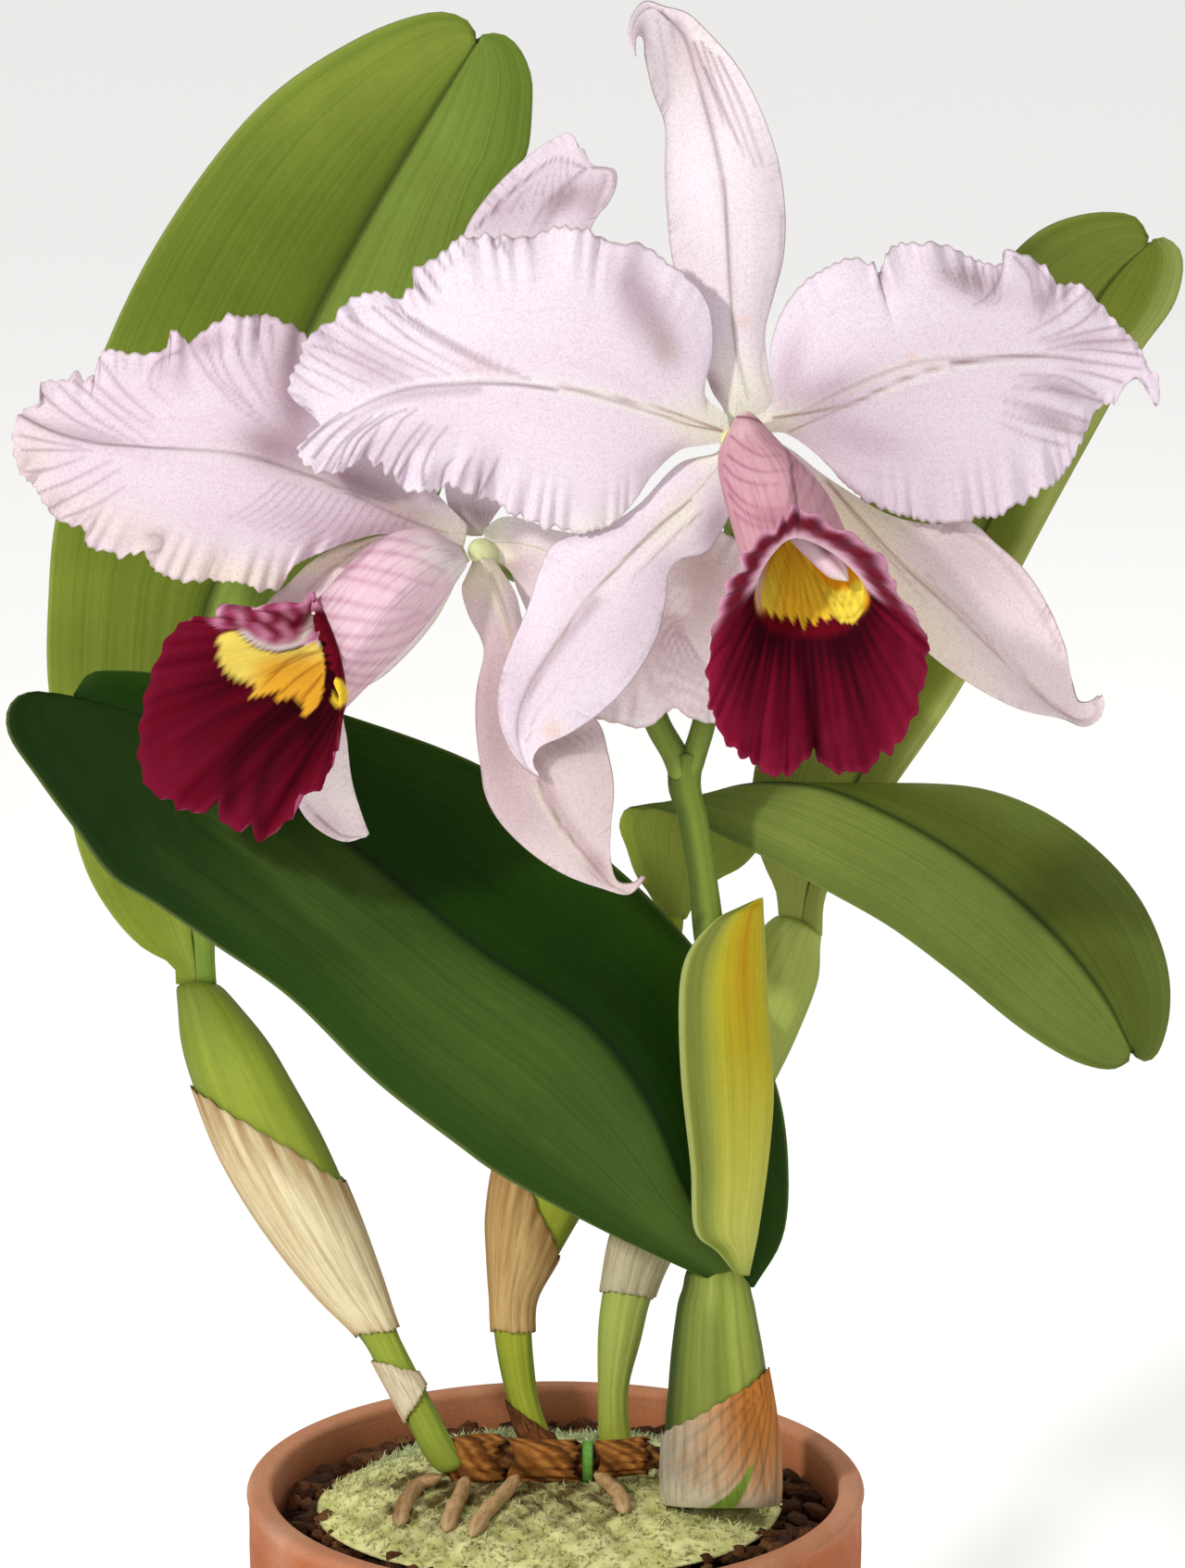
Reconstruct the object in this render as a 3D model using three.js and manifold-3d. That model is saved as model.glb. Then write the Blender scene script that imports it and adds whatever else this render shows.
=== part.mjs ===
import * as THREE from 'three';
import Module from 'manifold-3d';

// A Cattleya orchid in flower, standing in a plain clay pot. Millimetres, +Z up,
// +X to the right, the flowers look towards -Y. The origin is the middle of the pot's underside.

// ---- driving dimensions ----
const POT_HEIGHT = 95;
const POT_RIM_RADIUS = 60;
const POT_RIM_BAND = 18;
const POT_FOOT_RADIUS = 42;
const POT_WALL = 4.5;
const POT_FLOOR = 5;
const DRAIN_HOLE_RADIUS = 4;
const DRAIN_HOLE_OFFSET = 20;
const DRAIN_HOLES = 4;
const MEDIUM_TOP = 89.5;
const MOSS_FOOT = 89.8;
const MOSS_RISE = 6.2;
const GAP = 0.3;              // clearance left between neighbouring pieces
const SCALE = 0.18;           // millimetres to one unit of the shape tables below
const TILT = 15 * Math.PI / 180;   // the tables are drawn on a plane leaning back by this angle
const VIEW_DISTANCE = 1500;   // distance from which the tables' outlines hold
const SHEET_SHEATH = 0.7;     // thickness of the papery sheaths
const SHEATH_GAP = 0.65;      // how far they stand off the stem inside
const LIP_SHEET = 1.0;

// ---- shape tables ----
// u runs to the right and v runs down in drawing units; depth is in millimetres towards the viewer.
// Blades: L, M, R = left edge, midrib, right edge from base to tip, in drawing units; dm = depth along the midrib (mm), dl and dr = depth of the two edges relative to it
const LEAF_1 = {"L":[[800,1396],[740,1370],[644,1325],[532,1264],[499,1240],[406,1168],[310,1075],[231,1020],[165,975],[121,948],[79,893],[40,840],[9,793],[7,769],[18,752],[40,747],[76,757]],"M":[[805,1391],[765,1330],[740,1285],[700,1190],[640,1110],[520,1027],[379,913],[250,822],[150,772],[78,757]],"R":[[812,1392],[845,1336],[851,1253],[838,1170],[800,1090],[748,1021],[700,968],[664,935],[600,880],[520,827],[370,771],[250,738],[162,726],[131,724],[96,727],[79,753]],"dm":[3.5,6,8,8,7,5,2,-1,-4,-6],"dl":[1,5,8,10,10,9,8,6,3,0],"dr":[-1,-6,-11,-13,-13,-12,-10,-8,-4,0],"bul":[1.2,-0.6],"th":1.8};
const LEAF_2 = {"L":[[190,1066],[188,1044],[155,1024],[127,996],[100,955],[86,920],[79,893],[52,740],[52,650],[60,560],[101,408],[175,253],[285,110],[387,41],[448,17],[481,13],[505,22],[514,38]],"M":[[212,1068],[210,1020],[203,960],[204,860],[212,740],[222,655],[232,628],[330,361],[383,261],[448,151],[516,43]],"R":[[234,1066],[232,1020],[240,970],[300,860],[400,700],[480,520],[530,350],[545,230],[560,180],[569,167],[575,114],[574,82],[562,53],[546,38],[526,36],[518,40]],"dm":[-25,-27,-32,-38,-42,-44,-43,-41,-38],"dl":[1,3,5,5,5,4,3,2,0],"dr":[1,2,3,4,4,4,3,2,0],"bul":[0.8,0.8],"th":1.8};
const LEAF_3 = {"L":[[717,993],[700,962],[687,944],[677,915],[669,890],[677,873],[730,880],[775,901],[828,927],[893,962],[960,1000],[1028,1050],[1109,1115],[1167,1148],[1203,1154],[1221,1144]],"M":[[728,996],[738,955],[742,925],[748,890],[772,860],[824,848],[869,850],[905,858],[979,891],[1048,933],[1130,1001],[1191,1074],[1223,1136]],"R":[[740,993],[757,963],[777,948],[800,936],[820,915],[840,885],[870,866],[905,856],[946,849],[1007,847],[1069,854],[1130,878],[1191,923],[1232,972],[1256,1025],[1264,1070],[1260,1111],[1248,1140],[1238,1146],[1226,1140]],"dm":[-12,-11,-9,-8,-6,-4,-2,1,4,7,9],"dl":[-1,-2,0,4,6,6,5,4,3,2,0],"dr":[-1,-3,-6,-8,-8,-8,-7,-6,-4,-2,0],"bul":[0.8,-0.8],"th":1.8};
const LEAF_4 = {"L":[[841,990],[838,962],[826,935],[812,890],[815,830],[840,740],[900,600],[980,440],[1050,330],[1099,269],[1130,245],[1167,232],[1203,229],[1228,235],[1240,257]],"M":[[865,1001],[872,960],[890,910],[925,845],[1000,700],[1090,520],[1150,390],[1187,320],[1211,290],[1242,262]],"R":[[888,1013],[891,970],[915,920],[968,846],[1042,736],[1110,600],[1175,480],[1232,380],[1269,327],[1278,286],[1273,267],[1256,256],[1244,260]],"dm":[-20,-21,-24,-27,-30,-32,-34,-34],"dl":[1,3,4,4,4,3,2,0],"dr":[1,2,3,4,4,3,2,0],"bul":[0.8,0.8],"th":1.8};
const A_DORSAL = {"L":[[784,462],[782,443],[770,424],[763,405],[758,370],[745,330],[728,286],[722,245],[718,184],[718,135],[705,98],[697,61],[695,41],[689,38],[686,52],[686,61]],"M":[[793,464],[797,412],[791,347],[786,265],[781,184],[767,122],[746,65],[722,20],[703,7],[690,15],[683,36],[687,62]],"R":[[803,462],[827,443],[836,429],[830,400],[826,359],[836,318],[846,278],[848,229],[840,171],[820,114],[795,69],[767,37],[742,14],[718,7],[697,1],[684,14],[678,37],[686,62]],"dm":[32,30,28,26,25,26,30,36],"dl":[-1,-1,-2,-3,-3,-1,2,0],"dr":[-1,-1,-2,-2,1,3,2,0],"bul":[0.8,0.8],"th":1.1};
const A_PETAL_LEFT = {"L":[[786,476],[757,481],[735,485],[705,512],[681,546],[657,568],[613,574],[569,562],[539,546],[502,533],[482,523],[472,531],[446,531],[428,520],[413,505],[391,496],[365,510],[339,509],[321,486],[343,462]],"M":[[790,464],[717,449],[631,423],[569,412],[487,412],[435,418],[391,435],[346,460]],"R":[[788,450],[761,427],[761,409],[768,386],[769,349],[761,320],[728,287],[687,264],[654,259],[635,248],[602,245],[569,255],[509,255],[480,268],[450,290],[443,312],[428,322],[406,314],[376,324],[361,344],[335,361],[319,394],[315,416],[317,431],[339,449],[345,458]],"dm":[36,38,39,38,36,33,30],"dl":[-1,-3,-4,-4,-3,-2,0],"dr":[-1,-3,-4,-4,-4,-2,0],"bul":[1.2,1.2],"th":0.9};
const A_PETAL_RIGHT = {"L":[[798,452],[834,440],[832,392],[836,359],[856,318],[889,290],[922,280],[942,284],[950,302],[952,286],[967,267],[1007,262],[1032,269],[1056,282],[1081,284],[1085,271],[1101,273],[1126,286],[1142,304],[1162,304],[1183,322],[1205,347],[1228,371],[1238,392],[1252,412],[1251,438]],"M":[[796,464],[840,452],[870,442],[905,424],[985,392],[1060,385],[1130,385],[1190,393],[1228,400],[1240,410],[1250,440]],"R":[[797,476],[842,466],[858,472],[880,488],[900,508],[920,530],[960,552],[1015,565],[1060,560],[1110,540],[1150,510],[1171,469],[1183,445],[1203,435],[1216,416],[1228,408],[1238,422],[1249,439]],"dm":[36,38,39,38,36,33,30,31],"dl":[-1,-3,-4,-4,-4,-3,-1,0],"dr":[-1,-3,-4,-4,-3,-2,-1,0],"bul":[1.2,1.2],"th":0.9};
const A_SEPAL_LEFT = {"L":[[780,476],[776,488],[735,500],[690,545],[655,568],[597,588],[583,616],[571,654],[550,704],[539,739],[539,775],[550,807],[566,829],[580,838]],"M":[[789,474],[783,492],[744,540],[685,596],[627,654],[597,704],[568,751],[559,789],[568,825],[582,839]],"R":[[797,478],[797,500],[792,540],[785,562],[776,578],[762,596],[735,603],[723,616],[719,648],[712,681],[697,713],[674,745],[644,773],[609,795],[583,807],[576,822],[584,838]],"dm":[33,33,34,33,31,29,28],"dl":[-1,-1,-2,-2,-1,0,0],"dr":[-1,-1,-2,-2,-1,0,0],"bul":[1,1],"th":1.1};
const A_SEPAL_RIGHT = {"L":[[800,466],[848,482],[885,510],[915,530],[960,556],[1005,566],[1047,563],[1075,586],[1106,614],[1130,650],[1150,697],[1158,735],[1165,757],[1178,757],[1187,750]],"M":[[795,474],[840,492],[880,518],[925,560],[969,602],[1043,669],[1099,730],[1150,772],[1172,776],[1185,764],[1189,751]],"R":[[790,482],[830,500],[850,530],[880,560],[913,592],[940,640],[975,675],[1000,702],[1043,735],[1102,766],[1150,777],[1172,785],[1188,776],[1193,758],[1190,748]],"dm":[33,33,33,32,31,31,33],"dl":[-1,-1,-2,-2,-1,1,0],"dr":[-1,-1,-2,-2,-1,1,0],"bul":[1,1],"th":1.1};
const B_DORSAL = {"L":[[500,578],[492,562],[484,545],[480,520],[478,450],[484,350],[501,253],[526,212],[567,171],[599,149],[614,143],[622,150]],"M":[[510,580],[509,562],[512,520],[525,450],[548,360],[574,290],[600,230],[618,190],[626,158]],"R":[[520,580],[528,566],[545,540],[572,470],[602,380],[628,300],[638,248],[648,230],[656,222],[666,198],[664,183],[640,178],[630,160]],"dm":[15,13,11,10,10,11,12],"dl":[-1,-1,-2,-2,-2,-1,0],"dr":[-1,-1,-2,-1,2,3,0],"bul":[0.8,0.8],"th":1.1};
const B_PETAL_LEFT = {"L":[[503,590],[470,582],[440,578],[407,577],[356,593],[316,613],[301,636],[269,634],[233,626],[198,628],[170,617],[154,597],[130,601],[95,585],[91,573],[59,559],[38,526],[26,516],[16,494],[15,466],[20,446]],"M":[[505,578],[460,556],[415,541],[336,514],[257,490],[150,482],[79,474],[22,446]],"R":[[506,568],[471,533],[430,490],[385,440],[345,390],[328,360],[304,346],[277,339],[245,342],[221,356],[206,369],[198,363],[186,355],[180,375],[158,382],[115,379],[105,393],[99,409],[79,404],[63,413],[45,415],[42,435],[24,442]],"dm":[18,20,21,20,18,15,12],"dl":[0,-1,-2,-2,-1,0,0],"dr":[-1,-3,-4,-4,-3,-2,0],"bul":[1.2,1.2],"th":0.9};
const B_PETAL_RIGHT = {"L":[[533,604],[550,616],[560,639],[571,664],[600,725],[644,775],[668,781],[679,785],[706,781],[729,764],[741,773],[770,781],[812,776],[845,745],[852,722]],"M":[[524,586],[560,586],[600,598],[680,640],[760,690],[853,716]],"R":[[520,572],[546,558],[601,573],[650,579],[700,574],[745,568],[781,574],[800,587],[835,640],[850,700],[854,710]],"dm":[16,15,14,13,12,12],"dl":[0,1,1,0,0,0],"dr":[-1,-2,-2,-2,-1,0],"bul":[0.8,0.8],"th":0.9};
const B_SEPAL_RIGHT = {"L":[[512,604],[503,624],[499,634],[506,663],[520,690],[523,704],[515,745],[514,783],[520,833],[524,857],[539,886],[574,921],[612,945],[647,958],[679,966],[692,954],[697,946]],"M":[[521,602],[530,626],[550,684],[570,780],[588,863],[621,921],[655,955],[684,958],[697,946]],"R":[[529,600],[540,614],[556,640],[566,676],[590,720],[647,781],[656,810],[663,848],[660,892],[660,930],[668,952],[684,953],[694,945]],"dm":[20,22,24,25,25,24,24],"dl":[-1,-1,-2,-2,-1,0,0],"dr":[-1,-2,-3,-3,-2,0,0],"bul":[1,1],"th":1.1};
const B_SEPAL_LEFT = {"L":[[500,584],[488,583],[450,578],[418,577],[345,600],[309,632],[288,652],[284,700],[300,790],[322,870],[340,893],[372,909],[396,903]],"M":[[503,594],[490,600],[440,622],[385,680],[350,750],[345,820],[365,880],[399,902]],"R":[[508,604],[500,614],[470,670],[420,725],[372,760],[375,800],[381,846],[398,900]],"dm":[16,14,12,11,11,12],"dl":[-1,-1,-1,-1,0,0],"dr":[-1,-1,-1,-1,0,0],"bul":[0.8,0.8],"th":1.1};
// Tubes: each station is [left u, left v, right u, right v, depth]
const PB_LEFT = [[189,1060,234,1058,-25],[191,1085,258,1084,-23],[197,1130,290,1125,-20],[212,1180,318,1172,-17],[240,1250,352,1234,-14],[285,1325,383,1305,-11],[340,1395,408,1375,-8],[388,1443,426,1430,-5],[410,1480,443,1468,-2],[437,1530,470,1520,0],[458,1572,492,1560,2],[477,1594,505,1582,3]];
const PB_MIDDLE = [[717,987,740,987,-12],[705,1015,737,1012,-13],[672,1070,722,1085,-15],[625,1130,700,1160,-16],[575,1190,672,1230,-16],[540,1245,645,1285,-14],[528,1308,622,1322,-12],[529,1359,598,1365,-10],[532,1403,577,1403,-8],[534,1438,574,1438,-7],[542,1483,577,1483,-6],[550,1515,583,1515,-5],[560,1545,594,1545,-4],[570,1563,602,1561,-3]];
const PB_BACK = [[846,984,889,1007,-20],[826,998,887,1023,-20],[800,1035,883,1060,-20],[775,1090,862,1115,-19],[748,1150,838,1165,-18],[718,1215,800,1238,-17],[685,1280,757,1308,-15],[662,1333,722,1359,-13],[652,1389,703,1403,-11],[647,1435,692,1445,-9],[646,1499,679,1499,-8],[646,1540,681,1540,-7],[648,1562,686,1560,-6]];
const PB_FRONT = [[766,1350,802,1362,0],[744,1368,808,1380,2],[738,1390,812,1398,4],[731,1415,817,1420,5],[724,1473,826,1470,7],[719,1531,835,1524,8],[716,1588,840,1580,9],[717,1612,840,1612,10],[722,1627,836,1627,10]];
const PEDUNCLE = [[722,812,762,812,8],[722,851,757,847,8],[732,883,765,886,8.5],[744,951,773,938,9],[748,1000,781,995,9.5],[756,1060,788,1060,10],[765,1130,795,1130,10.5],[776,1220,804,1220,11.3],[785,1310,809,1310,11.3]];
const SPATHE = [[797,1380,809,1380,8.5],[775,1352,815,1352,10.5],[750,1328,820,1326,11.5],[746,1261,830,1255,11.5],[736,1170,836,1183,11],[733,1096,833,1124,10.5],[736,1050,829,1065,10],[748,1020,827,1020,9.5],[778,990,825,975,9]];
// Round stems: stations [u, v, depth, radius in drawing units]
const PEDICEL_A = [[753,808,8,9],[760,782,8,12],[772,720,3,11],[786,640,1,11],[794,560,8,11],[795,500,24,12],[789,468,37.5,13]];
const PEDICEL_B = [[731,810,8,9],[712,785,8,13],[690,730,7,11],[640,665,6,11],[580,625,7,12],[535,602,12,16],[512,590,22,20]];
const COLUMN_A = [[806,462,43,8],[822,510,48,13],[850,556,56,14],[884,594,62,14],[916,627,65,11]];
const COLUMN_B = [[494,602,22,8],[460,608,24,13],[425,626,25,14],[390,650,26,14],[360,672,27,11]];
const ROOT_PATHS = [[[478,1594],[455,1602],[440,1618],[430,1648]],[[504,1594],[498,1612],[488,1634],[481,1654]],[[560,1592],[545,1612],[524,1634],[508,1660]],[[640,1588],[655,1600],[670,1616],[674,1634]]];
const RHIZOME = [[476,1571,476,1583,-1],[486,1557,488,1598,-1],[520,1553,516,1603,-1],[560,1557,560,1600,-1],[600,1560,600,1597,0],[632,1560,632,1596,0],[665,1559,665,1590,2],[695,1557,695,1586,4],[716,1562,716,1588,6]];
// Lips: rings of [angle, u, v, depth] from the hub to the frilled rim
const LIP_A = [[[0,806,445,43],[90,795,453,41],[180,804,463,39],[270,817,453,41]],[[0,815,467,49.5],[90,777,495,45],[180,809,517,40.5],[270,848,489,45]],[[0,846,511,60.5],[90,787,550,54],[180,838,585,47.5],[270,896,543,54]],[[0,860,580,69],[45,832,600,67.5],[90,816,636,64],[135,828,672,60],[180,868,684,57],[225,915,676,60],[270,938,640,64],[315,905,600,67.5]],[[0,858,548,72],[20,835,572,72],[40,806,592,70],[55,800,614,69],[65,784,635,68],[75,778,655,68],[90,767,700,68],[105,766,750,67],[120,772,781,66],[135,795,812,64],[150,822,831,62],[165,850,837,61],[180,877,816,60],[195,898,831,60],[210,930,833,61],[225,960,814,63],[240,982,785,65],[255,998,735,67],[270,1001,693,68],[285,986,661,69],[295,967,637,70],[305,962,618,71],[320,942,591,72],[335,913,575,73],[350,880,556,73]]];
const LIP_B = [[[0,492,589,21],[90,488,600,17],[180,502,612,21],[270,500,600,25]],[[0,455,571,24],[90,462,606,14],[180,482,642,24],[270,472,606,33]],[[0,400,590,26],[90,415,636,14],[180,447,688,27],[270,428,640,39]],[[0,343,652,26],[90,325,692,15],[180,370,765,30],[270,368,712,41]],[[0,338,642,26],[20,328,648,22],[35,285,656,18],[50,245,654,15],[60,227,668,14],[70,206,668,14],[80,182,688,15],[95,160,740,18],[110,150,800,22],[120,155,845,25],[130,186,870,28],[145,214,879,31],[155,237,872,32],[165,257,905,33],[175,290,905,34],[185,316,881,36],[195,324,860,37],[205,344,854,38],[220,362,815,40],[235,366,790,41],[250,367,765,42.5],[270,362,728,43.5],[300,350,694,39],[330,338,665,32]]];

// ---- from the drawing plane to space ----
const UP = new THREE.Vector3(0, Math.sin(TILT), Math.cos(TILT));
const BACK = new THREE.Vector3(0, -Math.cos(TILT), Math.sin(TILT));
const RIGHT = new THREE.Vector3(1, 0, 0);
const PLANE_ORIGIN = new THREE.Vector3(0, 0, POT_HEIGHT)
  .addScaledVector(RIGHT, (640 - 600) * SCALE)
  .addScaledVector(UP, (1600 - 846.5) * SCALE);
function place(u, v, depth) {
  const d = depth + (1600 - v) * SCALE * Math.tan(TILT);   // depth is measured from an upright plane
  const k = SCALE * (1 - d / VIEW_DISTANCE);
  return PLANE_ORIGIN.clone().addScaledVector(RIGHT, (u - 640) * k)
    .addScaledVector(UP, (846.5 - v) * k).addScaledVector(BACK, d);
}

// ---- polylines and profiles ----
function alongPolyline(points, s) {
  let total = 0;
  const lens = [];
  for (let i = 1; i < points.length; i++) {
    const l = Math.hypot(points[i][0] - points[i - 1][0], points[i][1] - points[i - 1][1]);
    lens.push(l); total += l;
  }
  let t = s * total;
  for (let i = 0; i < lens.length; i++) {
    if (t <= lens[i] || i === lens.length - 1) {
      const f = Math.min(1, t / lens[i]);
      return [points[i][0] + f * (points[i + 1][0] - points[i][0]), points[i][1] + f * (points[i + 1][1] - points[i][1])];
    }
    t -= lens[i];
  }
  return points[points.length - 1];
}
function profile(list, s) {
  const n = list.length - 1, x = Math.min(n - 1e-9, Math.max(0, s * n)), i = Math.floor(x), f = x - i;
  const g = f * f * (3 - 2 * f);
  return list[i] + (list[i + 1] - list[i]) * g;
}
function stationAt(rows, s) {
  const n = rows.length - 1, x = Math.min(n - 1e-9, Math.max(0, s * n)), i = Math.floor(x), f = x - i;
  const p = (k) => rows[Math.min(n, Math.max(0, k))];
  return rows[0].map((_, c) => {
    const a = p(i - 1)[c], b = p(i)[c], d = p(i + 1)[c], e = p(i + 2)[c];
    return 0.5 * (2 * b + (d - a) * f + (2 * a - 5 * b + 4 * d - e) * f * f + (3 * b - a - 3 * d + e) * f * f * f);
  });
}

// ---- closed meshes: rings of equal length, capped at both ends ----
function ringsToMesh(rings, closeStart = true, closeEnd = true) {
  const m = rings[0].length, pos = [], idx = [];
  for (const ring of rings) for (const p of ring) pos.push(p.x, p.y, p.z);
  for (let i = 0; i + 1 < rings.length; i++) for (let j = 0; j < m; j++) {
    const a = i * m + j, b = i * m + (j + 1) % m, c = a + m, d = b + m;
    idx.push(a, b, d, a, d, c);
  }
  return { pos, idx, m, n: rings.length };
}
function capFan(mesh, start) {
  const { m, n, pos, idx } = mesh, o = start ? 0 : (n - 1) * m, c = pos.length / 3;
  let x = 0, y = 0, z = 0;
  for (let j = 0; j < m; j++) { x += pos[3 * (o + j)]; y += pos[3 * (o + j) + 1]; z += pos[3 * (o + j) + 2]; }
  pos.push(x / m, y / m, z / m);
  for (let j = 0; j < m; j++) {
    const a = o + j, b = o + (j + 1) % m;
    if (start) idx.push(c, b, a); else idx.push(c, a, b);
  }
}
function capStrip(mesh, start) {   // flat end of a sheet: the ring runs out along the top and back along the underside
  const { m, n, idx } = mesh, o = start ? 0 : (n - 1) * m, h = m / 2;
  for (let j = 0; j + 1 < h; j++) {
    const a = o + j, b = o + j + 1, c = o + m - 1 - j, d = o + m - 2 - j;
    if (start) idx.push(a, c, d, a, d, b); else idx.push(a, b, d, a, d, c);
  }
}

const wasm = await Module();
wasm.setup();
const { Manifold, Mesh: SolidMesh } = wasm;
function solidOf(mesh) {
  const build = (idx) => Manifold.ofMesh(new SolidMesh({ numProp: 3, vertProperties: new Float32Array(mesh.pos), triVerts: new Uint32Array(idx) }));
  let s = build(mesh.idx);
  if (s.volume() < 0) {
    const f = [];
    for (let i = 0; i < mesh.idx.length; i += 3) f.push(mesh.idx[i], mesh.idx[i + 2], mesh.idx[i + 1]);
    s = build(f);
  }
  return s;
}
function solidFromGeometry(geometry) {
  const g = geometry.index ? geometry.toNonIndexed() : geometry, p = g.attributes.position, pos = [], idx = [], seen = new Map();
  for (let i = 0; i < p.count; i++) {
    const key = [p.getX(i), p.getY(i), p.getZ(i)].map((v) => Math.round(v * 1e4)).join();
    if (!seen.has(key)) { seen.set(key, pos.length / 3); pos.push(p.getX(i), p.getY(i), p.getZ(i)); }
    idx.push(seen.get(key));
  }
  const tri = [];
  for (let i = 0; i < idx.length; i += 3) if (idx[i] !== idx[i + 1] && idx[i + 1] !== idx[i + 2] && idx[i] !== idx[i + 2]) tri.push(idx[i], idx[i + 1], idx[i + 2]);
  return solidOf({ pos, idx: tri });
}

// ---- blades: leaves, petals and sepals ----
function bladeGrid(b, ns, nt, grow) {
  const grid = [], s0 = 0.012, s1 = 0.988;
  for (let i = 0; i <= ns; i++) {
    const s = s0 + (s1 - s0) * i / ns;
    const l = alongPolyline(b.L, s), m = alongPolyline(b.M, s), r = alongPolyline(b.R, s);
    const m2 = alongPolyline(b.M, Math.min(1, s + 0.02)), m1 = alongPolyline(b.M, Math.max(0, s - 0.02));
    const dm = profile(b.dm, s), dl = profile(b.dl, s), dr = profile(b.dr, s);
    const tl = Math.hypot(m2[0] - m1[0], m2[1] - m1[1]) || 1, nx = (m2[1] - m1[1]) / tl, ny = -(m2[0] - m1[0]) / tl;
    const edge = (q, side) => {   // never narrower than a small width, grown outwards when asked
      let ex = q[0] - m[0], ey = q[1] - m[1], w = Math.hypot(ex, ey);
      if (w < 5) { ex += nx * side * 5; ey += ny * side * 5; w = Math.hypot(ex, ey) || 1; }
      const g = 1 + grow / SCALE / w;
      return [m[0] + ex * g, m[1] + ey * g];
    };
    const crossLM = (l[0] - r[0]) * nx + (l[1] - r[1]) * ny;
    const side = crossLM >= 0 ? 1 : -1;
    const le = edge(l, side), re = edge(r, -side), row = [];
    for (let j = -nt; j <= nt; j++) {
      const t = Math.abs(j) / nt, e = j < 0 ? le : re, de = j < 0 ? dl : dr, bu = (j < 0 ? b.bul[0] : b.bul[1]) * Math.sin(Math.PI * t) * Math.sin(Math.PI * Math.min(1, s * 1.05));
      row.push(place(m[0] + (e[0] - m[0]) * t, m[1] + (e[1] - m[1]) * t, dm + de * t + bu));
    }
    grid.push(row);
  }
  return grid;
}
function sheetNormals(grid) {
  const n = grid.length, m = grid[0].length, out = [];
  for (let i = 0; i < n; i++) {
    const row = [];
    for (let j = 0; j < m; j++) {
      const a = grid[Math.min(n - 1, i + 1)][j].clone().sub(grid[Math.max(0, i - 1)][j]);
      const b = grid[i][Math.min(m - 1, j + 1)].clone().sub(grid[i][Math.max(0, j - 1)]);
      const c = a.cross(b);
      row.push(c.lengthSq() > 1e-12 ? c.normalize() : BACK.clone());
    }
    out.push(row);
  }
  return out;
}
function blade(b, ns = 12, nt = 2, grow = 0) {
  const grid = bladeGrid(b, ns, nt, grow), nor = sheetNormals(grid), h = b.th / 2 + grow;
  if (grow) {
    for (let j = 0; j < grid[0].length; j++) {
      const e0 = grid[0][j].clone().sub(grid[1][j]).normalize(), e1 = grid[ns][j].clone().sub(grid[ns - 1][j]).normalize();
      grid[0][j].addScaledVector(e0, grow); grid[ns][j].addScaledVector(e1, grow);
    }
  }
  const rings = grid.map((row, i) => {
    const top = row.map((p, j) => p.clone().addScaledVector(nor[i][j], h));
    const low = row.map((p, j) => p.clone().addScaledVector(nor[i][j], -h)).reverse();
    return [...top, ...low];
  });
  const mesh = ringsToMesh(rings);
  capStrip(mesh, true); capStrip(mesh, false);
  return solidOf(mesh);
}

// ---- tubes given by their two outlines ----
function tubePoint(rows, k, s, angle, off) {
  const [ul, vl, ur, vr, d] = stationAt(rows, s);
  const a = place(ul, vl, d), b = place(ur, vr, d), c = a.clone().add(b).multiplyScalar(0.5), h = b.sub(a).multiplyScalar(0.5);
  const w = h.length(), q = w * k;
  return c.addScaledVector(h, Math.cos(angle) * (1 + off / w)).addScaledVector(BACK, Math.sin(angle) * (q + off));
}
function tube(rows, k, ns, nr, grow = 0) {
  const rings = [];
  for (let i = 0; i <= ns; i++) {
    const ring = [];
    for (let j = 0; j < nr; j++) ring.push(tubePoint(rows, k, i / ns, 2 * Math.PI * j / nr, grow));
    rings.push(ring);
  }
  if (grow) for (let j = 0; j < nr; j++) {
    rings[0][j].add(rings[0][j].clone().sub(rings[1][j]).normalize().multiplyScalar(grow));
    rings[ns][j].add(rings[ns][j].clone().sub(rings[ns - 1][j]).normalize().multiplyScalar(grow));
  }
  const mesh = ringsToMesh(rings);
  capFan(mesh, true); capFan(mesh, false);
  return solidOf(mesh);
}
// a sheath around a tube: from(angle) and to(angle) say where it starts and ends along the tube
function sheath(rows, k, from, to, ns, nr, gap, thick, grow = 0) {
  const rings = [], e = grow ? grow : 0;
  for (let i = 0; i <= ns; i++) {
    const ring = [];
    for (let j = 0; j < nr; j++) { const a = 2 * Math.PI * j / nr; ring.push(tubePoint(rows, k, from(a) + (to(a) - from(a)) * i / ns, a, gap + thick + e)); }
    rings.push(ring);
  }
  for (let i = ns; i >= 0; i--) {
    const ring = [];
    for (let j = 0; j < nr; j++) { const a = 2 * Math.PI * j / nr; ring.push(tubePoint(rows, k, from(a) + (to(a) - from(a)) * i / ns, a, Math.max(-2, gap - e))); }
    rings.push(ring);
  }
  rings.push(rings[0]);
  const m = nr, pos = [], idx = [], n = rings.length - 1;
  for (let i = 0; i < n; i++) for (const p of rings[i]) pos.push(p.x, p.y, p.z);
  for (let i = 0; i < n; i++) for (let j = 0; j < m; j++) {
    const i2 = (i + 1) % n, a = i * m + j, b = i * m + (j + 1) % m, c = i2 * m + j, d = i2 * m + (j + 1) % m;
    idx.push(a, b, d, a, d, c);
  }
  return solidOf({ pos, idx });
}
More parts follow.
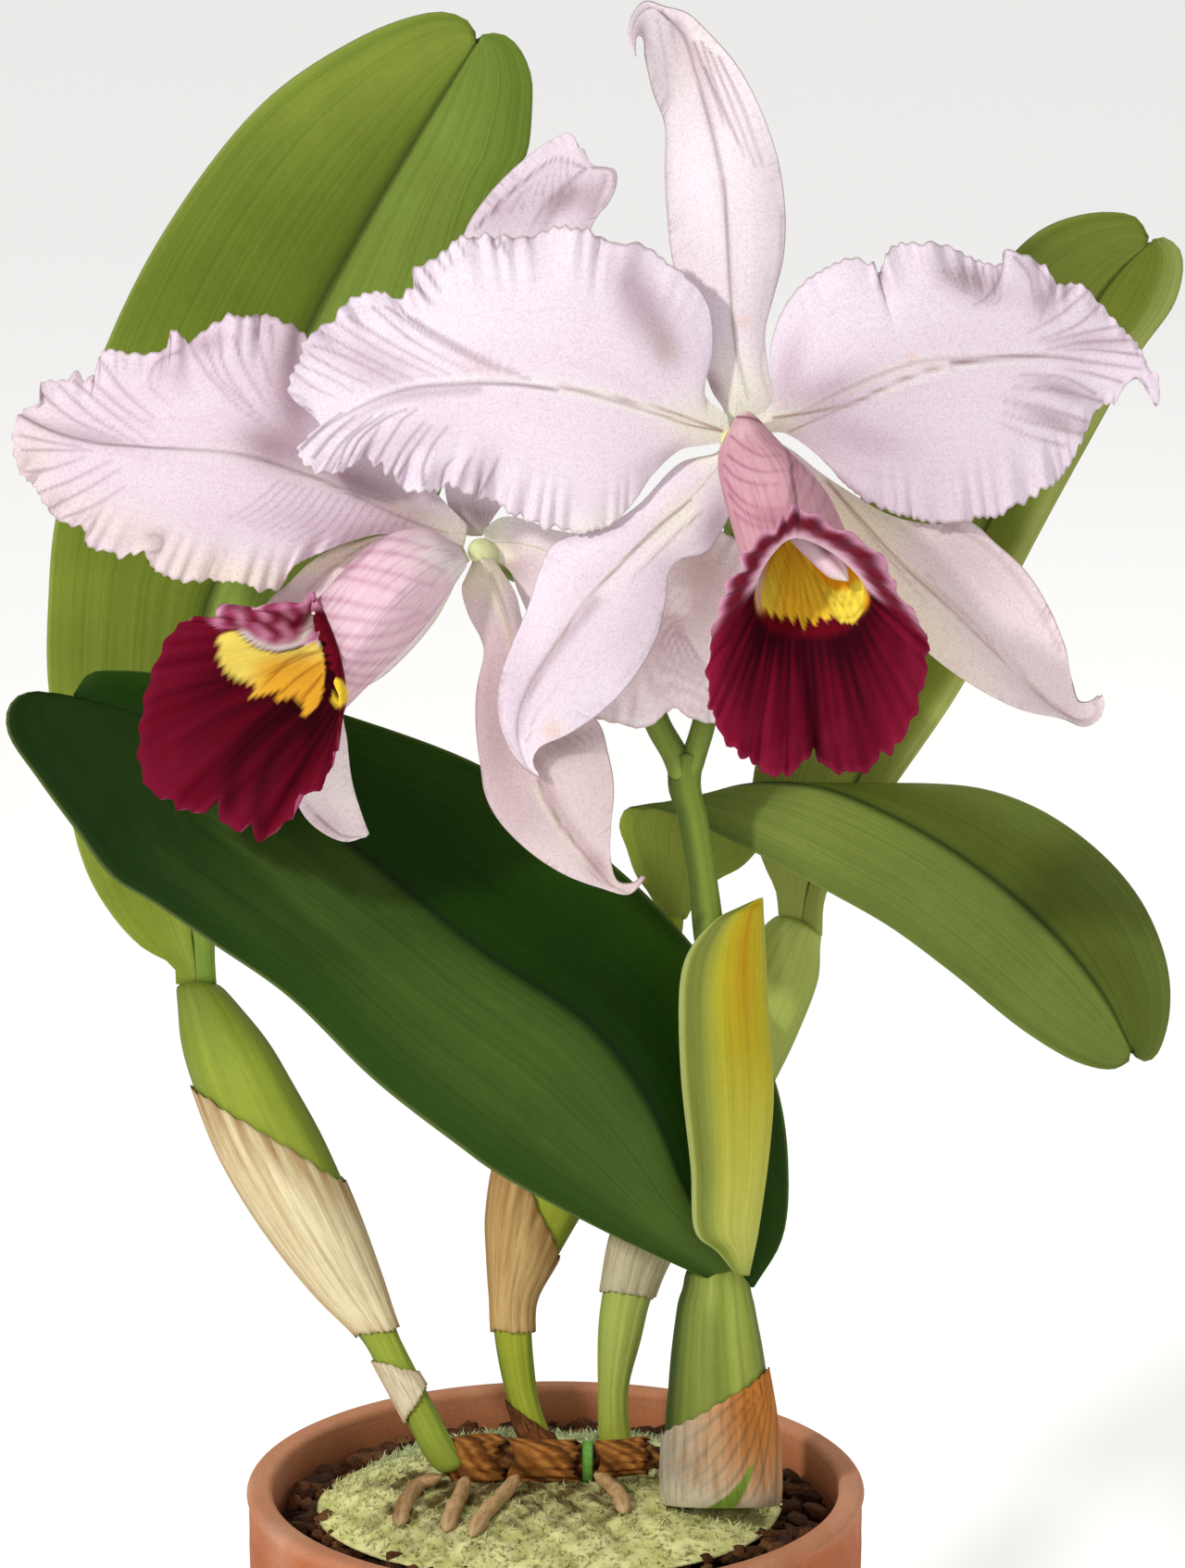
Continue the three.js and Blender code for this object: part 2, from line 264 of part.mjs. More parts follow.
// a round stem along a curve of [u, v, depth, radius] stations or of space points
function stem(points, radii, ns, nr, grow = 0) {
  const curve = new THREE.CatmullRomCurve3(points, false, 'centripetal'), rings = [];
  let n1 = null;
  for (let i = 0; i <= ns; i++) {
    const s = i / ns, p = curve.getPoint(s), t = curve.getTangent(s);
    if (!n1) n1 = new THREE.Vector3(1, 0, 0).sub(t.clone().multiplyScalar(t.x)).normalize();
    n1 = n1.clone().sub(t.clone().multiplyScalar(n1.dot(t))).normalize();
    const n2 = t.clone().cross(n1), r = profile(radii, s) + grow, ring = [];
    if (grow && i === 0) p.addScaledVector(t, -grow);
    if (grow && i === ns) p.addScaledVector(t, grow);
    for (let j = 0; j < nr; j++) { const a = 2 * Math.PI * j / nr; ring.push(p.clone().addScaledVector(n1, r * Math.cos(a)).addScaledVector(n2, r * Math.sin(a))); }
    rings.push(ring);
  }
  const mesh = ringsToMesh(rings);
  capFan(mesh, true); capFan(mesh, false);
  return solidOf(mesh);
}
const stemOf = (rows, ns, nr, grow) => stem(rows.map((r) => place(r[0], r[1], r[2])), rows.map((r) => r[3] * SCALE), ns, nr, grow);

// ---- lips: a funnel of rings, thickened ----
function ringAt(keys, angle) {
  const n = keys.length;
  let i = n - 1;
  for (let k = 0; k < n; k++) if (keys[k][0] <= angle) i = k;
  const a = keys[i], b = keys[(i + 1) % n], wb = b[0] + (i + 1 >= n ? 360 : 0), f = (angle - a[0]) / (wb - a[0]);
  const cubic = n <= 8;
  if (!cubic) return [1, 2, 3].map((c) => a[c] + (b[c] - a[c]) * f);
  const z = keys[(i + n - 1) % n], e = keys[(i + 2) % n];
  return [1, 2, 3].map((c) => 0.5 * (2 * a[c] + (b[c] - z[c]) * f + (2 * z[c] - 5 * a[c] + 4 * b[c] - e[c]) * f * f + (3 * a[c] - z[c] - 3 * b[c] + e[c]) * f * f * f));
}
function lipGrid(rings, nr) {
  const rows = [];
  const at = (k, j) => ringAt(rings[k], 360 * j / nr);
  const push = (fn) => { const row = []; for (let j = 0; j < nr; j++) { const q = fn(j); row.push(place(q[0], q[1], q[2])); } rows.push(row); };
  const mix = (k, f, bulge) => (j) => { const a = at(k, j), b = at(k + 1, j), w = 4 * f * (1 - f) * bulge; return [0, 1, 2].map((c) => a[c] + (b[c] - a[c]) * f + (c === 2 ? w : 0)); };
  push((j) => at(0, j)); push(mix(0, 0.5, 0)); push((j) => at(1, j)); push(mix(1, 0.5, 0)); push((j) => at(2, j)); push(mix(2, 0.5, 0)); push((j) => at(3, j));
  push(mix(3, 0.33, 2)); push(mix(3, 0.67, 2)); push((j) => at(4, j));
  return rows;
}
function lip(rings, nr, grow = 0) {
  const rows = lipGrid(rings, nr), n = rows.length;
  const h = LIP_SHEET / 2 + grow;
  const out = [], inn = [];
  for (let i = 0; i < n; i++) {
    const o = [], q = [];
    for (let j = 0; j < nr; j++) {
      const a = rows[Math.min(n - 1, i + 1)][j].clone().sub(rows[Math.max(0, i - 1)][j]);
      const b = rows[i][(j + 1) % nr].clone().sub(rows[i][(j + nr - 1) % nr]);
      const c = a.cross(b).normalize();
      o.push(rows[i][j].clone().addScaledVector(c, h)); q.push(rows[i][j].clone().addScaledVector(c, -h));
    }
    out.push(o); inn.push(q);
  }
  // the ring nearest the hub is closed by a small floor
  const inner = inn.slice(1), c0 = new THREE.Vector3(), c1 = new THREE.Vector3();
  for (const p of out[0]) c0.addScaledVector(p, 1 / nr);
  for (const p of inner[0]) c1.addScaledVector(p, 1 / nr);
  const all = [...out, ...inner.slice().reverse()], pos = [], idx = [];
  for (const r of all) for (const p of r) pos.push(p.x, p.y, p.z);
  for (let i = 0; i + 1 < all.length; i++) for (let j = 0; j < nr; j++) {
    const a = i * nr + j, b = i * nr + (j + 1) % nr, c = a + nr, d = b + nr;
    idx.push(a, b, d, a, d, c);
  }
  const k0 = pos.length / 3; pos.push(c0.x, c0.y, c0.z);
  for (let j = 0; j < nr; j++) idx.push(k0, (j + 1) % nr, j);
  const k1 = pos.length / 3; pos.push(c1.x, c1.y, c1.z);
  const o = (all.length - 1) * nr;
  for (let j = 0; j < nr; j++) idx.push(k1, o + j, o + (j + 1) % nr);
  return solidOf({ pos, idx });
}

// ---- pot, medium and moss ----
function lathe(profilePoints, seg) {
  const g = new THREE.LatheGeometry(profilePoints.map(([r, z]) => new THREE.Vector2(r, z)), seg);
  g.rotateX(Math.PI / 2);
  return solidFromGeometry(g);
}
function pot() {
  const band = POT_HEIGHT - POT_RIM_BAND, body = POT_RIM_RADIUS - 4;
  const slope = (body - POT_FOOT_RADIUS) / band;
  const inner = (z) => POT_FOOT_RADIUS + slope * z - POT_WALL;
  let s = lathe([[0, 0], [POT_FOOT_RADIUS, 0], [POT_FOOT_RADIUS + slope * 2, 2], [body, band], [POT_RIM_RADIUS - 1.5, band + 0.5], [POT_RIM_RADIUS - 0.6, band + 2],
    [POT_RIM_RADIUS, POT_HEIGHT - 2], [POT_RIM_RADIUS - 0.8, POT_HEIGHT - 0.4], [POT_RIM_RADIUS - 2.2, POT_HEIGHT], [POT_RIM_RADIUS - 4.2, POT_HEIGHT - 0.5], [POT_RIM_RADIUS - 5, POT_HEIGHT - 2],
    [inner(band), band], [inner(POT_FLOOR), POT_FLOOR], [0, POT_FLOOR]], 36);
  for (let i = 0; i < DRAIN_HOLES; i++) {
    const a = Math.PI / 4 + i * 2 * Math.PI / DRAIN_HOLES;
    const g = new THREE.CylinderGeometry(DRAIN_HOLE_RADIUS, DRAIN_HOLE_RADIUS, POT_FLOOR + 2, 16);
    g.rotateX(Math.PI / 2);
    g.translate(DRAIN_HOLE_OFFSET * Math.cos(a), DRAIN_HOLE_OFFSET * Math.sin(a), POT_FLOOR / 2);
    s = s.subtract(solidFromGeometry(g));
  }
  return s;
}
function medium() {
  const band = POT_HEIGHT - POT_RIM_BAND, body = POT_RIM_RADIUS - 4, slope = (body - POT_FOOT_RADIUS) / band;
  const inner = (z) => POT_FOOT_RADIUS + slope * z - POT_WALL - GAP;
  const upper = POT_RIM_RADIUS - 5 - GAP, f = (MEDIUM_TOP - band) / (POT_HEIGHT - 2 - band);
  return lathe([[0, POT_FLOOR + GAP], [inner(POT_FLOOR) - 0.3, POT_FLOOR + GAP], [inner(band) - 0.1, band], [inner(band) - 0.1 + (upper - inner(band)) * f, MEDIUM_TOP - 0.6], [inner(band) + (upper - inner(band)) * f - 2, MEDIUM_TOP], [0, MEDIUM_TOP]], 40);
}
const MOSS_CENTRE = [-3, 3];
const MOSS_REACH = [[0, 47], [30, 48], [60, 44], [80, 38], [100, 40], [125, 41], [150, 40], [175, 43], [200, 44], [225, 43], [250, 41], [270, 40], [300, 43], [330, 46]];
function mossReach(a) {
  let x = ((a % 360) + 360) % 360, i = MOSS_REACH.length - 1;
  for (let k = 0; k < MOSS_REACH.length; k++) if (MOSS_REACH[k][0] <= x) i = k;
  const p = MOSS_REACH[i], q = MOSS_REACH[(i + 1) % MOSS_REACH.length], w = q[0] + (i + 1 >= MOSS_REACH.length ? 360 : 0);
  return p[1] + (q[1] - p[1]) * (x - p[0]) / (w - p[0]);
}
function mossHeight(x, y) {
  const dx = x - MOSS_CENTRE[0], dy = y - MOSS_CENTRE[1], rho = Math.hypot(dx, dy) / mossReach(Math.atan2(dy, dx) * 180 / Math.PI);
  return MOSS_FOOT + MOSS_RISE * Math.max(0, 1 - Math.pow(Math.min(1, rho), 2.6)) + 1.5 * Math.max(0, Math.min(1, (y - 12) / 20)) * Math.max(0, 1 - rho);
}
function moss() {
  const na = 28, nr = 4, pos = [], idx = [];
  pos.push(MOSS_CENTRE[0], MOSS_CENTRE[1], mossHeight(...MOSS_CENTRE));
  for (let i = 1; i <= nr; i++) for (let j = 0; j < na; j++) {
    const a = 360 * j / na, r = mossReach(a) * Math.sin(Math.PI / 2 * i / nr), x = MOSS_CENTRE[0] + r * Math.cos(a * Math.PI / 180), y = MOSS_CENTRE[1] + r * Math.sin(a * Math.PI / 180);
    pos.push(x, y, Math.max(mossHeight(x, y), MOSS_FOOT + 0.8));
  }
  const low = pos.length / 3;
  for (let j = 0; j < na; j++) { const o = 1 + (nr - 1) * na + j; pos.push(pos[3 * o], pos[3 * o + 1], MOSS_FOOT); }
  const c = pos.length / 3; pos.push(MOSS_CENTRE[0], MOSS_CENTRE[1], MOSS_FOOT);
  const R = (i, j) => 1 + (i - 1) * na + (j % na);
  for (let j = 0; j < na; j++) {
    idx.push(0, R(1, j), R(1, j + 1));
    for (let i = 1; i < nr; i++) idx.push(R(i, j), R(i + 1, j), R(i + 1, j + 1), R(i, j), R(i + 1, j + 1), R(i, j + 1));
    const a = R(nr, j), b = R(nr, j + 1), d = low + j, e = low + (j + 1) % na;
    idx.push(a, d, e, a, e, b, c, e, d);
  }
  return solidOf({ pos, idx });
}
// a root creeping forward over the moss, seen along the given drawing points
function rootPoints(path) {
  return path.map(([u, v], i) => {
    let lo = -10, hi = 60;
    const lift = i === 0 ? 2.2 : i === path.length - 1 ? 0.4 : 0.9;
    for (let k = 0; k < 30; k++) { const d = (lo + hi) / 2, p = place(u, v, d); if (p.z < mossHeight(p.x, p.y) + lift) lo = d; else hi = d; }
    return place(u, v, hi);
  });
}

// ---- the pieces, those that keep their full shape first ----
const mix = (a, b, f) => a + (b - a) * f;
const slant = (left, right) => (a) => mix(left, right, (1 + Math.cos(a)) / 2);
const spec = [
  ['pedicel_a', (g) => stemOf(PEDICEL_A, 14, 10, g), '#7f9c48', 0.5],
  ['pedicel_b', (g) => stemOf(PEDICEL_B, 14, 10, g), '#b9cf72', 0.5],
  ['a_column', (g) => stemOf(COLUMN_A, 8, 10, g), '#e9cfd6', 0.5],
  ['a_lip', (g) => lip(LIP_A, 30, g), '#8a1c40', 0.55],
  ['a_petal_left', (g) => blade(A_PETAL_LEFT, 20, 2, g), '#ecdfe9', 0.6],
  ['a_petal_right', (g) => blade(A_PETAL_RIGHT, 20, 2, g), '#ecdfe9', 0.6],
  ['a_sepal_left', (g) => blade(A_SEPAL_LEFT, 14, 2, g), '#eadce6', 0.6],
  ['a_sepal_right', (g) => blade(A_SEPAL_RIGHT, 16, 2, g), '#eadce6', 0.6],
  ['a_dorsal_sepal', (g) => blade(A_DORSAL, 18, 2, g), '#eadce6', 0.6],
  ['b_column', (g) => stemOf(COLUMN_B, 8, 10, g), '#e9cfd6', 0.5],
  ['b_lip', (g) => lip(LIP_B, 30, g), '#8a1c40', 0.55],
  ['b_petal_left', (g) => blade(B_PETAL_LEFT, 20, 2, g), '#ecdfe9', 0.6],
  ['b_sepal_right', (g) => blade(B_SEPAL_RIGHT, 16, 2, g), '#eadce6', 0.6],
  ['b_petal_right', (g) => blade(B_PETAL_RIGHT, 14, 2, g), '#ecdfe9', 0.6],
  ['b_dorsal_sepal', (g) => blade(B_DORSAL, 14, 2, g), '#eadce6', 0.6],
  ['b_sepal_left', (g) => blade(B_SEPAL_LEFT, 14, 2, g), '#eadce6', 0.6],
  ['peduncle', (g) => tube(PEDUNCLE, 0.9, 8, 10, g), '#6f8f3c', 0.5],
  ['spathe', (g) => sheath(SPATHE, 0.4, () => 0.02, () => 1, 10, 14, -0.8, 0.8, g), '#c9c23f', 0.55],
  ['pseudobulb_front', (g) => tube(PB_FRONT, 0.75, 10, 14, g), '#6c8f45', 0.5],
  ['leaf_front', (g) => blade(LEAF_1, 22, 3, g), '#2f5224', 0.45],
  ['pseudobulb_middle', (g) => tube(PB_MIDDLE, 0.6, 12, 12, g), '#8da93f', 0.5],
  ['pseudobulb_back', (g) => tube(PB_BACK, 0.6, 12, 12, g), '#8da93f', 0.5],
  ['pseudobulb_left', (g) => tube(PB_LEFT, 0.6, 12, 12, g), '#8da93f', 0.5],
  ['leaf_right', (g) => blade(LEAF_3, 22, 3, g), '#4f7434', 0.45],
  ['leaf_back', (g) => blade(LEAF_4, 16, 3, g), '#5e8a38', 0.45],
  ['leaf_left', (g) => blade(LEAF_2, 18, 3, g), '#5f8a38', 0.45],
  ['rhizome', (g) => tube(RHIZOME, 0.85, 14, 12, g), '#8a5428', 0.8],
  ['sheath_left', (g) => sheath(PB_LEFT, 0.6, slant(0.265, 0.4), slant(0.625, 0.645), 6, 12, SHEATH_GAP, SHEET_SHEATH, g), '#e0cda0', 0.7],
  ['sheath_left_small', (g) => sheath(PB_LEFT, 0.6, slant(0.7, 0.755), slant(0.83, 0.775), 2, 12, SHEATH_GAP, SHEET_SHEATH, g), '#e0cda0', 0.7],
  ['sheath_middle', (g) => sheath(PB_MIDDLE, 0.6, slant(0.34, 0.52), slant(0.69, 0.69), 5, 12, SHEATH_GAP, SHEET_SHEATH, g), '#d8c59a', 0.7],
  ['bract_middle', (g) => sheath(PB_MIDDLE, 0.6, slant(0.85, 0.93), slant(0.98, 0.985), 2, 12, SHEATH_GAP, SHEET_SHEATH, g), '#7a4a24', 0.8],
  ['sheath_back', (g) => sheath(PB_BACK, 0.6, slant(0.47, 0.47), slant(0.675, 0.66), 4, 12, SHEATH_GAP, SHEET_SHEATH, g), '#b0a898', 0.7],
  ['sheath_front', (g) => sheath(PB_FRONT, 0.75, slant(0.64, 0.53), slant(0.97, 0.97), 4, 14, SHEATH_GAP, SHEET_SHEATH, g), '#d9b79a', 0.7],
  ['rhizome_scale_1', (g) => sheath(RHIZOME, 0.85, () => 0.12, () => 0.33, 2, 12, SHEATH_GAP, SHEET_SHEATH, g), '#7a4a24', 0.85],
  ['rhizome_scale_2', (g) => sheath(RHIZOME, 0.85, () => 0.36, () => 0.6, 2, 12, SHEATH_GAP, SHEET_SHEATH, g), '#7a4a24', 0.85],
  ['rhizome_ring', (g) => sheath(RHIZOME, 0.85, () => 0.615, () => 0.655, 1, 12, SHEATH_GAP, SHEET_SHEATH, g), '#5f9a3f', 0.6],
  ['rhizome_scale_3', (g) => sheath(RHIZOME, 0.85, () => 0.68, () => 0.9, 2, 12, SHEATH_GAP, SHEET_SHEATH, g), '#7a4a24', 0.85],
  ...ROOT_PATHS.map((path, i) => ['root_' + (i + 1), (g) => stem(rootPoints(path), [1.3, 1.5, 1.6, 1.5], 10, 10, g), '#c9a376', 0.8]),
  ['moss_mound', () => moss(), '#b9c472', 0.95],
  ['potting_medium', () => medium(), '#4a3424', 0.95],
  ['pot', () => pot(), '#b5694a', 0.85],
];

const built = [];
const overlap = (a, b) => { for (let k = 0; k < 3; k++) if (a.min[k] > b.max[k] || b.min[k] > a.max[k]) return false; return true; };
const orchid = new THREE.Group();
const plant = new THREE.Group(), flowerA = new THREE.Group(), flowerB = new THREE.Group(), holder = new THREE.Group();
orchid.add(holder, plant); plant.add(flowerA, flowerB);
for (const [name, make, colour, roughness] of spec) {
  let s = make(0);
  const before = s.volume();
  if (name !== 'potting_medium' && name !== 'pot') {
    for (const o of built) {
      if (!overlap(s.boundingBox(), o.fat.boundingBox())) continue;
      const cut = s.subtract(o.fat);
      if (Math.abs(cut.volume() - s.volume()) < 1e-6) continue;
      s = cut;
    }
    const parts = s.decompose().sort((a, b) => b.volume() - a.volume());
    s = parts[0];
    s = s.simplify(0.004);
    built.push({ name, fat: make(GAP) });
  }
  const m = s.getMesh(), geometry = new THREE.BufferGeometry();
  const b = s.boundingBox(), anchor = new THREE.Vector3((b.min[0] + b.max[0]) / 2, (b.min[1] + b.max[1]) / 2, b.min[2]);
  const pos = new Float32Array(m.numVert * 3);
  for (let i = 0; i < m.numVert; i++) for (let c = 0; c < 3; c++) pos[3 * i + c] = m.vertProperties[i * m.numProp + c] - [anchor.x, anchor.y, anchor.z][c];
  geometry.setAttribute('position', new THREE.BufferAttribute(pos, 3));
  geometry.setIndex(new THREE.BufferAttribute(new Uint32Array(m.triVerts), 1));
  geometry.computeVertexNormals();
  const mesh = new THREE.Mesh(geometry, new THREE.MeshStandardMaterial({ color: colour, roughness, metalness: 0 }));
  mesh.name = name;
  mesh.position.copy(anchor);
  (name.startsWith('a_') ? flowerA : name.startsWith('b_') ? flowerB : name.startsWith('pot') ? holder : plant).add(mesh);
}
export default orchid;
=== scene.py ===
import bpy, math
from mathutils import Vector, Matrix
import numpy as np


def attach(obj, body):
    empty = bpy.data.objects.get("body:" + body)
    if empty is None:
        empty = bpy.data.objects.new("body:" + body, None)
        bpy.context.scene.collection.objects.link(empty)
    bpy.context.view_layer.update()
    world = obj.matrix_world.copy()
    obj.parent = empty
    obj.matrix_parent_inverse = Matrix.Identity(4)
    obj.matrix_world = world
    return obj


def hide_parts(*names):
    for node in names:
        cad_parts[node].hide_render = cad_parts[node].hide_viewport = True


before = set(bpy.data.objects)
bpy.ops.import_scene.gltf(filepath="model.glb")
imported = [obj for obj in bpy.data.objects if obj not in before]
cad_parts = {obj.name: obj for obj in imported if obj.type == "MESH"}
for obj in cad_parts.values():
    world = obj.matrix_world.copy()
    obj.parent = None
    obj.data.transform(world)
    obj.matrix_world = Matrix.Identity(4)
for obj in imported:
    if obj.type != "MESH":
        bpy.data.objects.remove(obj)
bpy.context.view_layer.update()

# A Cattleya orchid in a clay pot. Outlines are drawn on an upright plane in drawing units (u right, v down),
# with a depth in millimetres towards the viewer.
S_MM = 0.18
TILT = math.radians(15)
DIST = 1500.0
POT_H = 95.0
UP = np.array([0, math.sin(TILT), math.cos(TILT)])
BACK = np.array([0, -math.cos(TILT), math.sin(TILT)])
RIGHT = np.array([1.0, 0, 0])
P0 = np.array([0, 0, POT_H]) + RIGHT * 40 * S_MM + UP * 753.5 * S_MM


# ---------- outlines ----------
# Blades: L, M, R = left edge, midrib, right edge from base to tip, in drawing units; dm = depth along the midrib (mm), dl and dr = depth of the two edges relative to it
LEAF_1 = {"L":[[800,1396],[740,1370],[644,1325],[532,1264],[499,1240],[406,1168],[310,1075],[231,1020],[165,975],[121,948],[79,893],[40,840],[9,793],[7,769],[18,752],[40,747],[76,757]],"M":[[805,1391],[765,1330],[740,1285],[700,1190],[640,1110],[520,1027],[379,913],[250,822],[150,772],[78,757]],"R":[[812,1392],[845,1336],[851,1253],[838,1170],[800,1090],[748,1021],[700,968],[664,935],[600,880],[520,827],[370,771],[250,738],[162,726],[131,724],[96,727],[79,753]],"dm":[3.5,6,8,8,7,5,2,-1,-4,-6],"dl":[1,5,8,10,10,9,8,6,3,0],"dr":[-1,-6,-11,-13,-13,-12,-10,-8,-4,0],"bul":[1.2,-0.6],"th":1.8}
LEAF_2 = {"L":[[190,1066],[188,1044],[155,1024],[127,996],[100,955],[86,920],[79,893],[52,740],[52,650],[60,560],[101,408],[175,253],[285,110],[387,41],[448,17],[481,13],[505,22],[514,38]],"M":[[212,1068],[210,1020],[203,960],[204,860],[212,740],[222,655],[232,628],[330,361],[383,261],[448,151],[516,43]],"R":[[234,1066],[232,1020],[240,970],[300,860],[400,700],[480,520],[530,350],[545,230],[560,180],[569,167],[575,114],[574,82],[562,53],[546,38],[526,36],[518,40]],"dm":[-25,-27,-32,-38,-42,-44,-43,-41,-38],"dl":[1,3,5,5,5,4,3,2,0],"dr":[1,2,3,4,4,4,3,2,0],"bul":[0.8,0.8],"th":1.8}
LEAF_3 = {"L":[[717,993],[700,962],[687,944],[677,915],[669,890],[677,873],[730,880],[775,901],[828,927],[893,962],[960,1000],[1028,1050],[1109,1115],[1167,1148],[1203,1154],[1221,1144]],"M":[[728,996],[738,955],[742,925],[748,890],[772,860],[824,848],[869,850],[905,858],[979,891],[1048,933],[1130,1001],[1191,1074],[1223,1136]],"R":[[740,993],[757,963],[777,948],[800,936],[820,915],[840,885],[870,866],[905,856],[946,849],[1007,847],[1069,854],[1130,878],[1191,923],[1232,972],[1256,1025],[1264,1070],[1260,1111],[1248,1140],[1238,1146],[1226,1140]],"dm":[-12,-11,-9,-8,-6,-4,-2,1,4,7,9],"dl":[-1,-2,0,4,6,6,5,4,3,2,0],"dr":[-1,-3,-6,-8,-8,-8,-7,-6,-4,-2,0],"bul":[0.8,-0.8],"th":1.8}
LEAF_4 = {"L":[[841,990],[838,962],[826,935],[812,890],[815,830],[840,740],[900,600],[980,440],[1050,330],[1099,269],[1130,245],[1167,232],[1203,229],[1228,235],[1240,257]],"M":[[865,1001],[872,960],[890,910],[925,845],[1000,700],[1090,520],[1150,390],[1187,320],[1211,290],[1242,262]],"R":[[888,1013],[891,970],[915,920],[968,846],[1042,736],[1110,600],[1175,480],[1232,380],[1269,327],[1278,286],[1273,267],[1256,256],[1244,260]],"dm":[-20,-21,-24,-27,-30,-32,-34,-34],"dl":[1,3,4,4,4,3,2,0],"dr":[1,2,3,4,4,3,2,0],"bul":[0.8,0.8],"th":1.8}
A_DORSAL = {"L":[[784,462],[782,443],[770,424],[763,405],[758,370],[745,330],[728,286],[722,245],[718,184],[718,135],[705,98],[697,61],[695,41],[689,38],[686,52],[686,61]],"M":[[793,464],[797,412],[791,347],[786,265],[781,184],[767,122],[746,65],[722,20],[703,7],[690,15],[683,36],[687,62]],"R":[[803,462],[827,443],[836,429],[830,400],[826,359],[836,318],[846,278],[848,229],[840,171],[820,114],[795,69],[767,37],[742,14],[718,7],[697,1],[684,14],[678,37],[686,62]],"dm":[32,30,28,26,25,26,30,36],"dl":[-1,-1,-2,-3,-3,-1,2,0],"dr":[-1,-1,-2,-2,1,3,2,0],"bul":[0.8,0.8],"th":1.1}
A_PETAL_LEFT = {"L":[[786,476],[757,481],[735,485],[705,512],[681,546],[657,568],[613,574],[569,562],[539,546],[502,533],[482,523],[472,531],[446,531],[428,520],[413,505],[391,496],[365,510],[339,509],[321,486],[343,462]],"M":[[790,464],[717,449],[631,423],[569,412],[487,412],[435,418],[391,435],[346,460]],"R":[[788,450],[761,427],[761,409],[768,386],[769,349],[761,320],[728,287],[687,264],[654,259],[635,248],[602,245],[569,255],[509,255],[480,268],[450,290],[443,312],[428,322],[406,314],[376,324],[361,344],[335,361],[319,394],[315,416],[317,431],[339,449],[345,458]],"dm":[36,38,39,38,36,33,30],"dl":[-1,-3,-4,-4,-3,-2,0],"dr":[-1,-3,-4,-4,-4,-2,0],"bul":[1.2,1.2],"th":0.9}
A_PETAL_RIGHT = {"L":[[798,452],[834,440],[832,392],[836,359],[856,318],[889,290],[922,280],[942,284],[950,302],[952,286],[967,267],[1007,262],[1032,269],[1056,282],[1081,284],[1085,271],[1101,273],[1126,286],[1142,304],[1162,304],[1183,322],[1205,347],[1228,371],[1238,392],[1252,412],[1251,438]],"M":[[796,464],[840,452],[870,442],[905,424],[985,392],[1060,385],[1130,385],[1190,393],[1228,400],[1240,410],[1250,440]],"R":[[797,476],[842,466],[858,472],[880,488],[900,508],[920,530],[960,552],[1015,565],[1060,560],[1110,540],[1150,510],[1171,469],[1183,445],[1203,435],[1216,416],[1228,408],[1238,422],[1249,439]],"dm":[36,38,39,38,36,33,30,31],"dl":[-1,-3,-4,-4,-4,-3,-1,0],"dr":[-1,-3,-4,-4,-3,-2,-1,0],"bul":[1.2,1.2],"th":0.9}
A_SEPAL_LEFT = {"L":[[780,476],[776,488],[735,500],[690,545],[655,568],[597,588],[583,616],[571,654],[550,704],[539,739],[539,775],[550,807],[566,829],[580,838]],"M":[[789,474],[783,492],[744,540],[685,596],[627,654],[597,704],[568,751],[559,789],[568,825],[582,839]],"R":[[797,478],[797,500],[792,540],[785,562],[776,578],[762,596],[735,603],[723,616],[719,648],[712,681],[697,713],[674,745],[644,773],[609,795],[583,807],[576,822],[584,838]],"dm":[33,33,34,33,31,29,28],"dl":[-1,-1,-2,-2,-1,0,0],"dr":[-1,-1,-2,-2,-1,0,0],"bul":[1,1],"th":1.1}
A_SEPAL_RIGHT = {"L":[[800,466],[848,482],[885,510],[915,530],[960,556],[1005,566],[1047,563],[1075,586],[1106,614],[1130,650],[1150,697],[1158,735],[1165,757],[1178,757],[1187,750]],"M":[[795,474],[840,492],[880,518],[925,560],[969,602],[1043,669],[1099,730],[1150,772],[1172,776],[1185,764],[1189,751]],"R":[[790,482],[830,500],[850,530],[880,560],[913,592],[940,640],[975,675],[1000,702],[1043,735],[1102,766],[1150,777],[1172,785],[1188,776],[1193,758],[1190,748]],"dm":[33,33,33,32,31,31,33],"dl":[-1,-1,-2,-2,-1,1,0],"dr":[-1,-1,-2,-2,-1,1,0],"bul":[1,1],"th":1.1}
B_DORSAL = {"L":[[500,578],[492,562],[484,545],[480,520],[478,450],[484,350],[501,253],[526,212],[567,171],[599,149],[614,143],[622,150]],"M":[[510,580],[509,562],[512,520],[525,450],[548,360],[574,290],[600,230],[618,190],[626,158]],"R":[[520,580],[528,566],[545,540],[572,470],[602,380],[628,300],[638,248],[648,230],[656,222],[666,198],[664,183],[640,178],[630,160]],"dm":[15,13,11,10,10,11,12],"dl":[-1,-1,-2,-2,-2,-1,0],"dr":[-1,-1,-2,-1,2,3,0],"bul":[0.8,0.8],"th":1.1}
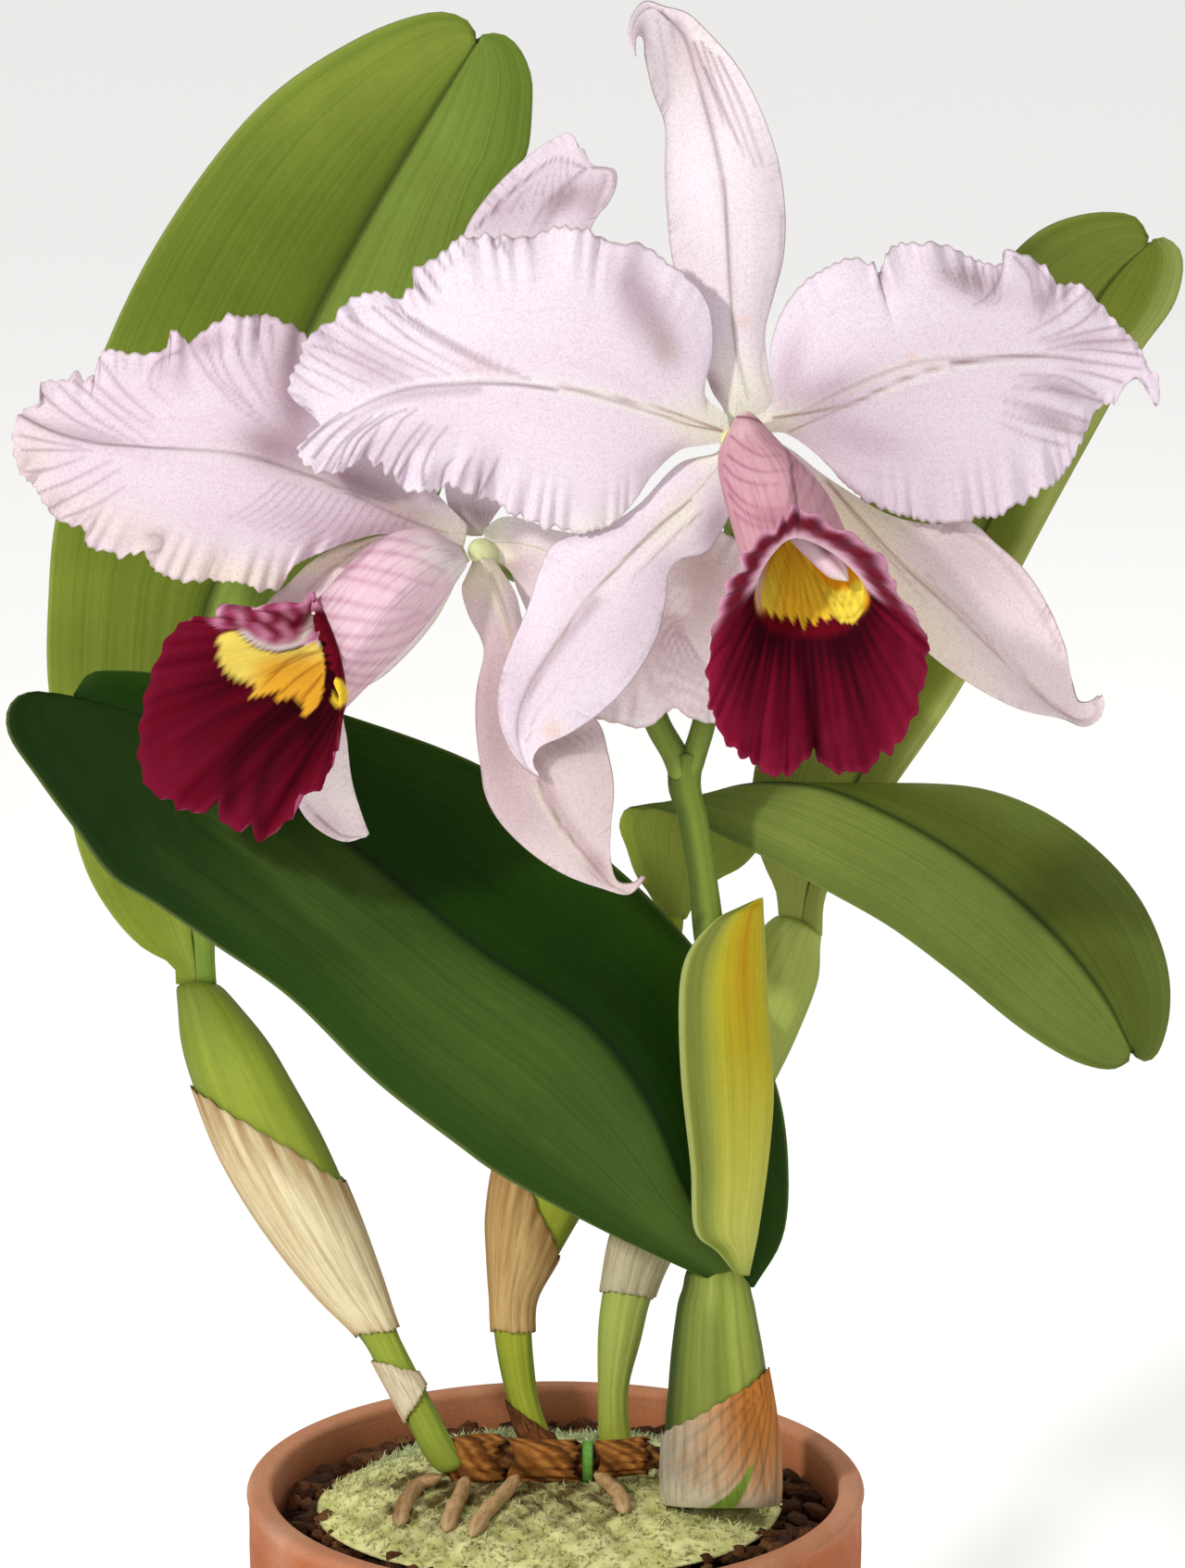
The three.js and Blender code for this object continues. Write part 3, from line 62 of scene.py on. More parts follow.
B_PETAL_LEFT = {"L":[[503,590],[470,582],[440,578],[407,577],[356,593],[316,613],[301,636],[269,634],[233,626],[198,628],[170,617],[154,597],[130,601],[95,585],[91,573],[59,559],[38,526],[26,516],[16,494],[15,466],[20,446]],"M":[[505,578],[460,556],[415,541],[336,514],[257,490],[150,482],[79,474],[22,446]],"R":[[506,568],[471,533],[430,490],[385,440],[345,390],[328,360],[304,346],[277,339],[245,342],[221,356],[206,369],[198,363],[186,355],[180,375],[158,382],[115,379],[105,393],[99,409],[79,404],[63,413],[45,415],[42,435],[24,442]],"dm":[18,20,21,20,18,15,12],"dl":[0,-1,-2,-2,-1,0,0],"dr":[-1,-3,-4,-4,-3,-2,0],"bul":[1.2,1.2],"th":0.9}
B_PETAL_RIGHT = {"L":[[533,604],[550,616],[560,639],[571,664],[600,725],[644,775],[668,781],[679,785],[706,781],[729,764],[741,773],[770,781],[812,776],[845,745],[852,722]],"M":[[524,586],[560,586],[600,598],[680,640],[760,690],[853,716]],"R":[[520,572],[546,558],[601,573],[650,579],[700,574],[745,568],[781,574],[800,587],[835,640],[850,700],[854,710]],"dm":[16,15,14,13,12,12],"dl":[0,1,1,0,0,0],"dr":[-1,-2,-2,-2,-1,0],"bul":[0.8,0.8],"th":0.9}
B_SEPAL_RIGHT = {"L":[[512,604],[503,624],[499,634],[506,663],[520,690],[523,704],[515,745],[514,783],[520,833],[524,857],[539,886],[574,921],[612,945],[647,958],[679,966],[692,954],[697,946]],"M":[[521,602],[530,626],[550,684],[570,780],[588,863],[621,921],[655,955],[684,958],[697,946]],"R":[[529,600],[540,614],[556,640],[566,676],[590,720],[647,781],[656,810],[663,848],[660,892],[660,930],[668,952],[684,953],[694,945]],"dm":[20,22,24,25,25,24,24],"dl":[-1,-1,-2,-2,-1,0,0],"dr":[-1,-2,-3,-3,-2,0,0],"bul":[1,1],"th":1.1}
B_SEPAL_LEFT = {"L":[[500,584],[488,583],[450,578],[418,577],[345,600],[309,632],[288,652],[284,700],[300,790],[322,870],[340,893],[372,909],[396,903]],"M":[[503,594],[490,600],[440,622],[385,680],[350,750],[345,820],[365,880],[399,902]],"R":[[508,604],[500,614],[470,670],[420,725],[372,760],[375,800],[381,846],[398,900]],"dm":[16,14,12,11,11,12],"dl":[-1,-1,-1,-1,0,0],"dr":[-1,-1,-1,-1,0,0],"bul":[0.8,0.8],"th":1.1}
# Tubes: each station is [left u, left v, right u, right v, depth]
PB_LEFT = [[189,1060,234,1058,-25],[191,1085,258,1084,-23],[197,1130,290,1125,-20],[212,1180,318,1172,-17],[240,1250,352,1234,-14],[285,1325,383,1305,-11],[340,1395,408,1375,-8],[388,1443,426,1430,-5],[410,1480,443,1468,-2],[437,1530,470,1520,0],[458,1572,492,1560,2],[477,1594,505,1582,3]]
PB_MIDDLE = [[717,987,740,987,-12],[705,1015,737,1012,-13],[672,1070,722,1085,-15],[625,1130,700,1160,-16],[575,1190,672,1230,-16],[540,1245,645,1285,-14],[528,1308,622,1322,-12],[529,1359,598,1365,-10],[532,1403,577,1403,-8],[534,1438,574,1438,-7],[542,1483,577,1483,-6],[550,1515,583,1515,-5],[560,1545,594,1545,-4],[570,1563,602,1561,-3]]
PB_BACK = [[846,984,889,1007,-20],[826,998,887,1023,-20],[800,1035,883,1060,-20],[775,1090,862,1115,-19],[748,1150,838,1165,-18],[718,1215,800,1238,-17],[685,1280,757,1308,-15],[662,1333,722,1359,-13],[652,1389,703,1403,-11],[647,1435,692,1445,-9],[646,1499,679,1499,-8],[646,1540,681,1540,-7],[648,1562,686,1560,-6]]
PB_FRONT = [[766,1350,802,1362,0],[744,1368,808,1380,2],[738,1390,812,1398,4],[731,1415,817,1420,5],[724,1473,826,1470,7],[719,1531,835,1524,8],[716,1588,840,1580,9],[717,1612,840,1612,10],[722,1627,836,1627,10]]
PEDUNCLE = [[722,812,762,812,8],[722,851,757,847,8],[732,883,765,886,8.5],[744,951,773,938,9],[748,1000,781,995,9.5],[756,1060,788,1060,10],[765,1130,795,1130,10.5],[776,1220,804,1220,11.3],[785,1310,809,1310,11.3]]
SPATHE = [[797,1380,809,1380,8.5],[775,1352,815,1352,10.5],[750,1328,820,1326,11.5],[746,1261,830,1255,11.5],[736,1170,836,1183,11],[733,1096,833,1124,10.5],[736,1050,829,1065,10],[748,1020,827,1020,9.5],[778,990,825,975,9]]
# Round stems: stations [u, v, depth, radius in drawing units]
PEDICEL_A = [[753,808,8,9],[760,782,8,12],[772,720,3,11],[786,640,1,11],[794,560,8,11],[795,500,24,12],[789,468,37.5,13]]
PEDICEL_B = [[731,810,8,9],[712,785,8,13],[690,730,7,11],[640,665,6,11],[580,625,7,12],[535,602,12,16],[512,590,22,20]]
COLUMN_A = [[806,462,43,8],[822,510,48,13],[850,556,56,14],[884,594,62,14],[916,627,65,11]]
COLUMN_B = [[494,602,22,8],[460,608,24,13],[425,626,25,14],[390,650,26,14],[360,672,27,11]]
ROOT_PATHS = [[[478,1594],[455,1602],[440,1618],[430,1648]],[[504,1594],[498,1612],[488,1634],[481,1654]],[[560,1592],[545,1612],[524,1634],[508,1660]],[[640,1588],[655,1600],[670,1616],[674,1634]]]
RHIZOME = [[476,1571,476,1583,-1],[486,1557,488,1598,-1],[520,1553,516,1603,-1],[560,1557,560,1600,-1],[600,1560,600,1597,0],[632,1560,632,1596,0],[665,1559,665,1590,2],[695,1557,695,1586,4],[716,1562,716,1588,6]]
# Lips: rings of [angle, u, v, depth] from the hub to the frilled rim
LIP_A = [[[0,806,445,43],[90,795,453,41],[180,804,463,39],[270,817,453,41]],[[0,815,467,49.5],[90,777,495,45],[180,809,517,40.5],[270,848,489,45]],[[0,846,511,60.5],[90,787,550,54],[180,838,585,47.5],[270,896,543,54]],[[0,860,580,69],[45,832,600,67.5],[90,816,636,64],[135,828,672,60],[180,868,684,57],[225,915,676,60],[270,938,640,64],[315,905,600,67.5]],[[0,858,548,72],[20,835,572,72],[40,806,592,70],[55,800,614,69],[65,784,635,68],[75,778,655,68],[90,767,700,68],[105,766,750,67],[120,772,781,66],[135,795,812,64],[150,822,831,62],[165,850,837,61],[180,877,816,60],[195,898,831,60],[210,930,833,61],[225,960,814,63],[240,982,785,65],[255,998,735,67],[270,1001,693,68],[285,986,661,69],[295,967,637,70],[305,962,618,71],[320,942,591,72],[335,913,575,73],[350,880,556,73]]]
LIP_B = [[[0,492,589,21],[90,488,600,17],[180,502,612,21],[270,500,600,25]],[[0,455,571,24],[90,462,606,14],[180,482,642,24],[270,472,606,33]],[[0,400,590,26],[90,415,636,14],[180,447,688,27],[270,428,640,39]],[[0,343,652,26],[90,325,692,15],[180,370,765,30],[270,368,712,41]],[[0,338,642,26],[20,328,648,22],[35,285,656,18],[50,245,654,15],[60,227,668,14],[70,206,668,14],[80,182,688,15],[95,160,740,18],[110,150,800,22],[120,155,845,25],[130,186,870,28],[145,214,879,31],[155,237,872,32],[165,257,905,33],[175,290,905,34],[185,316,881,36],[195,324,860,37],[205,344,854,38],[220,362,815,40],[235,366,790,41],[250,367,765,42.5],[270,362,728,43.5],[300,350,694,39],[330,338,665,32]]]

# strokes [width, strength, colour, points]: veins, lines of painted shade along folds and beside the midrib, hatched
# painted shade, and pale lines along the midrib; areas [u, v, half width, half height, turn, strength, colour]: mostly
# painted shade, some the cream or pink of the tissue itself
MARK_A_LEFT = [[1.5, 0.84, "#A58C7C", [[779.4, 464.1], [705.4, 439.0], [631.4, 422.7], [598.1, 417.9]]], [1.5, 0.84, "#A58C7C", [[779.4, 464.9], [738.7, 456.7], [698.0, 441.9]]], [2.0, 0.72, "#867078", [[601.8, 419.7], [538.9, 413.8], [487.1, 414.6], [442.8, 419.7], [405.8, 431.6], [376.2, 446.4], [346.6, 464.9], [322.5, 486.3]]], [5.5, 0.47, "#A88F9A", [[516.7, 419.7], [442.8, 427.1], [402.1, 441.9], [372.5, 460.4], [346.6, 478.9]]], [2.4, 0.77, "#F6F0F2", [[601.8, 415.3], [538.9, 408.7], [487.1, 409.4], [442.8, 413.1], [405.8, 424.2], [376.2, 439.0]]], [1.7, 0.69, "#A88F9A", [[318.8, 405.0], [342.9, 419.7], [359.5, 427.1]]], [1.7, 0.69, "#A88F9A", [[320.7, 392.0], [357.7, 408.7], [379.9, 421.6]]], [1.7, 0.69, "#A88F9A", [[329.9, 379.1], [368.8, 401.3], [402.1, 416.0]]], [1.7, 0.69, "#A88F9A", [[335.5, 371.7], [376.2, 386.5], [428.0, 412.4]]], [1.7, 0.69, "#A88F9A", [[346.6, 358.7], [391.0, 382.8], [446.5, 410.5]]], [1.7, 0.69, "#A88F9A", [[363.2, 347.6], [405.8, 375.4], [472.4, 406.8]]], [1.7, 0.69, "#A88F9A", [[376.2, 342.1], [424.3, 371.7], [487.1, 405.0]]], [1.7, 0.69, "#A88F9A", [[402.1, 331.0], [446.5, 368.0], [509.3, 401.3]]], [1.7, 0.69, "#A88F9A", [[416.9, 331.0], [465.0, 364.3], [538.9, 401.3]]], [1.7, 0.69, "#A88F9A", [[442.8, 342.1], [487.1, 368.0], [531.5, 390.2], [561.1, 403.1]]], [2.0, 0.68, "#867078", [[428.0, 325.4], [442.8, 343.9], [487.1, 371.7], [538.9, 397.6], [572.2, 408.7]]], [1.8, 0.84, "#867078", [[448.3, 306.9], [468.7, 327.3]]], [1.8, 0.84, "#867078", [[442.8, 299.5], [465.0, 329.1]]], [1.8, 0.84, "#867078", [[457.6, 290.3], [476.0, 314.3]]], [1.8, 0.84, "#867078", [[472.4, 279.2], [481.6, 292.1]]], [1.8, 0.84, "#867078", [[481.6, 269.9], [490.8, 286.6]]], [1.8, 0.84, "#867078", [[496.4, 262.5], [503.8, 277.3]]], [1.8, 0.84, "#867078", [[509.3, 255.1], [516.7, 268.1]]], [1.8, 0.84, "#867078", [[529.7, 257.0], [535.2, 268.1], [544.5, 260.7]]], [1.8, 0.84, "#867078", [[540.8, 257.0], [548.2, 275.5]]], [1.8, 0.84, "#867078", [[553.7, 257.0], [557.4, 266.2]]], [1.8, 0.84, "#867078", [[568.5, 249.6], [572.2, 268.1]]], [1.8, 0.84, "#867078", [[653.6, 258.8], [657.3, 255.1], [672.1, 259.9]]], [1.9, 0.76, "#867078", [[326.2, 484.5], [346.6, 464.1], [368.8, 445.6]]], [1.9, 0.76, "#867078", [[339.2, 493.7], [357.7, 471.5], [383.6, 449.3]]], [1.9, 0.76, "#867078", [[350.3, 508.5], [368.8, 478.9], [402.1, 449.3]]], [1.9, 0.76, "#867078", [[365.1, 508.5], [378.0, 475.2], [416.9, 445.6]]], [1.9, 0.76, "#867078", [[379.9, 490.0], [391.0, 471.5], [420.6, 449.3], [439.1, 441.9]]], [1.9, 0.76, "#867078", [[391.0, 493.7], [398.4, 478.9], [409.5, 460.4]]], [1.9, 0.76, "#867078", [[405.8, 501.1], [420.6, 475.2], [435.4, 453.0], [450.2, 441.9]]], [1.9, 0.76, "#867078", [[420.6, 510.4], [439.1, 478.9], [457.6, 456.7]]], [1.9, 0.76, "#867078", [[428.0, 515.9], [446.5, 486.3], [465.0, 460.4]]], [1.9, 0.76, "#867078", [[457.6, 523.3], [457.6, 504.8], [468.7, 478.9], [483.4, 460.4]]], [1.9, 0.76, "#867078", [[476.0, 523.3], [479.7, 504.8], [490.8, 493.7]]], [1.9, 0.76, "#867078", [[494.5, 527.0], [501.9, 504.8], [509.3, 493.7]]], [1.9, 0.76, "#867078", [[513.0, 534.4], [522.3, 508.5]]], [1.9, 0.76, "#867078", [[516.7, 538.1], [527.8, 515.9], [538.9, 493.7]]]]
SPOT_A_LEFT = [[698.0, 334.7, 22.2, 55.5, -28, 0.74, "#A88F9A"], [718.3, 375.4, 14.8, 22.2, -20, 0.47, "#A58C7C"], [679.5, 308.8, 22.2, 40.7, -15, 0.41, "#BDA4B3"], [516.7, 512.2, 14.8, 29.6, 15, 0.47, "#A88F9A"], [402.1, 393.9, 66.6, 22.2, 28, 0.54, "#BDA4B3"], [516.7, 393.9, 22.2, 11.1, 20, 0.27, "#D9A08E"], [435.4, 475.2, 59.2, 18.5, -20, 0.34, "#BDA4B3"], [649.9, 564.0, 55.5, 14.8, -12, 0.41, "#F2EFDD"], [738.7, 490.0, 33.3, 11.1, -20, 0.61, "#BDA4B3"], [753.5, 456.7, 40.7, 25.9, 15, 0.92, "#F2EFDD"]]
MARK_A_RIGHT = [[1.6, 0.9, "#A58C7C", [[835.9, 451.0], [884.9, 442.9], [921.6, 434.7], [950.2, 420.4], [1007.3, 398.0], [1068.6, 386.9], [1129.8, 383.7]]], [1.3, 0.67, "#A58C7C", [[852.2, 465.3], [884.9, 451.0], [925.7, 432.7]]], [2.6, 0.68, "#867078", [[1027.8, 392.7], [1068.6, 386.9], [1129.8, 384.5], [1178.8, 390.6], [1231.8, 398.0]]], [2.6, 0.68, "#F6F1EC", [[950.2, 426.5], [1007.3, 404.1], [1068.6, 392.7], [1129.8, 390.2]]], [1.9, 0.69, "#A88F9A", [[1231.8, 383.7], [1182.9, 377.6], [1150.2, 377.6]]], [1.9, 0.69, "#A88F9A", [[1227.8, 367.3], [1170.6, 369.4], [1129.8, 377.6]]], [1.9, 0.69, "#A88F9A", [[1215.5, 351.0], [1170.6, 359.2], [1129.8, 369.4]]], [1.9, 0.69, "#A88F9A", [[1191.0, 326.5], [1162.4, 351.0], [1121.6, 367.3]]], [1.9, 0.69, "#A88F9A", [[1174.7, 314.3], [1146.1, 338.8], [1109.4, 359.2]]], [1.9, 0.69, "#A88F9A", [[1158.4, 310.2], [1142.0, 326.5]]], [1.9, 0.69, "#A88F9A", [[1115.5, 281.6], [1133.9, 310.2], [1121.6, 346.9]]], [1.9, 0.69, "#A88F9A", [[1095.1, 277.6], [1109.4, 293.9], [1117.6, 326.5]]], [1.9, 0.69, "#A88F9A", [[1182.9, 424.5], [1150.2, 408.2], [1101.2, 404.1]]], [1.9, 0.69, "#A88F9A", [[1189.0, 432.7], [1138.0, 420.4], [1093.1, 418.4]]], [1.9, 0.69, "#A88F9A", [[1178.8, 457.1], [1129.8, 440.8], [1084.9, 432.7]]], [1.9, 0.69, "#A88F9A", [[1170.6, 469.4], [1121.6, 457.1], [1080.8, 444.9]]], [1.9, 0.69, "#A88F9A", [[1150.2, 481.6], [1109.4, 469.4], [1080.8, 457.1]]], [1.9, 0.69, "#A88F9A", [[1211.4, 412.2], [1182.9, 404.1], [1150.2, 398.0]]], [2.2, 0.72, "#867078", [[942.9, 281.6], [948.6, 293.9], [949.0, 312.7]]], [2.2, 0.68, "#867078", [[1084.9, 273.5], [1080.0, 300.0], [1064.5, 322.4], [1052.2, 328.6]]], [1.0, 0.56, "#867078", [[1017.6, 290.6], [1027.8, 304.1], [1038.0, 314.3]]], [1.0, 0.56, "#867078", [[1024.9, 290.2], [1034.3, 306.5], [1041.6, 316.3]]], [1.0, 0.56, "#867078", [[1032.2, 289.8], [1040.8, 309.0], [1045.3, 318.4]]], [1.0, 0.56, "#867078", [[1039.6, 289.4], [1047.3, 311.4], [1049.0, 320.4]]], [1.0, 0.56, "#867078", [[1046.9, 289.0], [1053.9, 313.9], [1052.7, 322.4]]], [1.0, 0.56, "#867078", [[1054.3, 288.6], [1060.4, 316.3], [1056.3, 324.5]]], [1.0, 0.56, "#867078", [[1061.6, 288.2], [1066.9, 318.8], [1060.0, 326.5]]], [1.0, 0.56, "#867078", [[1069.0, 287.8], [1073.5, 321.2], [1063.7, 328.6]]], [1.0, 0.56, "#867078", [[1076.3, 287.3], [1080.0, 323.7], [1067.3, 330.6]]]]
SPOT_A_RIGHT = [[1050.2, 304.1, 40.8, 17.1, 18, 0.74, "#A88F9A"], [1127.8, 320.4, 13.1, 20.4, 20, 0.68, "#A88F9A"], [893.1, 424.5, 53.1, 22.4, -22, 0.68, "#BDA4B3"], [852.2, 400.0, 16.3, 44.9, 12, 0.54, "#BDA4B3"], [1146.1, 420.4, 32.7, 9.0, 18, 0.68, "#A88F9A"], [1138.0, 453.1, 36.7, 9.8, 22, 0.68, "#A88F9A"], [1182.9, 369.4, 44.9, 9.0, 2, 0.54, "#BDA4B3"], [835.9, 457.1, 36.7, 20.4, -15, 0.92, "#F2EFDD"], [925.7, 469.4, 61.2, 20.4, 20, 0.41, "#BDA4B3"], [984.9, 385.7, 5.7, 5.7, 0, 0.41, "#E9B79E"]]
MARK_A_DORSAL = [[2.2, 0.72, "#867078", [[713.5, 10.2], [738.0, 36.7], [750.2, 73.5], [766.5, 134.7], [780.8, 195.9], [784.9, 244.9], [789.0, 318.4], [795.1, 375.5], [807.3, 428.6]]], [7.0, 0.51, "#A88F9A", [[731.8, 24.5], [748.2, 53.1], [758.4, 81.6], [770.6, 134.7]]], [4.0, 0.38, "#A88F9A", [[780.8, 195.9], [786.1, 253.1], [790.2, 318.4]]], [1.7, 0.67, "#867078", [[758.4, 44.9], [778.8, 106.1], [803.3, 167.3]]], [1.7, 0.67, "#867078", [[766.5, 53.1], [791.0, 114.3], [815.5, 179.6]]], [1.7, 0.67, "#867078", [[776.7, 61.2], [803.3, 118.4], [823.7, 179.6]]], [1.7, 0.67, "#867078", [[762.4, 73.5], [782.9, 122.4], [799.2, 155.1]]], [1.7, 0.67, "#867078", [[750.2, 44.9], [770.6, 98.0], [782.9, 134.7]]], [3.5, 0.42, "#A88F9A", [[716.7, 130.6], [720.0, 195.9], [721.6, 261.2], [726.5, 285.7]]], [2.5, 0.38, "#A88F9A", [[844.1, 228.6], [842.0, 285.7], [829.8, 346.9], [821.6, 391.8], [831.8, 432.7]]], [1.5, 0.39, "#A88F9A", [[709.4, 20.4], [717.6, 65.3], [721.6, 106.1]]], [1.5, 0.39, "#A88F9A", [[723.7, 24.5], [731.8, 69.4]]]]
SPOT_A_DORSAL = [[689.0, 36.7, 10.6, 20.4, 10, 0.68, "#A88F9A"], [803.3, 346.9, 7.3, 7.3, 0, 0.41, "#E9B79E"], [803.3, 420.4, 36.7, 36.7, 0, 0.81, "#F2EFDD"], [746.1, 61.2, 24.5, 40.8, 20, 0.34, "#EFDDCB"], [770.6, 416.3, 8.2, 20.4, -20, 0.81, "#A88F9A"]]
MARK_A_SLEFT = [[1.6, 0.9, "#A58C7C", [[745.5, 540.0], [702.9, 575.2], [656.0, 623.6], [620.8, 666.1], [591.5, 707.2], [568.0, 746.8], [558.3, 780.5], [562.1, 809.9], [570.9, 833.3]]], [2.0, 0.77, "#F5F2E4", [[752.8, 545.9], [711.7, 584.0], [667.7, 628.0], [644.3, 654.4]]], [1.3, 0.67, "#A58C7C", [[758.7, 551.7], [720.5, 586.9], [679.5, 628.0]]], [6.5, 0.55, "#A88F9A", [[644.3, 648.5], [609.1, 692.5], [579.7, 730.7], [565.1, 762.9], [560.7, 789.3]]], [2.4, 0.42, "#A88F9A", [[714.7, 660.3], [708.8, 677.9], [697.1, 704.3], [667.7, 739.5]]], [3.5, 0.42, "#A88F9A", [[540.1, 727.7], [537.2, 757.1], [544.5, 792.3], [559.2, 818.7]]], [1.4, 0.5, "#A88F9A", [[568.0, 757.1], [576.8, 742.4], [597.3, 716.0]]], [1.4, 0.5, "#A88F9A", [[573.9, 783.5], [585.6, 762.9], [603.2, 739.5]]], [1.4, 0.5, "#A88F9A", [[568.0, 801.1], [576.8, 786.4]]]]
SPOT_A_SLEFT = [[773.3, 566.4, 17.6, 32.3, 15, 0.74, "#A88F9A"], [732.3, 557.6, 20.5, 35.2, 40, 0.74, "#F2EFDD"], [597.3, 787.9, 11.1, 11.1, 0, 0.47, "#E9C08C"], [632.5, 575.2, 46.9, 8.8, -10, 0.47, "#BDA4B3"], [553.3, 730.7, 17.6, 46.9, 15, 0.34, "#BDA4B3"]]
# on flower B's right sepal the short hatch strokes near u 590-650, v 785-815 and the area at 606, 804 paint the shadow
# of flower A's sepal; the broad areas down its left side are painted shade
MARK_B_SRIGHT = [[1.8, 0.95, "#A58C7C", [[582.7, 842.1], [591.5, 865.6], [612.0, 897.9], [638.4, 930.1], [661.9, 956.5], [679.5, 965.3]]], [7.0, 0.51, "#A88F9A", [[581.2, 821.6], [591.5, 850.9], [609.1, 883.2], [635.5, 918.4], [656.0, 947.7]]], [2.5, 0.68, "#F3EBE4", [[576.8, 850.9], [597.3, 889.1], [626.7, 930.1], [647.2, 955.1]]], [2.0, 0.59, "#A58C7C", [[529.9, 619.2], [543.1, 651.5], [553.3, 686.7]]], [4.0, 0.59, "#F2EFDD", [[524.0, 628.0], [540.1, 663.2], [551.9, 698.4]]], [2.5, 0.51, "#A88F9A", [[543.1, 613.3], [557.7, 628.0], [560.7, 645.6], [569.5, 648.5]]], [1.1, 0.56, "#A88F9A", [[591.5, 798.1], [592.9, 815.7]]], [1.1, 0.56, "#A88F9A", [[596.7, 797.0], [598.2, 814.3]]], [1.1, 0.56, "#A88F9A", [[602.0, 795.8], [603.5, 812.8]]], [1.1, 0.56, "#A88F9A", [[607.3, 794.6], [608.8, 811.3]]], [1.1, 0.56, "#A88F9A", [[612.6, 793.4], [614.1, 809.9]]], [1.1, 0.56, "#A88F9A", [[617.9, 792.3], [619.3, 808.4]]], [1.1, 0.56, "#A88F9A", [[623.2, 791.1], [624.6, 806.9]]], [1.1, 0.56, "#A88F9A", [[628.4, 789.9], [629.9, 805.5]]], [1.1, 0.56, "#A88F9A", [[633.7, 788.8], [635.2, 804.0]]], [1.1, 0.56, "#A88F9A", [[639.0, 787.6], [640.5, 802.5]]], [1.1, 0.56, "#A88F9A", [[644.3, 786.4], [645.7, 801.1]]], [1.1, 0.56, "#A88F9A", [[649.6, 785.2], [651.0, 799.6]]], [3.0, 0.51, "#A88F9A", [[519.6, 692.5], [515.2, 745.3], [513.7, 804.0], [524.0, 856.8]]]]
SPOT_B_SRIGHT = [[535.7, 804.0, 26.4, 76.3, -8, 0.68, "#A88F9A"], [529.9, 727.7, 14.7, 58.7, 5, 0.54, "#BDA4B3"], [606.1, 804.0, 35.2, 17.6, -18, 0.74, "#A88F9A"], [568.0, 877.3, 26.4, 44.0, -30, 0.47, "#BDA4B3"], [644.3, 936.0, 11.7, 17.6, -30, 0.54, "#A88F9A"], [626.7, 856.8, 23.5, 44.0, -10, -0.0, "#F2EFDD"]]
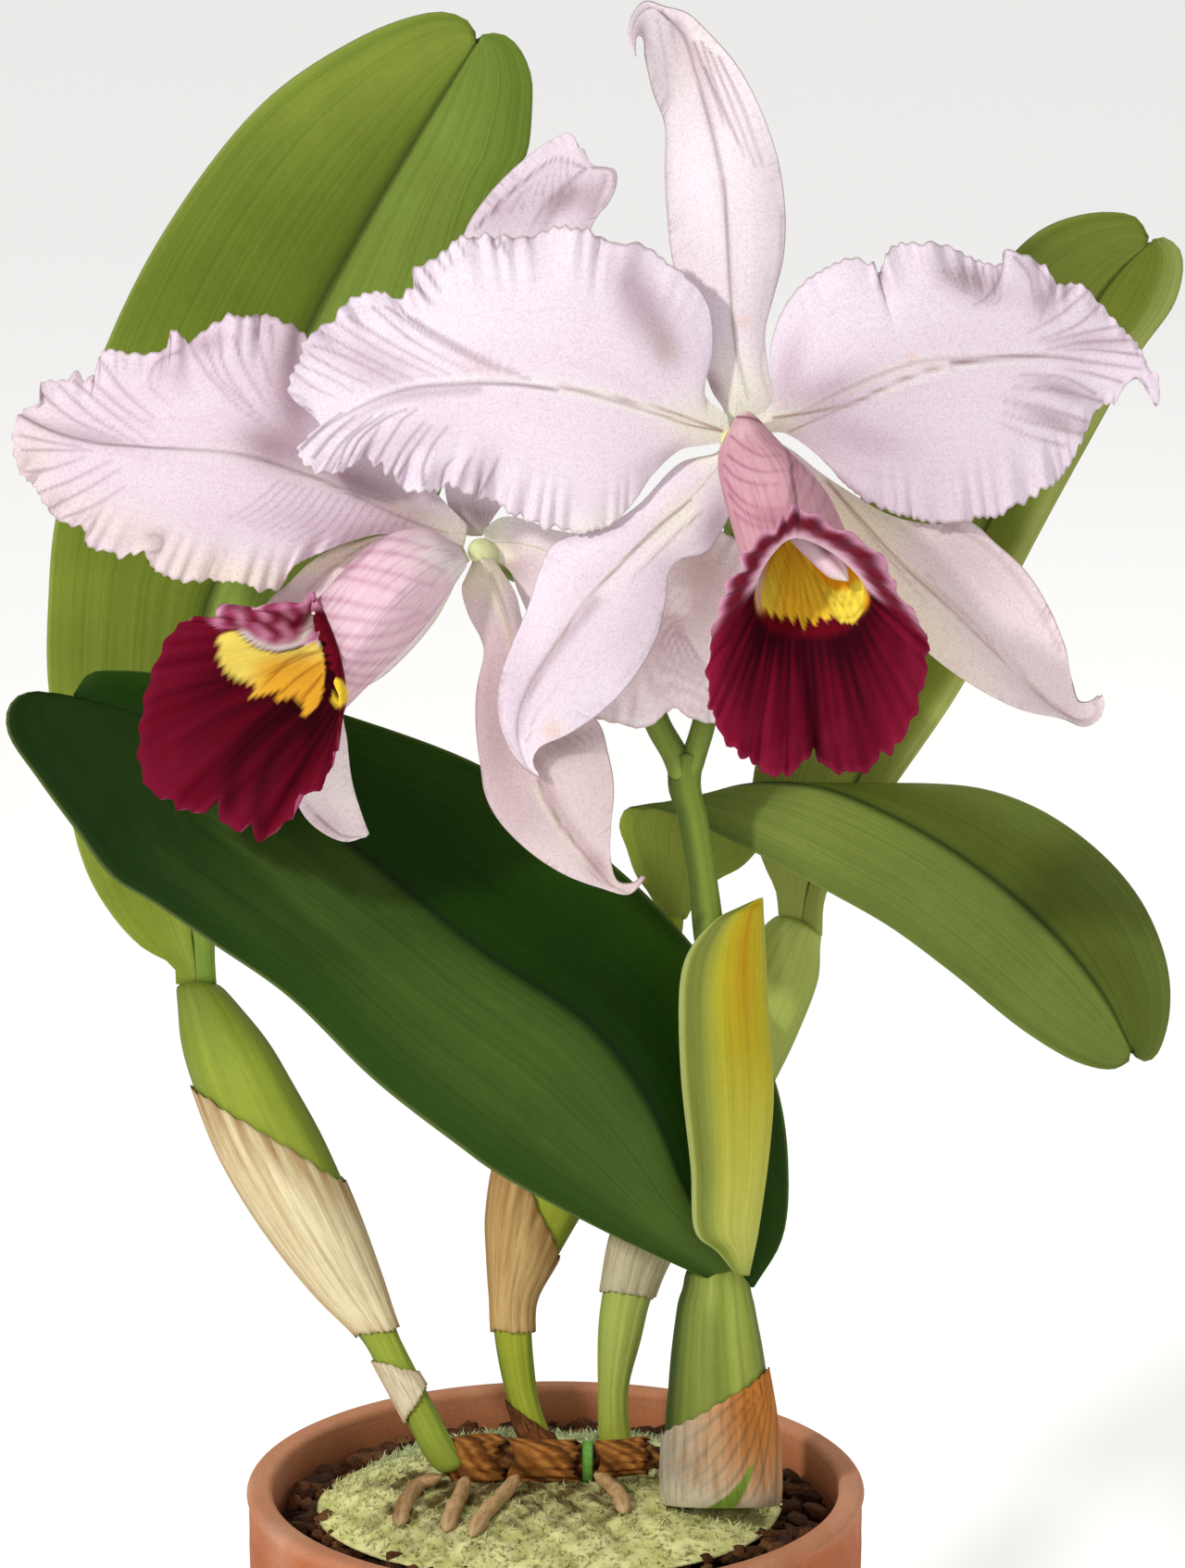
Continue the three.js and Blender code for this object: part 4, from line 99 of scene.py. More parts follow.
# flower B's right petal lies in flower A's shade: its darker hatching and its dark areas are painted shade
MARK_B_PRIGHT = [[1.4, 0.62, "#B39CA8", [[689.3, 666.1], [667.0, 721.9], [653.1, 768.8]]], [1.4, 0.62, "#A48E9A", [[690.8, 674.9], [670.3, 721.9], [657.5, 774.7]]], [1.4, 0.62, "#B39CA8", [[692.4, 683.7], [673.6, 721.9], [661.9, 768.8]]], [1.4, 0.62, "#A48E9A", [[693.9, 666.1], [676.9, 721.9], [666.3, 774.7]]], [1.4, 0.62, "#B39CA8", [[695.5, 674.9], [680.2, 721.9], [670.7, 768.8]]], [1.4, 0.62, "#A48E9A", [[697.0, 683.7], [683.5, 721.9], [675.1, 774.7]]], [1.4, 0.62, "#B39CA8", [[698.5, 666.1], [686.8, 721.9], [679.5, 768.8]]], [1.4, 0.62, "#A48E9A", [[700.1, 674.9], [690.1, 721.9], [683.9, 774.7]]], [1.4, 0.62, "#B39CA8", [[701.6, 683.7], [693.4, 721.9], [688.3, 768.8]]], [1.4, 0.62, "#A48E9A", [[703.2, 666.1], [696.7, 721.9], [692.7, 774.7]]], [1.4, 0.62, "#B39CA8", [[704.7, 674.9], [700.0, 721.9], [697.1, 768.8]]], [1.4, 0.62, "#A48E9A", [[706.2, 683.7], [703.3, 721.9], [701.5, 774.7]]], [1.4, 0.62, "#B39CA8", [[707.8, 666.1], [706.6, 721.9], [705.9, 768.8]]], [1.4, 0.62, "#A48E9A", [[709.3, 674.9], [709.9, 721.9], [710.3, 774.7]]], [1.4, 0.62, "#B39CA8", [[710.9, 683.7], [713.2, 721.9], [714.7, 768.8]]], [1.4, 0.62, "#A48E9A", [[712.4, 666.1], [716.5, 721.9], [719.1, 774.7]]], [1.4, 0.62, "#B39CA8", [[713.9, 674.9], [719.8, 721.9], [723.5, 768.8]]], [1.4, 0.62, "#A48E9A", [[715.5, 683.7], [723.1, 721.9], [727.9, 774.7]]], [1.4, 0.62, "#B39CA8", [[717.0, 666.1], [726.4, 721.9], [732.3, 768.8]]], [1.4, 0.62, "#A48E9A", [[718.6, 674.9], [729.7, 721.9], [736.7, 774.7]]], [1.4, 0.62, "#B39CA8", [[720.1, 683.7], [733.0, 721.9], [741.1, 768.8]]], [1.4, 0.62, "#A48E9A", [[721.6, 666.1], [736.3, 721.9], [745.5, 774.7]]], [1.4, 0.62, "#B39CA8", [[723.2, 674.9], [739.6, 721.9], [749.9, 768.8]]], [1.4, 0.62, "#A48E9A", [[724.7, 683.7], [742.9, 721.9], [754.3, 774.7]]], [1.4, 0.62, "#B39CA8", [[726.3, 666.1], [746.2, 721.9], [758.7, 768.8]]], [1.4, 0.62, "#A48E9A", [[727.8, 674.9], [749.5, 721.9], [763.1, 774.7]]], [1.4, 0.62, "#B39CA8", [[729.3, 683.7], [752.8, 721.9], [767.5, 768.8]]], [1.4, 0.62, "#A48E9A", [[730.9, 666.1], [756.1, 721.9], [771.9, 774.7]]], [1.4, 0.62, "#B39CA8", [[732.4, 674.9], [759.4, 721.9], [776.3, 768.8]]], [1.4, 0.62, "#A48E9A", [[734.0, 683.7], [762.7, 721.9], [780.7, 774.7]]], [1.6, 0.9, "#EBDDE2", [[724.9, 633.9], [745.5, 636.8]]], [1.6, 0.9, "#EBDDE2", [[724.9, 637.4], [745.5, 640.6]]], [1.6, 0.9, "#EBDDE2", [[724.9, 640.9], [745.5, 644.4]]], [1.6, 0.9, "#EBDDE2", [[724.9, 644.4], [745.5, 648.2]]], [1.6, 0.9, "#EBDDE2", [[724.9, 647.9], [745.5, 652.1]]], [1.6, 0.9, "#EBDDE2", [[724.9, 651.5], [745.5, 655.9]]], [1.6, 0.9, "#EBDDE2", [[724.9, 655.0], [745.5, 659.7]]], [1.6, 0.9, "#EBDDE2", [[724.9, 658.5], [745.5, 663.5]]]]
SPOT_B_PRIGHT = [[761.6, 616.3, 41.1, 58.7, 0, 0.81, "#AE9A9A"], [744.0, 666.1, 35.2, 23.5, 0, 0.47, "#B5A1A6"], [729.3, 704.3, 76.3, 46.9, 0, 0.34, "#C4AEBA"], [553.3, 610.4, 26.4, 20.5, 20, 0.61, "#A88F9A"], [538.7, 601.6, 17.6, 7.3, -10, 0.92, "#F2EFDD"]]
MARK_B_PLEFT = [[1.6, 0.84, "#867078", [[19.8, 446.6], [51.4, 463.2], [94.9, 476.2], [158.2, 482.9], [253.1, 490.8], [316.4, 505.9], [379.7, 533.6], [442.9, 562.0], [482.5, 575.1]]], [4.0, 0.51, "#A88F9A", [[19.8, 446.6], [47.5, 460.4], [79.1, 472.3], [114.7, 479.0]]], [1.9, 0.67, "#A88F9A", [[43.5, 424.8], [79.1, 452.5], [130.5, 475.0]]], [1.9, 0.67, "#A88F9A", [[63.3, 414.9], [98.9, 448.5], [150.3, 479.0]]], [1.9, 0.67, "#A88F9A", [[77.1, 409.0], [118.6, 443.4], [162.1, 476.2]]], [1.9, 0.67, "#A88F9A", [[92.9, 405.0], [130.5, 438.6], [166.1, 462.4]]], [1.9, 0.67, "#A88F9A", [[110.7, 391.2], [134.5, 422.8], [166.1, 450.5]]], [1.9, 0.67, "#A88F9A", [[205.6, 371.4], [221.5, 399.1], [253.1, 434.7], [284.7, 458.4]]], [1.9, 0.67, "#A88F9A", [[221.5, 371.4], [237.3, 407.0], [272.9, 442.6]]], [1.9, 0.67, "#A88F9A", [[237.3, 357.6], [241.2, 391.2], [261.0, 426.8], [284.7, 452.5]]], [1.9, 0.67, "#A88F9A", [[253.1, 363.5], [265.0, 399.1], [288.7, 438.6]]], [1.9, 0.67, "#A88F9A", [[193.8, 379.3], [170.1, 391.2], [162.1, 414.9], [181.9, 434.7]]], [1.9, 0.67, "#A88F9A", [[276.8, 355.6], [282.8, 383.3], [292.7, 414.9]]], [1.9, 0.67, "#A88F9A", [[292.7, 351.6], [294.6, 379.3]]], [1.9, 0.67, "#A88F9A", [[25.7, 509.8], [55.4, 505.9], [91.0, 494.0]]], [1.9, 0.67, "#A88F9A", [[39.5, 533.6], [79.1, 517.7], [118.6, 498.0]]], [1.9, 0.67, "#A88F9A", [[51.4, 549.4], [91.0, 529.6], [130.5, 505.9]]], [1.9, 0.67, "#A88F9A", [[63.3, 561.2], [102.8, 545.4], [134.5, 525.6]]], [1.9, 0.67, "#A88F9A", [[23.7, 486.1], [59.3, 486.1], [98.9, 486.1]]], [1.9, 0.67, "#A88F9A", [[23.7, 470.3], [59.3, 478.2], [87.0, 482.1]]], [1.9, 0.67, "#A88F9A", [[158.2, 596.8], [174.0, 592.9], [174.0, 579.0], [158.2, 577.1]]], [1.3, 0.47, "#A88F9A", [[300.6, 519.7], [276.8, 541.5], [245.2, 561.2]]], [1.3, 0.47, "#A88F9A", [[310.1, 522.1], [286.3, 545.0], [255.1, 564.4]]], [1.3, 0.47, "#A88F9A", [[319.5, 524.5], [295.8, 548.6], [265.0, 567.6]]], [1.3, 0.47, "#A88F9A", [[329.0, 526.8], [305.3, 552.1], [274.9, 570.7]]], [1.3, 0.47, "#A88F9A", [[338.5, 529.2], [314.8, 555.7], [284.7, 573.9]]], [1.3, 0.47, "#A88F9A", [[348.0, 531.6], [324.3, 559.3], [294.6, 577.1]]], [1.3, 0.47, "#A88F9A", [[357.5, 534.0], [333.8, 562.8], [304.5, 580.2]]], [1.3, 0.47, "#A88F9A", [[367.0, 536.3], [343.3, 566.4], [314.4, 583.4]]], [1.3, 0.47, "#A88F9A", [[376.5, 538.7], [352.8, 569.9], [324.3, 586.6]]], [1.3, 0.47, "#A88F9A", [[386.0, 541.1], [362.3, 573.5], [334.2, 589.7]]], [1.3, 0.47, "#A88F9A", [[395.5, 543.4], [371.7, 577.1], [344.1, 592.9]]], [1.3, 0.47, "#A88F9A", [[405.0, 545.8], [381.2, 580.6], [354.0, 596.0]]], [1.3, 0.47, "#A88F9A", [[414.5, 548.2], [390.7, 584.2], [363.8, 599.2]]], [1.3, 0.47, "#A88F9A", [[424.0, 550.6], [400.2, 587.7], [373.7, 602.4]]], [1.3, 0.47, "#A88F9A", [[433.4, 552.9], [409.7, 591.3], [383.6, 605.5]]], [1.3, 0.47, "#A88F9A", [[442.9, 555.3], [419.2, 594.9], [393.5, 608.7]]]]
SPOT_B_PLEFT = [[316.4, 418.9, 23.7, 75.1, -3, 0.92, "#A88F9A"], [292.7, 482.1, 35.6, 23.7, 20, 0.92, "#A88F9A"], [387.6, 521.7, 71.2, 17.8, 25, 0.92, "#A88F9A"], [442.9, 553.3, 35.6, 15.8, 25, 0.68, "#CFC3B4"], [221.5, 371.4, 19.8, 11.9, -10, 0.54, "#A88F9A"], [185.9, 399.1, 23.7, 19.8, 30, 0.41, "#BDA4B3"], [94.9, 470.3, 55.4, 7.9, 15, 0.47, "#A88F9A"], [166.1, 581.0, 11.1, 11.1, 0, 0.68, "#A88F9A"], [130.5, 573.1, 102.8, 23.7, 22, 0.47, "#EBDCC8"], [257.1, 620.6, 87.0, 19.8, 8, 0.68, "#EFE3CC"], [35.6, 494.0, 23.7, 47.5, 10, 0.47, "#EBDCC8"], [355.9, 565.2, 87.0, 23.7, 5, 0.41, "#BDA4B3"], [474.6, 573.1, 23.7, 15.8, 0, 0.92, "#F2EFDD"]]
MARK_B_SLEFT = [[1.6, 0.78, "#867078", [[342, 880], [356, 893], [372, 903], [392, 903]]], [3.5, 0.42, "#A88F9A", [[330, 868], [345, 885], [360, 897]]], [1.5, 0.78, "#A58C7C", [[405, 578], [370, 592], [330, 608], [316, 620], [309, 636], [292, 640]]], [1.4, 0.67, "#A58C7C", [[400, 585], [360, 612], [330, 640]]]]
SPOT_B_SLEFT = [[345, 605, 60, 14, -20, 0.81, "#EDE5CE"], [368, 820, 26, 60, 0, 0.47, "#F3ECEC"], [350, 890, 26, 14, 30, 0.47, "#BDA4B3"]]
# on flower B's dorsal sepal the hatch strokes and the grey area at the base by the hub are painted shade, and the
# strokes and areas on the folded right edge near the tip are painted shade of the fold
MARK_B_DORSAL = [[1.6, 0.9, "#867078", [[514, 247], [545, 214], [570, 192], [600, 172], [632, 181]]], [2.0, 0.68, "#867078", [[640, 181], [660, 183], [664, 196], [650, 226]]], [3.5, 0.51, "#A88F9A", [[655, 190], [648, 210], [640, 232]]], [2.2, 0.59, "#867078", [[632, 182], [605, 206], [585, 226], [572, 246]]], [6.0, 0.42, "#A88F9A", [[620, 205], [600, 225], [588, 243]]], [1.2, 0.5, "#A88F9A", [[530, 236], [556, 206], [575, 186]]], [1.2, 0.5, "#A88F9A", [[541, 232], [563, 203], [580, 184]]], [1.2, 0.5, "#A88F9A", [[552, 228], [570, 200], [585, 182]]], [1.2, 0.5, "#A88F9A", [[563, 224], [577, 197], [590, 180]]], [1.2, 0.5, "#A88F9A", [[574, 220], [584, 194], [595, 178]]], [1.2, 0.5, "#A88F9A", [[585, 216], [591, 191], [600, 176]]], [1.2, 0.5, "#A88F9A", [[596, 212], [598, 188], [605, 174]]], [1.2, 0.5, "#A88F9A", [[607, 208], [605, 185], [610, 172]]], [1.2, 0.5, "#A88F9A", [[618, 204], [612, 182], [615, 170]]], [1.0, 0.67, "#A88F9A", [[488.0, 548], [490, 566]]], [1.0, 0.67, "#A88F9A", [[492.4, 551], [494, 567]]], [1.0, 0.67, "#A88F9A", [[496.8, 548], [498, 568]]], [1.0, 0.67, "#A88F9A", [[501.2, 551], [502, 566]]], [1.0, 0.67, "#A88F9A", [[505.6, 548], [506, 567]]], [1.0, 0.67, "#A88F9A", [[510.0, 551], [510, 568]]], [1.0, 0.67, "#A88F9A", [[514.4, 548], [514, 566]]], [1.0, 0.67, "#A88F9A", [[518.8, 551], [518, 567]]], [1.0, 0.67, "#A88F9A", [[523.2, 548], [522, 568]]], [1.0, 0.67, "#A88F9A", [[527.6, 551], [526, 566]]], [1.0, 0.67, "#A88F9A", [[532.0, 548], [530, 567]]], [1.0, 0.67, "#A88F9A", [[536.4, 551], [534, 568]]]]
SPOT_B_DORSAL = [[610, 215, 26, 14, -30, 0.74, "#A88F9A"], [640, 215, 14, 26, 20, 0.54, "#A88F9A"], [510, 556, 34, 18, 5, 0.92, "#B5A5AA"], [545, 230, 30, 14, -35, 0.41, "#BDA4B3"]]
MARK_A_SRIGHT = [[1.6, 0.84, "#A58C7C", [[893, 520], [930, 560], [975, 610], [1020, 652], [1070, 700], [1120, 745], [1158, 775]]], [2.2, 0.42, "#A88F9A", [[1000, 620], [1060, 680], [1110, 730]]], [1.4, 0.56, "#A58C7C", [[902, 530], [950, 590], [1000, 650]]], [3.5, 0.42, "#A88F9A", [[1180, 752], [1186, 768], [1172, 781], [1156, 776]]], [3.0, 0.34, "#A88F9A", [[1010, 560], [1065, 590], [1110, 640], [1145, 700]]]]
SPOT_A_SRIGHT = [[930, 560, 55, 60, 40, 0.92, "#F1ECD6"], [960, 640, 30, 90, -40, 0.92, "#F2EBD8"], [1010, 690, 24, 70, -45, 0.68, "#F1E8DC"], [1040, 600, 60, 26, 45, 0.41, "#BDA4B3"]]
MARK_LIP_A = [[1.7, 0.85, "#B06A88", [[782.9, 502.2], [797.2, 516.5], [821.8, 523.7], [843.7, 522.6]]], [1.7, 0.85, "#B06A88", [[783.9, 516.5], [798.3, 536.9], [821.8, 549.2], [848.3, 549.2]]], [1.7, 0.85, "#B06A88", [[787.0, 492.0], [806.4, 504.8], [826.9, 510.4], [848.3, 508.3]]], [1.7, 0.85, "#B06A88", [[791.1, 471.5], [806.4, 484.3], [824.3, 493.0], [842.2, 492.0]]], [1.7, 0.85, "#B06A88", [[788.5, 533.9], [806.4, 553.3], [829.4, 562.5], [852.4, 561.0]]], [1.7, 0.85, "#B06A88", [[793.7, 553.3], [811.5, 566.1], [832.0, 571.2]]], [1.7, 0.85, "#B06A88", [[821.8, 455.2], [839.6, 466.4], [856.5, 486.9], [860.6, 509.9], [855.5, 533.9]]], [1.7, 0.85, "#B06A88", [[842.2, 460.3], [862.6, 484.3], [867.7, 507.3], [861.6, 533.9]]], [1.7, 0.85, "#B06A88", [[858.5, 471.5], [876.9, 499.6], [876.9, 525.2], [865.2, 548.2]]], [1.7, 0.85, "#B06A88", [[873.9, 489.4], [891.3, 516.5], [891.3, 538.0], [881.0, 558.4]]], [1.7, 0.85, "#B06A88", [[888.2, 509.9], [902.5, 533.9], [902.5, 553.3], [895.3, 566.1]]], [1.6, 0.95, "#8A5566", [[791.1, 450.1], [811.5, 453.1], [829.4, 461.3], [843.7, 476.6], [852.4, 497.1], [854.5, 520.1], [852.4, 548.2]]], [1.2, 0.6, "#A06F80", [[816.6, 442.9], [834.5, 454.2], [849.9, 467.5], [873.9, 492.0], [898.4, 527.7], [908.6, 553.3]]], [4.5, 0.5, "#B98292", [[777.8, 492.0], [780.9, 527.7], [788.5, 553.3], [801.3, 578.8]]]]
SPOT_LIP_A = [[833, 560, 26, 12, 0, 0.6, "#A9707E"], [812, 512, 20, 16, 0, 0.3, "#E9BFCB"], [800, 465, 14, 12, 0, 0.4, "#E9CDD2"], [880, 505, 16, 20, -30, 0.35, "#E9C9D3"]]
MARK_LIP_B = [[3.0, 0.5, "#B46F90", [[344.1, 632.4], [367.8, 624.5], [395.5, 628.5], [435.0, 640.3]]], [3.0, 0.5, "#B46F90", [[342.1, 648.2], [367.8, 648.2], [403.4, 656.2], [442.9, 656.2]]], [3.0, 0.5, "#B46F90", [[344.1, 664.1], [375.7, 668.0], [419.2, 672.0], [454.8, 660.1]]], [3.0, 0.5, "#B46F90", [[348.0, 683.8], [387.6, 687.8], [427.1, 681.9], [462.7, 664.1]]], [3.0, 0.5, "#B46F90", [[352.0, 695.7], [391.5, 703.6], [431.1, 695.7], [458.8, 677.9]]], [3.0, 0.5, "#B46F90", [[357.9, 709.5], [395.5, 715.5], [427.1, 709.5], [450.8, 691.7]]], [3.0, 0.5, "#B46F90", [[361.9, 723.4], [395.5, 729.3], [419.2, 723.4], [439.0, 709.5]]], [3.0, 0.5, "#B46F90", [[365.8, 733.3], [391.5, 739.2], [411.3, 733.3]]], [3.0, 0.5, "#B46F90", [[355.9, 620.6], [387.6, 612.7], [427.1, 620.6], [466.7, 632.4]]], [3.0, 0.5, "#B46F90", [[375.7, 600.8], [411.3, 596.8], [450.8, 604.7], [478.5, 616.6]]], [3.0, 0.5, "#B46F90", [[395.5, 585.0], [427.1, 583.0], [462.7, 592.9]]], [3.5, 0.6, "#A87088", [[419.2, 573.1], [379.7, 614.6], [348.0, 636.4], [332.2, 656.2]]], [4.0, 0.45, "#A9869A", [[494.3, 632.4], [466.7, 668.0], [427.1, 719.4], [375.7, 759.0]]]]
SPOT_LIP_B = [[478, 600, 34, 22, 20, 0.8, "#F1E6E4"], [500, 618, 24, 14, 30, 0.9, "#F3EEEA"], [400, 620, 40, 26, -20, 0.3, "#E9B6C8"], [448, 640, 20, 40, 30, 0.3, "#E9CDD6"], [364, 746, 7, 15, 0, 0.9, "#E8C23A"]]


def place(u, v, depth):
    """drawing units and mm to metres; works on arrays"""
    u, v, depth = np.broadcast_arrays(np.asarray(u, float), np.asarray(v, float), np.asarray(depth, float))
    d = depth + (1600 - v) * S_MM * math.tan(TILT)
    k = S_MM * (1 - d / DIST)
    p = P0 + ((u - 640) * k)[..., None] * RIGHT + ((846.5 - v) * k)[..., None] * UP + d[..., None] * BACK
    return p / 1000.0

def srgb(h):
    h = h.lstrip('#')
    c = np.array([int(h[i:i + 2], 16) / 255.0 for i in (0, 2, 4)])
    return np.where(c <= 0.04045, c / 12.92, ((c + 0.055) / 1.055) ** 2.4)

def sstep(a, b, x):
    t = np.clip((x - a) / (b - a), 0, 1)
    return t * t * (3 - 2 * t)

def mix(a, b, f):
    f = np.clip(np.asarray(f, float), 0, 1)
    if f.ndim:
        f = f[..., None]
    return a * (1 - f) + b * f

def hash01(n, seed):
    return np.random.RandomState(seed).rand(n)

def wob(x, seed, n=5, f0=1.0):
    """smooth repeatable wobble of a 1-D coordinate"""
    r = np.random.RandomState(seed)
    out = 0
    for i in range(n):
        out = out + np.sin(2 * math.pi * (f0 * (i + 1) * x * (0.8 + 0.4 * r.rand()) + r.rand())) / (i + 1)
    return out / 1.6

def crom(points, per=10):
    P = np.asarray(points, float)
    if len(P) < 3:
        return P
    Q = np.vstack([2 * P[0] - P[1], P, 2 * P[-1] - P[-2]])
    out = []
    for i in range(1, len(Q) - 2):
        a, b, c, d = Q[i - 1], Q[i], Q[i + 1], Q[i + 2]
        t0 = 0
        t1 = t0 + max(1e-4, np.linalg.norm(b - a)) ** 0.5
        t2 = t1 + max(1e-4, np.linalg.norm(c - b)) ** 0.5
        t3 = t2 + max(1e-4, np.linalg.norm(d - c)) ** 0.5
        for t in np.linspace(t1, t2, per, endpoint=False):
            A1 = (t1 - t) / (t1 - t0) * a + (t - t0) / (t1 - t0) * b
            A2 = (t2 - t) / (t2 - t1) * b + (t - t1) / (t2 - t1) * c
            A3 = (t3 - t) / (t3 - t2) * c + (t - t2) / (t3 - t2) * d
            B1 = (t2 - t) / (t2 - t0) * A1 + (t - t0) / (t2 - t0) * A2
            B2 = (t3 - t) / (t3 - t1) * A2 + (t - t1) / (t3 - t1) * A3
            out.append((t2 - t) / (t2 - t1) * B1 + (t - t1) / (t2 - t1) * B2)
    out.append(P[-1])
    return np.array(out)

def along(poly, s):
    seg = np.linalg.norm(np.diff(poly[:, :2], axis=0), axis=1)
    c = np.concatenate([[0], np.cumsum(seg)])
    x = np.asarray(s) * c[-1]
    return np.stack([np.interp(x, c, poly[:, k]) for k in range(poly.shape[1])], axis=-1)

def profile(vals, s):
    d = crom([[i, v] for i, v in enumerate(vals)], 12)
    return np.interp(np.asarray(s) * (len(vals) - 1), d[:, 0], d[:, 1])

def stations(rows, s):
    R = np.asarray(rows, float)
    n = len(R) - 1
    x = np.clip(np.asarray(s, float) * n, 0, n - 1e-9)
    i = np.floor(x).astype(int)
    f = (x - i)[..., None]
    g = lambda k: R[np.clip(k, 0, n)]
    a, b, c, d = g(i - 1), g(i), g(i + 1), g(i + 2)
    return 0.5 * (2 * b + (c - a) * f + (2 * a - 5 * b + 4 * c - d) * f ** 2 + (3 * b - a - 3 * c + d) * f ** 3)

# ---------- meshes ----------
COL = bpy.context.scene.collection

def make_mesh(name, verts, quads, uv, col, mat, node, flat=None, corner_col=None):
    """verts (n,3); quads list of index arrays (m,4) or (m,3); uv (n,2); col (n,3) linear"""
    me = bpy.data.meshes.new(name)
    faces = []
    for q in quads:
        faces.extend(np.asarray(q).tolist())
    me.from_pydata(np.asarray(verts).tolist(), [], faces)
    loops = np.empty(len(me.loops), int)
    me.loops.foreach_get("vertex_index", loops)
    uvl = me.uv_layers.new(name="UVMap")
    uvl.data.foreach_set("uv", np.asarray(uv, float)[loops].ravel())
    ca = me.color_attributes.new("Col", 'FLOAT_COLOR', 'CORNER')
    c = np.ones((len(loops), 4))
    c[:, :3] = np.asarray(col, float)[loops]
    sizes = np.array([len(f) for f in faces])
    fid = np.repeat(np.arange(len(faces)), sizes)
    smooth = np.ones(len(faces), bool)
    if flat is not None:
        smooth[flat] = False
    if corner_col is not None:
        ids, cc = corner_col
        m = np.zeros(len(faces), bool)
        m[ids] = True
        sel = m[fid]
        c[sel, :3] = c[sel, :3] * 0.35 + np.asarray(cc) * 0.65
    ca.data.foreach_set("color", c.ravel())
    me.polygons.foreach_set("use_smooth", smooth)
    me.update()
    ob = bpy.data.objects.new(name, me)
    COL.objects.link(ob)
    me.materials.append(mat)
    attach(ob, "root")
    if node:
        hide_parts(*([node] if isinstance(node, str) else node))
    return ob

def grid_quads(n, m, base=0, wrap=False, flip=False):
    i, j = np.meshgrid(np.arange(n - 1), np.arange(m if wrap else m - 1), indexing='ij')
    a = base + i * m + j
    b = base + i * m + (j + 1) % m
    c = base + (i + 1) * m + (j + 1) % m
    d = base + (i + 1) * m + j
    q = np.stack([a, b, c, d], -1).reshape(-1, 4)
    return q[:, ::-1] if flip else q

def grid_normals(X, wrap=False):
    du = np.gradient(X, axis=0)
    if wrap:
        dv = (np.roll(X, -1, axis=1) - np.roll(X, 1, axis=1)) / 2
    else:
        dv = np.gradient(X, axis=1)
    n = np.cross(du, dv)
    l = np.linalg.norm(n, axis=-1, keepdims=True)
    return n / np.maximum(l, 1e-12)

def sheet(name, X, H, UV, CT, CB, mat, node, rim=None):
    """a thin closed sheet around the grid X, half thickness H, colours of its two sides"""
    n, m = X.shape[:2]
    N = grid_normals(X)
    if np.mean(N @ BACK) < 0:
        N = -N
    flipped = np.mean(grid_normals(X) @ BACK) < 0
    T = (X + N * H[..., None]).reshape(-1, 3)
    B = (X - N * H[..., None]).reshape(-1, 3)
    V = np.vstack([T, B])
    o = n * m
    top = grid_quads(n, m, 0, flip=flipped)
    bot = grid_quads(n, m, o, flip=not flipped)
    ring = np.concatenate([np.arange(m), np.arange(1, n) * m + m - 1, (n - 1) * m + np.arange(m - 2, -1, -1), np.arange(n - 2, 0, -1) * m])
    nxt = np.roll(ring, -1)
    rq = np.stack([ring, ring + o, nxt + o, nxt], -1)
    if flipped:
        rq = rq[:, ::-1]
    uv = np.vstack([UV.reshape(-1, 2)] * 2)
    col = np.vstack([CT.reshape(-1, 3), CB.reshape(-1, 3)])
    ids = np.arange(len(top) + len(bot), len(top) + len(bot) + len(rq))
    return make_mesh(name, V, [top, bot, rq], uv, col, mat, node, flat=ids, corner_col=(ids, rim) if rim is not None else None)

def blade_grid(b, ns, nt, ruffle=None, power=1.0, jag=0.0, seed=1):
    s = np.linspace(0.003, 0.997, ns)
    L, M, R = (along(crom(b[k], 10), s) for k in "LMR")
    dm, dl, dr = (profile(b[k], s) for k in ("dm", "dl", "dr"))
    tan = np.gradient(M, axis=0)
    tan /= np.maximum(np.linalg.norm(tan, axis=1, keepdims=True), 1e-9)
    nrm = np.stack([tan[:, 1], -tan[:, 0]], -1)
    t = np.linspace(-1, 1, 2 * nt + 1)
    t = np.sign(t) * (1 - (1 - np.abs(t)) ** 1.2)
    a = np.abs(t)
    E = np.where(t[None, :, None] < 0, L[:, None, :], R[:, None, :])
    if jag:
        ln = np.linalg.norm(np.diff(M, axis=0), axis=1).sum()
        q = s * ln / 22.0
        w = [np.sin(2 * np.pi * (q + 0.35 * np.sin(2 * np.pi * q * 0.31 + seed + k))) * (0.6 + 0.4 * np.sin(q * 0.9 + k)) + 0.5 * np.sin(2 * np.pi * (2.3 * q + 0.4 * np.sin(q * 1.9 + k))) for k in (0.0, 2.6)]
        w = np.where(t[None, :] < 0, w[0][:, None], w[1][:, None])
        env = sstep(0.12, 0.42, s) * sstep(1.0, 0.93, s)
        half = np.linalg.norm(E - M[:, None, :], axis=-1)
        aa = a[None, :] * (1 + jag * w * env[:, None] * sstep(0.72, 1.0, a)[None, :] / np.maximum(half, 8.0))
    else:
        aa = np.broadcast_to(a[None, :], (ns, len(t)))
    uv = M[:, None, :] + (E - M[:, None, :]) * aa[..., None]
    de = np.where(t[None, :] < 0, dl[:, None], dr[:, None])
    bu = np.where(t < 0, b["bul"][0], b["bul"][1])
    d = dm[:, None] + de * a[None, :] ** power + bu[None, :] * np.sin(np.pi * a)[None, :] * np.sin(np.pi * np.minimum(1, s * 1.05))[:, None]
    SS, TT = np.meshgrid(s, t, indexing='ij')
    if ruffle is not None:
        d = d + ruffle(SS, TT, uv)
    X = place(uv[..., 0], uv[..., 1], d)
    return X, SS, TT, uv

# ---------- materials ----------
def socket(node, *names):
    for n in names:
        if n in node.inputs:
            return node.inputs[n]
    return None

